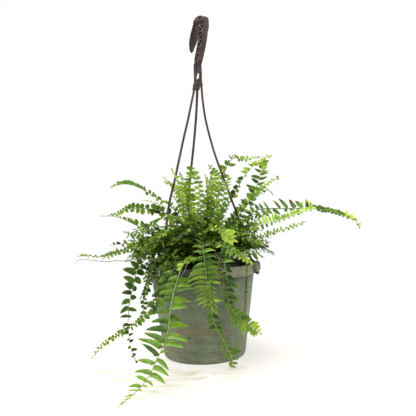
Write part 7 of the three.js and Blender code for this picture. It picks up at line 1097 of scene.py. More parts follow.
        (0.8864, -1, 9.5, 5.6, 94, 1, 0.53, 0, 0.12, 0.15, 0), (0.9318, -1, 7.2, 5.2, 92, 1, 0.74, 0, 0.12, 0.15, 0), (0.9545, 1, 7.7, 6.7, 137, 1, 0.71, 0, 0.12, 0.15, 0),
        (0.9773, -1, 6.7, 4.8, 90, 1, 0.77, 0, 0.12, 0.15, 0), (0.9886, 1, 6.4, 5.9, 64, 1, 0.66, 0, 0.12, 0.15, 0),
    ],
    "frond_top_middle_tall": [
        (0.4124, 1, 13.8, 8.4, 107, 15, 0.5, 0, 0.15, 0.1, 0), (0.4536, -1, 14.2, 8.4, 92, -14, 0.6, 0, 0.15, 0.1, 0), (0.4845, 1, 14.4, 8.3, 106, 15, 0.55, 0, 0.15, 0.1, 0),
        (0.5258, -1, 14.3, 8, 92, -14, 0.6, 0, 0.15, 0.1, 0), (0.5464, 1, 14.5, 8.3, 106, 15, 0.6, 0, 0.15, 0.1, 0), (0.5773, -1, 14, 8, 85, -14, 0.64, 0, 0.15, 0.1, 0),
        (0.6082, 1, 14.7, 8.3, 106, 15, 0.64, 0, 0.15, 0.1, 0), (0.6392, -1, 13.8, 7.6, 83, -14, 0.73, 0, 0.15, 0.1, 0), (0.6598, 1, 14.6, 7.9, 110, 15, 0.73, 0, 0.15, 0.1, 0),
        (0.6907, -1, 13.1, 7.2, 79, -14, 0.76, 0, 0.15, 0.1, 0), (0.7113, 1, 14.7, 7.9, 112, 15, 0.76, 0, 0.15, 0.1, 0), (0.732, -1, 13.8, 6.8, 73, -14, 0.73, 0, 0.15, 0.1, 0),
        (0.7526, 1, 14.5, 7.6, 111, 15, 0.79, 0, 0.15, 0.1, 0), (0.7732, -1, 14.8, 6.8, 71, -9, 0.68, 0, 0.15, 0.1, 0), (0.7938, 1, 14.1, 6.8, 106, 14, 0.81, 0, 0.15, 0.1, 0),
        (0.8247, -1, 14, 6.8, 80, -14, 0.76, 0, 0.15, 0.1, 0), (0.8351, 1, 12.6, 6, 98, 14, 0.79, 0, 0.15, 0.1, 0), (0.866, -1, 14.1, 6.4, 83, -14, 0.73, 0, 0.15, 0.1, 0),
        (0.8866, 1, 12, 6, 94, 13, 0.85, 0, 0.15, 0.1, 0), (0.9072, -1, 12.6, 6, 94, -15, 0.6, 0, 0.15, 0.1, 0), (0.9175, 1, 8.3, 5.7, 99, 8, 0.43, 0, 0.15, 0.1, 0),
        (0.9381, -1, 9.3, 5.3, 98, -10, 0.64, 0, 0.15, 0.1, 0), (0.9691, 1, 5.8, 3.8, 95, 7, 0.87, 0, 0.15, 0.1, 0), (0.9794, -1, 6.6, 3.4, 97, -11, 0.84, 0, 0.15, 0.1, 0),
        (0.9897, 1, 4.2, 4.5, 18, -12, 0.68, 0, 0.15, 0.1, 0),
    ],
    "frond_top_middle_right": [
        (0.5955, 1, 9.8, 6.6, 91, 1, 0.41, 0, 0.15, 0.05, 0), (0.6404, -1, 9.4, 6.6, 104, 0, 0.53, 0, 0.15, 0.05, 0), (0.6629, 1, 10.3, 6.6, 89, 0, 0.46, 0, 0.15, 0.05, 0),
        (0.7079, -1, 9.8, 6.2, 88, 0, 0.58, 0, 0.15, 0.05, 0), (0.7303, 1, 10.3, 6.6, 87, 0, 0.53, 0, 0.15, 0.05, 0), (0.764, -1, 9.3, 4.4, 74, 0, 0.55, 0, 0.15, 0.05, 0),
        (0.7978, 1, 9.1, 5.8, 93, 0, 0.58, 0, 0.15, 0.05, 0), (0.8202, -1, 10.2, 3.6, 75, 0, 0.41, 0, 0.15, 0.05, 0), (0.8427, 1, 12.6, 4.4, 84, 0, 0.78, 0, 0.15, 0.05, 0),
        (0.8652, -1, 11.2, 4, 95, 0, 0.55, 0, 0.15, 0.05, 0), (0.8876, 1, 11.9, 3.6, 73, 0, 0.78, 0, 0.15, 0.05, 0), (0.8989, -1, 11.3, 3.3, 102, 0, 0.63, 0, 0.15, 0.05, 0),
        (0.9213, 1, 12.2, 3.3, 55, 0, 0.78, 0, 0.15, 0.05, 0), (0.9326, -1, 9.6, 3.3, 104, 0, 0.66, 0, 0.15, 0.05, 0), (0.9551, 1, 11.4, 2.9, 39, 0, 0.76, 0, 0.15, 0.05, 0),
        (0.9775, 1, 7.6, 2.9, 42, 0, 0.78, 0, 0.15, 0.05, 0), (0.9888, -1, 6.8, 3.3, 17, 1, 0.78, 0, 0.15, 0.05, 0),
    ],
    "frond_front_lobed": [
        (0.5455, 1, 11.6, 5.4, 161, 35, 0.6, 0, 0.12, 0.02, 0), (0.5714, 1, 7.6, 4.3, 52, 1, 0.8, 0, 0.12, 0.02, 0), (0.6234, -1, 7.6, 4.7, 120, 0, 0.66, 0, 0.12, 0.02, 0),
        (0.6494, 1, 7.5, 5, 65, 0, 0.42, 0, 0.12, 0.02, 0), (0.6753, -1, 7.6, 5.7, 72, 0, 0.72, 0, 0.12, 0.02, 0), (0.7013, 1, 9.8, 6.4, 67, 0, 0.56, 0, 0.12, 0.02, 0),
        (0.7273, -1, 10.9, 7.8, 68, 0, 0.74, 0, 0.12, 0.02, 0), (0.7403, 1, 14.7, 8.2, 66, 0, 0.6, 0, 0.12, 0.02, 0), (0.7662, -1, 13, 8.9, 66, 0, 0.76, 0, 0.25, 0.02, 0),
        (0.7792, 1, 18.7, 8.9, 73, 0, 0.66, 0, 0.2, 0.02, 0), (0.8052, -1, 13.5, 7.4, 66, 0, 0.84, 0, 0.2, 0.02, 0), (0.8052, 1, 18.3, 7.8, 74, 0, 0.74, 0, 0.25, 0.02, 0),
        (0.8442, -1, 11.6, 8.5, 51, 0, 0.8, 0, 0.2, 0.02, 0), (0.8442, 1, 15.6, 7.1, 65, 0, 0.82, 0, 0.25, 0.02, 0), (0.8831, -1, 11.7, 7.8, 28, 1, 0.92, 0, 0.2, 0.02, 0),
        (0.8831, 1, 15.2, 6.3, 36, 0, 0.9, 0, 0.12, 0.02, 0),
    ],
    "frond_front_crossing": [
        (0.4051, -1, 9.8, 5.4, 138, 2, 0.3, 0, 0.2, 0.05, 0), (0.4684, -1, 12.9, 6.1, 111, 1, 0.24, 0, 0.2, 0.05, 0), (0.5063, 1, 6.8, 4.6, 94, 1, 0.28, 0, 0.2, 0.05, 0),
        (0.5443, -1, 12, 5.7, 137, 1, 0.6, 0, 0.2, 0.05, 0), (0.5696, 1, 7.3, 5.7, 72, 1, 0.36, 0, 0.2, 0.05, 0), (0.5949, -1, 11.8, 7.1, 90, 1, 0.26, 0, 0.2, 0.05, 0),
        (0.6203, 1, 9.8, 7.1, 64, 1, 0.42, 0, 0.2, 0.05, 0), (0.6582, -1, 12.4, 7.7, 89, 1, 0.26, 0, 0.2, 0.05, 0), (0.6835, 1, 10.7, 7.4, 64, 1, 0.46, 0, 0.2, 0.05, 0),
        (0.7215, -1, 11, 7.7, 99, 1, 0.54, 0, 0.2, 0.05, 0), (0.7342, 1, 11.2, 7, 58, 1, 0.5, 0, 0.2, 0.05, 0), (0.7848, -1, 7.7, 7, 102, 1, 0.66, 0, 0.2, 0.05, 0),
        (0.7975, 1, 9.9, 7, 54, 1, 0.56, 0, 0.2, 0.05, 0), (0.8481, -1, 6.8, 6.3, 101, 1, 0.74, 0, 0.2, 0.05, 0), (0.8608, 1, 8.6, 6.6, 50, 1, 0.62, 0, 0.2, 0.05, 0),
        (0.9114, -1, 6.2, 5.9, 110, 0, 0.82, 0, 0.2, 0.05, 0), (0.9241, 1, 6.4, 5.9, 49, 1, 0.72, 0, 0.2, 0.05, 0), (0.962, -1, 4.8, 5.2, 108, 0, 0.88, 0, 0.2, 0.05, 0),
        (0.9747, 1, 4.6, 4.9, 47, 1, 0.86, 0, 0.2, 0.05, 0), (1, -1, 5.1, 4.5, 24, 2, 0.9, 0, 0.2, 0.05, 0),
    ],
    "frond_middle_left_a": [
        (0.4634, -1, 7.9, 6.2, 14, 28, 0.46, 0, 0.15, 0.1, 0), (0.4878, 1, 9, 5.8, 98, 3, 0.62, 0, 0.15, 0.1, 0), (0.5244, 1, 9.2, 5.8, 95, 3, 0.72, 0, 0.15, 0.1, 0),
        (0.5488, 1, 10.1, 6.9, 33, 7, 0.6, 0, 0.15, 0.1, 0), (0.5976, 1, 10.4, 6.5, 17, 19, 0.7, 0, 0.15, 0.1, 0), (0.6098, -1, 12.9, 4.7, 94, 3, 0.72, 0, 0.15, 0.1, 0),
        (0.6463, 1, 10.9, 6.9, 14, 32, 0.74, 0, 0.15, 0.1, 0), (0.6829, -1, 8.5, 6.5, 55, 4, 0.62, 0, 0.15, 0.1, 0), (0.7073, -1, 19.2, 4.7, 131, -8, 0.9, 0, 0.15, 0.3, 0),
        (0.7073, 1, 11.5, 6.1, 33, 8, 0.66, 0, 0.15, 0.1, 0), (0.7439, -1, 20.6, 3.9, 125, -8, 0.86, 0, 0.15, 0.3, 0), (0.7683, -1, 8.6, 6.4, 69, 4, 0.5, 0, 0.15, 0.1, 0),
        (0.8171, -1, 7.9, 6.8, 22, 13, 0.74, 0, 0.15, 0.1, 0), (0.8171, -1, 26.4, 8.2, 6, 11, 0.84, 0, -0.1, 0.1, 0), (0.878, -1, 13.4, 5.3, 61, 4, 0.42, 0, 0.15, 0.1, 0),
        (0.9146, -1, 16.3, 5.7, 73, 3, 0.5, 0, 0.15, 0.1, 0), (0.9634, -1, 13.4, 6.4, 59, 4, 0.56, 0, 0.15, 0.1, 0),
    ],
    "frond_middle_left_b": [
        (0.0909, -1, 20.3, 9.4, 19, 65, 0.3, 0, 0.2, 0.12, 0), (0.1688, 1, 10, 8.2, 72, 4, 0.22, 0, 0.2, 0.12, 0), (0.2338, -1, 9.6, 6.7, 125, 3, 0.12, 0, 0.2, 0.12, 0),
        (0.2987, 1, 9.4, 7.7, 79, 4, 0.24, 0, 0.2, 0.12, 0), (0.3377, 1, 12.9, 9.9, 27, 46, 0.44, 0, 0.2, 0.12, 0), (0.3636, 1, 22.5, 12.1, 47, 19, 0.56, 0, 0.2, 0.12, 0),
        (0.4156, -1, 14.5, 5.1, 122, 0, 0.68, 0, 0.2, 0.12, 0), (0.4286, -1, 14.9, 4, 120, 0, 0.78, 0, 0.2, 0.12, 0), (0.4805, -1, 19.6, 8.7, 110, -4, 0.72, 0, 0.2, 0.12, 0),
        (0.5195, 1, 13.4, 6.9, 93, 12, 0.4, 0, 0.2, 0.12, 0), (0.5584, -1, 16.4, 8.3, 84, 4, 0.2, 0, 0.2, 0.12, 0), (0.5584, 1, 10.8, 7.2, 48, 32, 0.52, 0, 0.2, 0.12, 0),
        (0.6104, 1, 14.7, 6.5, 53, 38, 0.62, 0, 0.2, 0.12, 0), (0.6364, -1, 19.4, 6.1, 117, -30, 0.16, 0, 0.2, 0.12, 0), (0.6623, 1, 15.3, 6.4, 58, 35, 0.66, 0, 0.2, 0.12, 0),
        (0.6883, -1, 21.5, 4.3, 118, -30, 0.8, 0, 0.3, 0.12, 0), (0.7273, 1, 12.8, 7.1, 65, 33, 0.62, 0, 0.2, 0.12, 0), (0.7532, -1, 14.1, 7.5, 83, -19, 0.26, 0, 0.2, 0.12, 0),
        (0.8052, 1, 9.4, 6.7, 83, 37, 0.66, 0, 0.2, 0.12, 0), (0.8312, -1, 15, 6.7, 90, -22, 0.34, 0, 0.2, 0.12, 0), (0.8701, 1, 8.2, 6, 84, 37, 0.5, 0, 0.2, 0.12, 0),
        (0.9091, -1, 9.7, 6, 75, -21, 0.42, 0, 0.2, 0.12, 0),
    ],
    "frond_left_low_back": [
        (0.4556, 1, 9.2, 6, 117, 21, 0.5, 0, 0.5, 0.3, 0), (0.5, -1, 11.4, 6.4, 119, -8, 0.4, 0, 0.5, 0.3, 0), (0.5444, 1, 9.3, 6, 120, 21, 0.54, 0, 0.5, 0.3, 0),
        (0.5889, -1, 10.4, 6, 115, -8, 0.42, 0, 0.5, 0.3, 0), (0.6333, 1, 8.3, 5.6, 124, 21, 0.56, 0, 0.5, 0.3, 0), (0.6778, -1, 8.5, 5.2, 109, -8, 0.42, 0, 0.5, 0.3, 0),
        (0.7222, 1, 6.1, 4.4, 122, 17, 0.5, 0, 0.5, 0.3, 0), (0.7667, -1, 10.6, 7.6, 90, -10, 0.66, 0, 0.5, 0.3, 0), (0.7889, -1, 13.4, 3.6, 91, -10, 0.08, 0.9, 0.5, 0.3, 0),
        (0.8111, 1, 10.9, 9.2, 106, 12, 0.62, 0, 0.5, 0.3, 0), (0.8333, 1, 5.9, 3.2, 135, 23, 0.1, 0.9, 0.5, 0.3, 0), (0.8556, -1, 7.9, 4.4, 109, -8, 0.1, 0.9, 0.5, 0.3, 0),
        (0.9, 1, 6, 4.4, 123, 17, 0.1, 0.8, 0.5, 0.3, 0), (0.9222, 1, 8.2, 4.8, 120, 17, 0.12, 0.9, 0.5, 0.3, 0), (0.9667, 1, 7.7, 4.4, 107, 9, 0.1, 0.9, 0.5, 0.3, 0),
    ],
}


# ---------------------------------------------------------------- pot
def rounded(pts, r, n=3):
    """A polyline with its corners turned into short arcs. pts: (a, b) pairs; ends stay."""
    pts = np.array(pts, float)
    out = [pts[0]]
    for p, c, q in zip(pts[:-2], pts[1:-1], pts[2:]):
        lp, lq = np.linalg.norm(p - c), np.linalg.norm(q - c)
        d = min(r, lp * 0.42, lq * 0.42)
        a, b = c + (p - c) / lp * d, c + (q - c) / lq * d
        for k in range(n + 1):
            t = k / n
            out.append((1 - t) ** 2 * a + 2 * t * (1 - t) * c + t * t * b)
    out.append(pts[-1])
    return np.array(out)


def spun(shape, pts, segments, tint=(0, 0, 0.5, 0), wobble=0.0, mat=0, lump=None):
    """A closed body turned from a profile whose ends lie on the axis."""
    pts = np.asarray(pts, float)
    a = np.arange(segments) * 2 * math.pi / segments
    body = pts[1:-1]
    r = body[:, None, 0] + wobble * (np.sin(3 * a + 0.7) * 0.6 + np.sin(5 * a + body[:, None, 1] * 0.02) * 0.4)
    z = np.repeat(body[:, 1][:, None], segments, axis=1)
    V = np.stack([r * np.cos(a), r * np.sin(a), z], axis=-1)
    if lump is not None:
        V = lump(V)
    k = len(body)
    V = np.vstack([V.reshape(-1, 3), [0, 0, pts[0, 1]], [0, 0, pts[-1, 1] if lump is None else lump(np.array([[[0, 0, pts[-1, 1]]]], float))[0, 0, 2]]])
    i = np.arange(k - 1)[:, None] * segments
    j = np.arange(segments)[None, :]
    jn = (j + 1) % segments
    quads = np.stack([i + j, i + jn, i + segments + jn, i + segments + j], axis=-1).reshape(-1, 4)
    j = np.arange(segments)
    jn = (j + 1) % segments
    e = (k - 1) * segments
    tris = np.vstack([
        np.stack([jn, j, np.full(segments, k * segments)], axis=-1),
        np.stack([e + j, e + jn, np.full(segments, k * segments + 1)], axis=-1),
    ])
    shape.add(V, tint, quads=quads, tris=tris, mat=mat)


def loft(shape, rings, tint=(0, 0, 0.5, 0), mat=0):
    """A closed body through rings of the same number of points."""
    rings = np.asarray(rings, float)
    n, k = rings.shape[:2]
    i = np.arange(n - 1)[:, None] * k
    j = np.arange(k)[None, :]
    jn = (j + 1) % k
    quads = np.stack([i + j, i + jn, i + k + jn, i + k + j], axis=-1).reshape(-1, 4)
    shape.add(rings.reshape(-1, 3), tint, quads=quads, rings=[list(range(k))[::-1], list(range((n - 1) * k, n * k))], mat=mat)


def section(pts, inset):
    """A closed profile drawn in towards its middle by about inset."""
    pts = np.asarray(pts, float)
    c = pts.mean(axis=0)
    d = pts - c
    half = np.abs(d).max(axis=0)
    return c + d * np.maximum(0.05, 1 - inset / half)


def at_rim(phi, R, z, t):
    a = math.radians(phi)
    return np.array([R * math.cos(a) - t * math.sin(a), R * math.sin(a) + t * math.cos(a), z])


def bar(shape, pts, phi, t0, t1, edge=0.9, mat=0, tint=(0, 0, 0.5, 0)):
    """A (radius, height) profile drawn along the rim's tangent, its two ends rounded off."""
    pts = rounded(np.vstack([pts, pts[:1]]), 0.9, 3)[1:-1]
    ends = [(0.0, edge * 0.9), (edge * 0.12, edge * 0.5), (edge * 0.4, edge * 0.18), (edge, 0.0)]
    rows = [(t0 + a, b) for a, b in ends] + [(t1 - a, b) for a, b in ends[::-1]]
    out = []
    for t, ins in rows:
        s = section(pts, ins)
        out.append([at_rim(phi, R, z, t) for R, z in s])
    loft(shape, out, tint=tint, mat=mat)


POT_LINE = [
    [0, 0], [22, 0], [24, 3], [60.5, 3], [63, 0], [73.5, 0], [76.7, 1.3], [79, 6],
    *[[float(wall_r(z)), z] for z in range(14, 156, 8)], [float(wall_r(155.6)), 155.6],
    [99.5, 157.6], [99.6, 170.6], [100.5, 171.8], [102.3, 171.8], [103.1, 170.8], [103.1, 157.4], [103.8, 156.6], [104.6, 156.8], [105, 158],
    [105, 172.8], [104.3, 174.9], [102.8, 176], [100.6, 176], [98.6, 174.6], [97.7, 172],
    [float(wall_r(156.6)) - 1.8, 154.6], *[[float(wall_r(z)) - 1.8, z] for z in range(146, 12, -12)], [float(wall_r(7)) - 1.8, 7], [74.6, 4.8], [0, 4.8],
]
s = Shape()
prof = rounded(POT_LINE, 0.8, 2)
spun(s, prof, 168, wobble=0.12)
pot = s.make("pot_body", [POT])
# drain holes
h = Shape()
for i in range(8):
    a = (i + 0.5) * 2 * math.pi / 8
    c = np.array([42 * math.cos(a), 42 * math.sin(a), 0])
    tube(h, [c + [0, 0, -2], c + [0, 0, 8]], [5.0, 5.0], [0, 0, 0, 0], sides=28)
cut = h.make("cut", [POT])
mod = pot.modifiers.new("holes", "BOOLEAN")
mod.operation, mod.object, mod.solver = "DIFFERENCE", cut, "EXACT"
dep = bpy.context.evaluated_depsgraph_get()
new = bpy.data.meshes.new_from_object(pot.evaluated_get(dep), preserve_all_data_layers=True, depsgraph=dep)
pot.modifiers.clear()
old = pot.data
pot.data = new
bpy.data.meshes.remove(old)
bpy.data.objects.remove(cut)
lugs = Shape()
for phi in LUG_PHI:
    pad = [[104, 160.6], [110.9, 161], [112.5, 163], [112.5, 173.5], [111.1, 177.2], [108.3, 179.1], [102.4, 179.1], [101.4, 177.4], [101.4, 175.4], [104, 172]]
    bar(lugs, pad, phi, 4.9, 13)
    bar(lugs, pad, phi, -13, -4.9)
    back = [[104, 160.6], [108.2, 160.6], [108.2, 172], [106.2, 173.6], [104, 173.6]]
    bar(lugs, back, phi, -5.3, 5.3, edge=0.4)
lug = lugs.make("lugs", [POT])
bpy.ops.object.select_all(action="DESELECT")
lug.select_set(True)
pot.select_set(True)
bpy.context.view_layer.objects.active = pot
bpy.ops.object.join()
pot.data.polygons.foreach_set("use_smooth", np.ones(len(pot.data.polygons), bool))
pot.data.set_sharp_from_angle(angle=math.radians(38))
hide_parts("pot")
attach(pot, "root")

# ---------------------------------------------------------------- soil
def ripple(x, y, seed, scale):
    """Smooth repeatable noise for lumps: a few crossing waves."""
    r = np.random.default_rng(seed)
    out = 0
    for k in range(9):
        a, f, p = r.uniform(0, 6.28), r.uniform(0.6, 1.6) / scale, r.uniform(0, 6.28)
        out = out + np.sin((x * math.cos(a) + y * math.sin(a)) * f * 6.28 + p)
    return out / 4.5


s = Shape()


def lumps(V):
    top = np.clip((V[..., 2] - 159.5) / 1.5, 0, 1)
    x, y = V[..., 0], V[..., 1]
    V[..., 2] += top * (ripple(x, y, 3, 26) * 1.1 + ripple(x, y, 4, 9) * 0.7 + ripple(x, y, 5, 4) * 0.35)
    return V


rim = [[r, 162.0] for r in np.linspace(94.0, 3.0, 46)]
spun(s, [[0, 5.2], [70, 5.2], [float(wall_r(9)) - 2.3, 8.4], [float(wall_r(80)) - 2.3, 80], [float(wall_r(150)) - 2.3, 150], [float(wall_r(157)) - 3.2, 157.5], [95.2, 160.5], *rim, [0, 162]], 132, lump=lumps)
rng = np.random.default_rng(11)
bm = bmesh.new()
bmesh.ops.create_icosphere(bm, subdivisions=1, radius=1.0)
ICO_V = np.array([v.co[:] for v in bm.verts])
ICO_F = np.array([[v.index for v in f.verts] for f in bm.faces])
bm.free()
for k in range(520):
    a, r = rng.uniform(0, 6.283), 93.5 * math.sqrt(rng.uniform(0.22, 1.0))
    size = rng.uniform(0.5, 2.1) * np.array([1, rng.uniform(0.5, 1), rng.uniform(0.35, 0.8)])
    v = ICO_V * (1 + rng.normal(0, 0.16, (len(ICO_V), 1))) * size
    q = rng.uniform(0, 6.283)
    v = turn(v, unit(rng.normal(0, 1, 3)), np.full(len(v), q))
    x, y = r * math.cos(a), r * math.sin(a)
    z = lumps(np.array([[[x, y, 162.0]]]))[0, 0, 2]
    s.add(v + [x, y, z + 0.2], (0, 0, rng.uniform(0, 1), 0), tris=ICO_F)
soil = s.make("soil_fill", [SOIL], sharp=65)
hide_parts("potting_soil")
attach(soil, "root")

# ---------------------------------------------------------------- crown: rootstock, old leaf feet, coiled young leaves
rng = np.random.default_rng(21)
s = Shape()
pts = [[0, 161.0], [47, 161.0], [49.5, 166]] + [[50 * math.cos(e), 166 + 34 * math.sin(e)] for e in np.linspace(0.12, 1.45, 16)] + [[0, 200]]


def knobs(V):
    x, y, z = V[..., 0], V[..., 1], V[..., 2]
    k = 1 + 0.055 * ripple(x + z, y - z, 7, 16) + 0.035 * ripple(x - z, y + z, 8, 7) - 0.04
    V = V.copy()
    V[..., 0] *= k
    V[..., 1] *= k
    V[..., 2] = np.where(z > 165, 165 + (z - 165) * (0.9 + 0.10 * ripple(x, y, 9, 14)), z)
    return V


spun(s, pts, 90, tint=(0, 0, 0.1, 0), lump=knobs)


def on_dome(az, el, k=1.0):
    a, e = math.radians(az), math.radians(el)
    n = np.array([math.cos(a) * math.cos(e), math.sin(a) * math.cos(e), math.sin(e)])
    return np.array([0, 0, 166.0]) + n * np.array([50, 50, 35]) * k, unit(n / np.array([50, 50, 35]))


for k in range(90):  # feet of old leaves
    az, el = rng.uniform(0, 360), rng.uniform(4, 85)
    p, n = on_dome(az, el, 0.93)
    d = unit(n + rng.normal(0, 0.3, 3) + [0, 0, 0.5])
    ln, r = rng.uniform(7, 19), rng.uniform(0.9, 1.9)
    P = np.array([p + d * ln * t + Z * 2.0 * t * t for t in np.linspace(0, 1, 5)])
    tube(s, P, r * np.array([1.25, 1.1, 1.0, 0.92, 0.55]), [0, 0, rng.uniform(0.0, 0.55), 0], sides=7)
for k in range(300):  # scales, thin and pointed
    az, el = rng.uniform(0, 360), rng.uniform(4, 88)
    p, n = on_dome(az, el, 0.96)
    d = unit(n * 0.7 + rng.normal(0, 0.45, 3) + [0, 0, 0.4])
    ln = rng.uniform(3, 6.5)
    side = unit(np.cross(d, n + [0.01, 0.02, 0]))
    up = np.cross(side, d)
    w = rng.uniform(0.4, 0.75)
    V = [p - side * w, p + side * w, p + d * ln * 0.6 + side * w * 0.6 + n * 0.4, p + d * ln + n * 1.1, p + d * ln * 0.6 - side * w * 0.6 + n * 0.4, p + up * 0.25 + d * ln * 0.4 + n * 0.5]
    s.add(V, (0, 0, rng.uniform(0, 0.5), 0), tris=[(0, 1, 5), (1, 2, 5), (2, 3, 5), (3, 4, 5), (4, 0, 5), (0, 4, 3), (0, 3, 2), (0, 2, 1)])
for k in range(17):  # coiled young leaves
    az, el = rng.uniform(0, 360), rng.uniform(35, 85)
    p, n = on_dome(az, el, 0.95)
    side = unit(np.cross(Z, n + [0.01, 0, 0]))
    d = unit(n + [0, 0, 1.2])
    ht = rng.uniform(14, 44)
    P = [p + d * ht * t for t in np.linspace(0, 1, 8)]
    R0 = rng.uniform(2.4, 4.0)
    q = np.cross(side, d)
    c = P[-1] + q * R0
    for t in np.linspace(0.15, 1, 26):
        a = math.pi + t * 2.3 * 2 * math.pi * -1
        rr = R0 * (1 - 0.82 * t)
        P.append(c + q * rr * math.cos(a) - d * rr * math.sin(a) * 1.0)
    P = np.array(P)
    rad = np.interp(np.linspace(0, 1, len(P)), [0, 0.3, 1], [1.35, 1.05, 0.45])
    tube(s, P, rad, [0, 0, rng.uniform(0.5, 0.95), 0], sides=8)
crown = s.make("rootstock", [SCALES], sharp=60)
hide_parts("fern_crown")
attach(crown, "root")


# ---------------------------------------------------------------- hanger: hook, plate with its eye, boss, three arms
def hook_point(s, w, z):
    return np.array([3.0 - 0.6 * s + 0.8 * w, 0.8 * s + 0.6 * w, z])


def slab(shape, outer, holes, half, edge, place, mat=0, tint=(0, 0, 0.5, 0)):
    """A flat plate with holes, its edges rounded over by edge, set in place by place(a, b, height)."""
    cu = bpy.data.curves.new("slab", "CURVE")
    cu.dimensions, cu.fill_mode = "2D", "BOTH"
    cu.extrude, cu.bevel_depth, cu.bevel_resolution, cu.offset = half - edge, edge, 2, -edge
    for loop in [outer, *holes]:
        sp = cu.splines.new("POLY")
        sp.points.add(len(loop) - 1)
        for p, (a, b) in zip(sp.points, loop):
            p.co = (a, b, 0, 1)
        sp.use_cyclic_u = True
    ob = bpy.data.objects.new("slab", cu)
    bpy.context.scene.collection.objects.link(ob)
    dep = bpy.context.evaluated_depsgraph_get()
    me = bpy.data.meshes.new_from_object(ob.evaluated_get(dep))
    bm = bmesh.new()
    bm.from_mesh(me)
    bmesh.ops.remove_doubles(bm, verts=bm.verts, dist=0.01)
    bmesh.ops.recalc_face_normals(bm, faces=bm.faces)
    bm.verts.index_update()
    V = np.array([place(*v.co) for v in bm.verts])
    rings = [[v.index for v in f.verts] for f in bm.faces]
    bm.free()
    # mirrored placements turn faces inside out: put them right
    a, b, c = (np.array(place(*p)) - np.array(place(0, 0, 0)) for p in ((1, 0, 0), (0, 1, 0), (0, 0, 1)))
    if np.dot(np.cross(a, b), c) < 0:
        rings = [r[::-1] for r in rings]
    shape.add(V, tint, rings=rings, mat=mat)
    bpy.data.objects.remove(ob)
    bpy.data.curves.remove(cu)
    bpy.data.meshes.remove(me)


def inset(poly, d):
    P = np.array(poly, float)
    x, y = P[:, 0], P[:, 1]
    if np.sum(x * np.roll(y, -1) - np.roll(x, -1) * y) < 0:
        P = P[::-1]
    lines = []
    for a, b in zip(P, np.roll(P, -1, axis=0)):
        n = np.array([-(b - a)[1], (b - a)[0]]) / np.linalg.norm(b - a)
        lines.append((n, n @ a + d))
    out = []
    for k in range(len(P)):
        (n1, c1), (n2, c2) = lines[k - 1], lines[k]
        out.append(np.linalg.solve(np.array([n1, n2]), np.array([c1, c2])))
    return np.array(out)


def round_section(a, b, r, n=4):
    """A rounded rectangle with half sides a and b."""
    out = []
    for cx, cy, q in ((a - r, b - r, 0), (r - a, b - r, 1), (r - a, r - b, 2), (a - r, r - b, 3)):
        for k in range(n + 1):
            t = (q + k / n) * math.pi / 2
            out.append((cx + r * math.cos(t), cy + r * math.sin(t)))
    return np.array(out)


def smooth_line(pts, n):
    P = np.array(pts, float)
    return spline(np.column_stack([P, np.zeros(len(P))]) if P.shape[1] == 2 else P, n)[0]


s = Shape()
OUTER = [[-3.0, 546], [-4.0, 556], [-7.2, 562], [-13.2, 573.5], [-20.4, 589], [-25.5, 602], [-29.1, 616], [-31.3, 630], [-31.0, 639.6], [-27, 645.2], [-20, 648.2], [-12, 648.9], [-5, 647.3], [0.6, 643.9], [3.4, 640.2]]
INNER = [[3.0, 546], [3.2, 556], [3.0, 567], [0.2, 578], [-6.0, 592], [-11.2, 606], [-14.2, 618], [-15.9, 630], [-15.9, 635.6], [-13.8, 640], [-11.2, 641.6], [-8.4, 641.8], [-5.2, 640.9], [-2.6, 639.4], [0.2, 636.8]]
outer2, inner2 = smooth_line(OUTER, 64)[:, :2], smooth_line(INNER, 58)[:, :2]
BAYS = [[[-10.2, 568], [3.0, 567]], [[-16.2, 580], [-0.6, 579.6]], [[-21.6, 592], [-6.0, 592]], [[-26.1, 604], [-10.5, 604]], [[-29.6, 619], [-14.4, 619]], [[-31.3, 631], [-16.0, 631]], [[-28.8, 643.2], [-15.2, 638]], [[-19.6, 648.2], [-12.4, 641.1]], [[-10.2, 648.6], [-8.4, 641.8]], [[-1.6, 645.2], [-4.2, 640.3]]]
pockets = []
for k in range(len(BAYS) - 1):
    rows = []
    for o, i in (BAYS[k], BAYS[k + 1]):
        o, i = np.array(o, float), np.array(i, float)
        d = unit(i - o)
        rows.append((o + d * 1.25, i - d * 1.25))
    (a, b), (c, d) = rows
    for tri in ([a, c, b], [b, c, d]) if k % 2 else ([a, c, d], [a, d, b]):
        t = inset(tri, 0.42)
        e1, e2 = t[1] - t[0], t[2] - t[0]
        if e1[0] * e2[1] - e1[1] * e2[0] < 3:
            continue
        soft = rounded(np.vstack([(t[-1] + t[0]) / 2, t, (t[-1] + t[0]) / 2]), 0.45, 3)[:-1]
        pockets.append(soft)
in_hook = lambda a, b, c: hook_point(a, c, b)
slab(s, [*outer2, *inner2[::-1]], pockets, 5.5, 0.4, in_hook)
core = inset([*outer2[1:-1], *inner2[-2:0:-1]], 0.9)
# the web behind the pockets takes the darkened copy of the plastic: painted shade in the pockets
slab(s, core, [], 4.2, 0.1, in_hook, mat=1)
# a thin rim round each pocket on both faces, in the brightened copy of the plastic: painted highlight on the rib edges
for tri in pockets:
    for w in (-5.45, 5.45):
        P = np.array([hook_point(a, w, b) for a, b in tri])
        k = len(P)
        T = unit(np.roll(P, -1, axis=0) - np.roll(P, 1, axis=0))
        A = np.tile(hook_point(0, 1, 0) - hook_point(0, 0, 0), (k, 1))
        F = np.cross(T, A)
        ring = np.array([P + (A * math.cos(a) + F * math.sin(a)) * 0.34 for a in np.arange(6) * math.pi / 3])
        i, j = np.meshgrid(np.arange(6), np.arange(k), indexing="ij")
        q = np.stack([i * k + j, i * k + (j + 1) % k, ((i + 1) % 6) * k + (j + 1) % k, ((i + 1) % 6) * k + j], axis=-1).reshape(-1, 4)
        s.add(ring.reshape(-1, 3), (0, 0, 0.5, 0), quads=q, mat=2)
# a thin bead across the flange where the cap ends, in the brightened copy of the plastic: painted glint
tube(s, [hook_point(-31.2, w, 619.9) for w in np.linspace(-5.9, 5.9, 9)], 0.5, (0, 0, 0.5, 0), sides=8, mat=2)
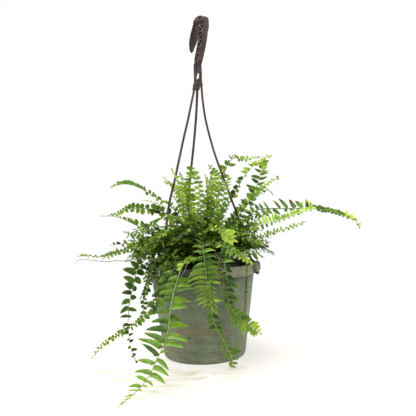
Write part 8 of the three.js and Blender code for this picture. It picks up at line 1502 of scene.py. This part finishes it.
# cap over the crook, wider than the stem
CAP_OUT = [[-31.0, 619.6], [-32.6, 630], [-32.2, 639.8], [-28.0, 645.9], [-20.6, 648.9], [-12, 649.7], [-4.6, 648.0], [1.2, 644.6], [3.9, 641.0]]
CAP_IN = [[-29.4, 619.6], [-29.9, 630], [-29.5, 639.0], [-25.8, 644.0], [-20, 646.6], [-12, 647.3], [-6, 645.9], [-1, 643.0], [1.7, 639.8]]
po, pi = smooth_line(CAP_OUT, 44)[:, :2], smooth_line(CAP_IN, 44)[:, :2]
rings = []
for k, (o, i) in enumerate(zip(po, pi)):
    c, d = (o + i) / 2, (o - i) / 2
    half = np.linalg.norm(d)
    w = 6.3 - 0.8 * max(0, 1 - k / 1.5) - 0.6 * max(0, (k - 40) / 4)
    sec = round_section(w, half, min(0.75, half * 0.85))
    rings.append([hook_point((c + unit(d) * y)[0], x, (c + unit(d) * y)[1]) for x, y in sec])
loft(s, rings)
# bill
BILL = [[1.2, 641.4, 4.8, 3.8], [1.1, 637.5, 6.9, 4.0], [1.4, 630.9, 8.6, 4.0], [6.6, 619.1, 9.6, 3.8], [12.4, 608, 8.7, 3.4], [16.2, 599.5, 6.5, 3.0], [18.3, 592.5, 4.5, 2.6], [19.0, 588.0, 3.0, 2.2]]
B = np.array(BILL)
line, _ = spline(np.column_stack([B[:, 0], np.zeros(len(B)), B[:, 1], B[:, 2], B[:, 3]]), 40)
cs, cz, hw, th = line[:, 0], line[:, 2], line[:, 3], line[:, 4]
gs, gz = np.gradient(cs), np.gradient(cz)
l = np.hypot(gs, gz)
ns, nz = -gz / l, gs / l
ang = np.arange(28) * 2 * math.pi / 28
rings = []
for k in range(len(line)):
    e = 1.0
    if k > 37:
        e = [0.86, 0.6, 0.25][k - 38]
    u, v = np.cos(ang), np.sin(ang)
    bulge = np.where(v > 0, 0.62, 0.44) * np.sign(v) * np.abs(v) ** 0.75
    rings.append([hook_point(cs[k] + ns[k] * b * th[k] * e, hw[k] * a * e, cz[k] + nz[k] * b * th[k] * e) for a, b in zip(u, bulge)])
loft(s, rings)
# a raised bead along both long edges of the bill's face
for sgn in (1, -1):
    P = [hook_point(cs[k] + ns[k] * 0.16 * th[k], sgn * (hw[k] - 0.75), cz[k] + nz[k] * 0.16 * th[k]) for k in range(0, 38)]
    tube(s, P, np.interp(np.arange(38), [0, 6, 32, 37], [0.5, 0.95, 0.85, 0.4]), (0, 0, 0.5, 0), sides=9)
# plate with the slanting eye
PLATE = [[-6.4, 564.5], [-8.4, 559], [-8.5, 552], [-8.4, 534], [-8.6, 521.4], [8.6, 521.4], [8.4, 534], [8.5, 552], [8.4, 559], [6.4, 564.5]]
eye = []
for k in range(36):
    a = k * 2 * math.pi / 36
    x, z = 3.8 * math.cos(a) * abs(math.cos(a)) ** 0.15, 8.4 * math.sin(a)
    eye.append([x * math.cos(0.4) + z * math.sin(0.4), 538 + z * math.cos(0.4) - x * math.sin(0.4)])
soft = rounded(np.vstack([[0, 564.5], PLATE[::-1], [0, 564.5]]), 2.0, 4)[1:-1]
on_plate = lambda a, b, c: hook_point(c, a, b)
slab(s, soft, [eye], 2.5, 0.7, on_plate)
eye_c = np.mean(eye, axis=0)
for side in (-2.35, 2.35):
    lip = np.array([hook_point(side, *((np.array(p) - eye_c) * 1.15 + eye_c)) for p in eye])
    m = len(lip)
    T = unit(np.roll(lip, -1, axis=0) - np.roll(lip, 1, axis=0))
    O = unit(lip - lip.mean(axis=0))
    F = np.cross(T, O)
    rings = np.array([lip + (O * math.cos(a) + F * math.sin(a)) * 0.75 for a in np.arange(8) * math.pi / 4])
    i, j = np.meshgrid(np.arange(8), np.arange(m), indexing="ij")
    q = np.stack([i * m + j, i * m + (j + 1) % m, ((i + 1) % 8) * m + (j + 1) % m, ((i + 1) % 8) * m + j], axis=-1).reshape(-1, 4)
    s.add(rings.reshape(-1, 3), (0, 0, 0.5, 0), quads=q)
# boss below the eye
rings = []
for w, d, z in ((4.4, 2.6, 532), (5.4, 3.4, 530), (6.9, 3.9, 527.6), (8.2, 4.35, 525), (8.8, 4.75, 522.2), (8.6, 4.6, 520.6), (7.9, 4.0, 519.6)):
    rings.append([hook_point(y, x, z) for x, y in round_section(w, d, 1.7)])
loft(s, rings)
# the boss runs on lower down between the left arm and the one behind
rings = []
for w, a, t, b, z in ((-2.8, 6.8, 0.2, 4.2, 523), (-3.2, 6.6, 1.0, 4.2, 519), (-3.5, 6.5, 1.7, 4.2, 515.6), (-3.9, 6.7, 2.5, 4.1, 512.4), (-4.0, 6.2, 2.6, 3.6, 511.5)):
    rings.append([hook_point(t + y, w + x, z) for x, y in round_section(a, b, 1.5)])
loft(s, rings)
c = hook_point(-4.45, -1.0, 525.4)
n = unit(hook_point(-1, 0, 0) - hook_point(0, 0, 0))
tube(s, [c - n * 0.6, c + n * 0.05, c + n * 0.35], [1.5, 1.5, 1.2], (0, 0, 0.5, 0), sides=20)
# arms
ARMS = [
    (-18.0, [[8.0, 2.2, 526], [9.0, 2.8, 521.1], [9.6, 2.2, 512], [10.4, 0.6, 495], [12.6, -2.2, 472.1], [15.3, -4, 452.3], [19.2, -6, 432.5], [23.6, -8, 412.8], [33.0, -11.2, 377.5], [51.8, -17.2, 321], [69.2, -22.2, 268.8], [82.6, -25.6, 231.3]]),
    (102.0, [[2.4, 2.4, 526], [1.4, 3.4, 519], [0.75, 4.6, 511], [-0.6, 8.0, 492], [-3.8, 18.0, 458], [-9.8, 34, 411.9], [-14.8, 47, 379.7], [-20.8, 63, 340], [-25.0, 76, 300], [-26.4, 84, 264.6], [-23.0, 87.6, 232]]),
    (222.0, [[-2.6, -3.6, 526], [-3.8, -4.8, 518], [-5.1, -6.0, 510.9], [-6.2, -7.0, 504.5], [-9.5, -10.6, 490.4], [-18.3, -18.0, 451], [-27.9, -28.2, 412.1], [-36.0, -38.0, 376], [-46.0, -49.0, 332], [-54.8, -57.0, 297.4], [-60.4, -61.0, 266.0], [-63.2, -61.6, 236.0]]),
]
for phi, pts in ARMS:
    a = math.radians(phi)
    tang = np.array([-math.sin(a), math.cos(a), 0])
    C, L = spline(np.vstack([pts, at_rim(phi, 90.5, 207, 0)]), 120)
    T = unit(np.gradient(C, axis=0))
    side = unit(tang - T * (T @ tang)[:, None])
    out = np.cross(T, side)
    rings = []
    for k, (c, sd, ou) in enumerate(zip(C, side, out)):
        t = k / 120
        w = np.interp(t, [0, 0.03, 0.1, 0.9, 0.97, 1], [2.8, 2.5, 2.4, 2.4, 2.6, 3.0])
        h = np.interp(t, [0, 0.03, 0.1, 0.9, 1], [2.2, 2.15, 2.1, 2.1, 1.25])
        ring = []
        for m in range(14):
            g = m * 2 * math.pi / 14
            x, y = math.cos(g), math.sin(g)
            y = y * (1.0 if y > 0 else 0.86)  # a flatter back
            ring.append(c + sd * w * x * abs(x) ** -0.12 * 1.0 + ou * h * y if abs(x) > 1e-6 else c + ou * h * y)
        rings.append(ring)
    loft(s, rings)
    # the strap that goes over the rim
    line = [[90.4, 209], [91.4, 203], [93.6, 194], [96.4, 187], [99.4, 182.0], [103, 179.0], [106.6, 178.4], [108.9, 177], [109.9, 174], [110, 168], [110, 157]]
    P = smooth_line(line, 60)[:, :2]
    g = unit(np.gradient(P, axis=0))
    nrm = np.column_stack([-g[:, 1], g[:, 0]])
    rings = []
    for k in range(61):
        w = np.interp(k / 60, [0, 0.06, 0.2, 1], [1.6, 2.4, 4.1, 4.1])
        sec = round_section(w, 1.2, 0.7)
        rings.append([at_rim(phi, *(P[k] + nrm[k] * y), x) for x, y in sec])
    loft(s, rings)
    for t in (-2.9, 2.9):  # two low ribs on the strap's face
        rib = [at_rim(phi, *(P[k] + nrm[k] * -1.15), t * np.interp(k, [0, 12], [0.45, 1])) for k in range(4, 56)]
        tube(s, rib, 0.55, (0, 0, 0.5, 0), sides=8)
    bar(s, [[105.7, 155.2], [111.2, 155.2], [111.2, 159.8], [105.7, 159.8]], phi, -8.2, 8.2, edge=0.9)
hanger = s.make("hanger", [HANGER, HANGER_SHADE_PAINT, HANGER_HIGHLIGHT_PAINT], sharp=35)
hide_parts("hanger_hook", "hanger_arm_right", "hanger_arm_back", "hanger_arm_left")
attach(hanger, "root")



# ---------------------------------------------------------------- fronds
for number, (name, row) in enumerate(FRONDS.items()):
    s = Shape()
    frond(s, 100 + number, row["at"], row["roll"], dict(STYLE.get(name, {}), own=OWN.get(name, ())))
    ob = s.make("leaf_" + name[6:], [LEAF, STEM], sharp=70)
    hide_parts(name)
    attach(ob, "root")

for number, (name, row) in enumerate(RUNNERS.items()):
    s = Shape()
    rng = np.random.default_rng(50 + number)
    C, L = spline(np.array([a[:3] for a in row["at"]], float), 90)
    n = len(C)
    wig = rng.normal(0, 1, (n, 3))
    for _ in range(5):
        wig[1:-1] = (wig[:-2] + wig[1:-1] * 2 + wig[2:]) / 4
    C = C + wig * 0.35 * np.clip(np.arange(n) / 12, 0, 1)[:, None]
    rad = np.interp(np.linspace(0, 1, n), [0, 0.75, 1], [0.75, 0.6, 0.32]) * (1 + 0.1 * np.sin(np.arange(n) * 1.9))
    tube(s, C, rad, [0.5, 0, 0.3, 0], sides=8)
    ob = s.make("stolon_" + name[7:], [RUNNER], sharp=80)
    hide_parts(name)
    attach(ob, "root")


# ---------------------------------------------------------------- the crown's shorter leaves, which fill the middle of the plant
def arch(rng, az, el, reach, rise, hump, sway):
    """Stations of a short leaf that leaves the crown at bearing az and height el, and ends reach mm out and rise mm up."""
    p, n = on_dome(az + rng.uniform(-12, 12), el, 0.95)
    a = math.radians(az)
    o = np.array([math.cos(a), math.sin(a), 0.0])
    w = np.array([-math.sin(a), math.cos(a), 0.0])
    end = o * reach + w * sway
    end[2] = p[2] + rise
    mid = p + (end - p) * 0.32 + Z * hump + w * rng.uniform(-8, 8)
    out = []
    for t in np.linspace(0, 1, 9):
        out.append((1 - t) ** 2 * p + 2 * t * (1 - t) * mid + t * t * end)
    out = np.array(out)
    r = np.hypot(out[:, 0], out[:, 1])
    need = np.where(r > 84, np.where(r > 109, 0.0, 184.0), 170.0)
    lack = np.maximum(0, need - out[:, 2])
    lack = np.convolve(np.pad(lack, 1, mode="edge"), [0.25, 0.5, 0.25], "valid") if lack.max() > 0 else lack
    out[:, 2] = np.maximum(out[:, 2] + lack, need)
    return out


# name: count, bearings, start heights, reach, rise, hump, leaflet length, width share, tail, shade at foot, shade at tip
# the low shades at each leaf's foot are painted shade, where the leaves run down into the crown
FILL = {
    # near-black throughout: painted shade inside the plant
    "inner_front": (14, (185, 350), (22, 66), (48, 86), (0, 44), (14, 30), (9, 13), (0.5, 0.8), 0.2, (0.00, 0.02), (0.02, 0.16)),
    "front_low_a": (8, (206, 262), (12, 40), (80, 116), (-4, 16), (26, 46), (7, 12), (0.62, 0.85), 0.1, (0.00, 0.08), (0.20, 0.52)),
    "front_low_b": (7, (262, 335), (12, 40), (74, 108), (-4, 14), (22, 42), (8, 12), (0.45, 0.7), 0.3, (0.00, 0.08), (0.14, 0.44)),
    "front_rim": (12, (202, 238), (14, 34), (114, 130), (-72, -12), (50, 72), (9, 13.5), (0.6, 0.85), 0.1, (0.05, 0.20), (0.14, 0.38)),
    "front_veil": (11, (206, 240), (28, 58), (122, 148), (2, 58), (44, 66), (9, 13), (0.6, 0.85), 0.1, (0.00, 0.12), (0.20, 0.50)),
    "front_mid_a": (8, (190, 262), (35, 62), (56, 104), (22, 66), (24, 48), (7.5, 11), (0.5, 0.8), 0.15, (0.00, 0.12), (0.36, 0.70)),
    "front_mid_b": (7, (255, 340), (35, 62), (46, 96), (26, 70), (20, 45), (8, 12), (0.42, 0.65), 0.35, (0.00, 0.12), (0.36, 0.70)),
    "upright_a": (7, (150, 290), (60, 84), (18, 76), (86, 156), (30, 55), (7, 10), (0.5, 0.75), 0.15, (0.14, 0.34), (0.74, 0.98)),
    "upright_b": (7, (270, 400), (60, 84), (12, 64), (96, 160), (30, 55), (7.5, 11), (0.45, 0.68), 0.25, (0.12, 0.32), (0.70, 0.96)),
    "upright_c": (7, (-62, 8), (40, 72), (34, 70), (44, 104), (26, 44), (8, 12), (0.42, 0.62), 0.35, (0.04, 0.20), (0.40, 0.76)),
    "right_a": (10, (-44, 12), (20, 50), (88, 128), (4, 52), (28, 50), (10, 15), (0.30, 0.44), 0.6, (0.00, 0.14), (0.30, 0.62)),
    "right_b": (10, (-10, 44), (30, 62), (80, 130), (30, 96), (26, 48), (10, 15), (0.30, 0.44), 0.55, (0.04, 0.20), (0.40, 0.72)),
    "right_c": (15, (-46, -4), (34, 70), (98, 134), (26, 92), (16, 40), (13, 18), (0.36, 0.52), 0.35, (0.05, 0.2), (0.35, 0.7)),
    "right_d": (13, (-40, 4), (24, 52), (106, 138), (10, 52), (16, 38), (13, 18), (0.36, 0.5), 0.3, (0.03, 0.16), (0.28, 0.6)),
    "left_veil": (12, (224, 248), (28, 60), (92, 114), (14, 70), (26, 48), (10, 13), (0.45, 0.7), 0.3, (0.05, 0.2), (0.34, 0.62)),
    "left_d": (8, (184, 214), (20, 46), (112, 146), (4, 52), (20, 44), (10, 14), (0.5, 0.75), 0.2, (0.06, 0.2), (0.4, 0.7)),
    "right_veil": (11, (-62, -20), (26, 60), (90, 122), (6, 66), (34, 54), (9, 13), (0.32, 0.5), 0.5, (0.04, 0.18), (0.32, 0.66)),
    "left_a": (14, (160, 208), (20, 52), (96, 148), (4, 56), (28, 50), (10, 14), (0.5, 0.8), 0.2, (0.04, 0.20), (0.40, 0.70)),
    "left_c": (9, (178, 212), (14, 40), (104, 150), (-14, 34), (32, 50), (10, 14), (0.5, 0.75), 0.15, (0.04, 0.18), (0.32, 0.62)),
    "left_b": (8, (130, 176), (25, 60), (74, 130), (16, 76), (22, 44), (8, 11), (0.5, 0.75), 0.2, (0.06, 0.24), (0.44, 0.72)),
    "back_a": (9, (52, 112), (18, 55), (74, 114), (0, 60), (26, 48), (9, 13), (0.4, 0.65), 0.35, (0.04, 0.20), (0.36, 0.62)),
    "back_b": (7, (80, 140), (30, 70), (40, 94), (40, 108), (24, 46), (8, 12), (0.45, 0.7), 0.3, (0.10, 0.28), (0.48, 0.76)),
}
for number, (name, (count, azs, els, reach, rise, hump, ln, wide, tail, s0, s1)) in enumerate(FILL.items()):
    rng = np.random.default_rng(700 + number)
    s = Shape()
    for k in range(count):
        az = azs[0] + (azs[1] - azs[0]) * (k + rng.uniform(0.15, 0.85)) / count
        pick = lambda lo_hi: rng.uniform(*lo_hi)
        rows = arch(rng, az, pick(els), pick(reach), pick(rise), pick(hump), rng.uniform(-14, 14))
        leaf_l = pick(ln)
        a, b = pick(s0), pick(s1)
        style = dict(
            near=[(0.06, leaf_l * 0.6), (0.25, leaf_l), (0.7, leaf_l * 0.95), (0.9, leaf_l * 0.6), (1, 3)],
            gap=[(0, leaf_l * 0.85), (0.75, leaf_l * 0.72), (1, leaf_l * 0.4)],
            wide=pick(wide),
            tail=tail,
            start=0.16,
            shade=[(0, a), (0.5, a * 0.6 + b * 0.4), (1, b)],
            jitter=2.6,
            twist=rng.uniform(-18, 18),
            droop=rng.uniform(0.1, 0.5),
            lift=rng.uniform(-6, 18),
            fold=0.34,
            wave=0.1,
            stem=[(0, 0.05), (0.4, 0.3), (1, 0.6)],
            thick=(0.95, 0.28),
            brown=0.35,
            plain=True,
        )
        frond(s, 3000 + number * 40 + k, rows, rng.uniform(-42, 42), style, root=5.0)
    ob = s.make("young_leaves_" + name, [LEAF, STEM], sharp=70)
    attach(ob, "root")

WORLD_LIGHT = 0.31
TOP_POWER, LEFT_POWER, RIGHT_POWER, FRONT_POWER = 74.0, 19.0, 17.0, 6.5


# ---------------------------------------------------------------- floor, light, camera
def floor_material():
    """Cream paper that turns to even white some way off, as an overexposed studio sweep does."""
    m = Nodes("pale_floor")
    pos = m.where()
    n = m.noise(pos, 9, 4)
    streak = m.noise(pos, 16, 4, 0.6, stretch=(1.0, 3.2, 1.0), distort=0.6)
    col = m.ramp(streak, [(0.3, FLOOR_RGB), (0.56, FLOOR_RGB), (0.8, FLOOR_DARK)])
    m.finish(col, m.math("MULTIPLY_ADD", n, 0.1, 0.75), m.bump(n, 0.1, 0.0005), Specular_IOR_Level=0.1)
    xyz = m.add("ShaderNodeSeparateXYZ")
    m.put(pos, xyz.inputs[0])
    r = m.math("SQRT", m.math("ADD", m.math("POWER", xyz.outputs[0], 2.0), m.math("POWER", xyz.outputs[1], 2.0)))
    # painted shadow: faint cream streaks on the floor in front of the pot
    shadow_paint = m.noise(pos, 13, 5, 0.68, stretch=(1.0, 3.6, 1.0), distort=0.9)
    ring = m.math("MULTIPLY", m.span(r, 0.085, 0.115), m.span(r, 0.20, 0.34, 1.0, 0.0))
    ring = m.math("MULTIPLY", ring, m.span(xyz.outputs[1], -0.05, -0.10))
    ring = m.math("MULTIPLY", m.math("MULTIPLY", ring, m.span(xyz.outputs[0], 0.09, 0.03)), m.span(shadow_paint, 0.44, 0.62))
    glow = m.add("ShaderNodeEmission")
    m.put(m.mix(ring, (1.0, 0.985, 0.94), (0.66, 0.60, 0.38)), glow.inputs[0])
    glow.inputs[1].default_value = 1.0
    far = m.add("ShaderNodeEmission")
    m.put(m.mix(m.math("MULTIPLY", ring, 0.8), (1.0, 1.0, 1.0), (0.72, 0.66, 0.48)), far.inputs[0])
    far.inputs[1].default_value = 1.0
    near = m.add("ShaderNodeMixShader")
    near.inputs[0].default_value = FLOOR_GLOW
    m.put(m.bsdf.outputs[0], near.inputs[1])
    m.put(glow.outputs[0], near.inputs[2])
    last = m.add("ShaderNodeMixShader")
    m.put(m.span(r, 0.24, 0.62), last.inputs[0])
    m.put(near.outputs[0], last.inputs[1])
    m.put(far.outputs[0], last.inputs[2])
    m.put(last.outputs[0], m.out.inputs[0])
    return m.mat


FLOOR_RGB, FLOOR_DARK, FLOOR_GLOW = (0.94, 0.92, 0.86), (0.84, 0.78, 0.64), 0.66
fl = Shape()
fl.add([[-9000, -9000, -12], [9000, -9000, -12], [9000, 9000, -12], [-9000, 9000, -12], [-9000, -9000, 0], [9000, -9000, 0], [9000, 9000, 0], [-9000, 9000, 0]], (0, 0, 0, 0), quads=[(3, 2, 1, 0), (4, 5, 6, 7), (0, 1, 5, 4), (1, 2, 6, 5), (2, 3, 7, 6), (3, 0, 4, 7)])
floor = fl.make("floor", [floor_material()])

scene = bpy.context.scene
world = bpy.data.worlds.new("studio")
scene.world = world
world.use_nodes = True
wt = world.node_tree
wt.nodes.clear()
wo = wt.nodes.new("ShaderNodeOutputWorld")
b1, b2 = wt.nodes.new("ShaderNodeBackground"), wt.nodes.new("ShaderNodeBackground")
b1.inputs[0].default_value, b1.inputs[1].default_value = (1.0, 0.985, 0.955, 1), WORLD_LIGHT
b2.inputs[0].default_value, b2.inputs[1].default_value = (1, 1, 1, 1), 1.0
mixer, path = wt.nodes.new("ShaderNodeMixShader"), wt.nodes.new("ShaderNodeLightPath")
wt.links.new(path.outputs["Is Camera Ray"], mixer.inputs[0])
wt.links.new(b1.outputs[0], mixer.inputs[1])
wt.links.new(b2.outputs[0], mixer.inputs[2])
wt.links.new(mixer.outputs[0], wo.inputs[0])


def area(name, place, aim, size, power, colour=(1, 1, 1)):
    d = bpy.data.lights.new(name, "AREA")
    d.shape, d.size, d.size_y, d.energy, d.color = "RECTANGLE", size[0], size[1], power, colour
    ob = bpy.data.objects.new(name, d)
    scene.collection.objects.link(ob)
    from mathutils import Vector

    ob.location = place
    ob.rotation_euler = (Vector(aim) - Vector(place)).to_track_quat("-Z", "Y").to_euler()
    return ob


area("top_soft", (-0.35, 0.10, 2.0), (0, 0, 0.15), (1.5, 1.3), TOP_POWER, (1.0, 0.985, 0.96))
area("left_soft", (-1.7, -0.7, 0.9), (0, 0, 0.2), (1.2, 1.4), LEFT_POWER, (1.0, 0.98, 0.95))
area("right_soft", (1.8, -0.5, 0.8), (0, 0, 0.2), (1.2, 1.4), RIGHT_POWER, (0.97, 0.985, 1.0))
area("front_soft", (-0.2, -2.3, 1.1), (0, 0, 0.2), (1.6, 1.2), FRONT_POWER, (1.0, 0.99, 0.97))

scene.view_settings.view_transform = "Standard"
scene.view_settings.look = "None"

cam_data = bpy.data.cameras.new("camera")
cam_data.sensor_width, cam_data.lens = 36.0, 45.0
cam_data.clip_start, cam_data.clip_end = 0.05, 40.0
cam = bpy.data.objects.new("camera", cam_data)
scene.collection.objects.link(cam)
from mathutils import Matrix

rho = math.radians(1.8)
cam.matrix_world = Matrix(((math.cos(rho), math.sin(rho), 0, 0.0146), (0, 0, -1, -1.010), (-math.sin(rho), math.cos(rho), 0, 0.282), (0, 0, 0, 1)))
scene.camera = cam
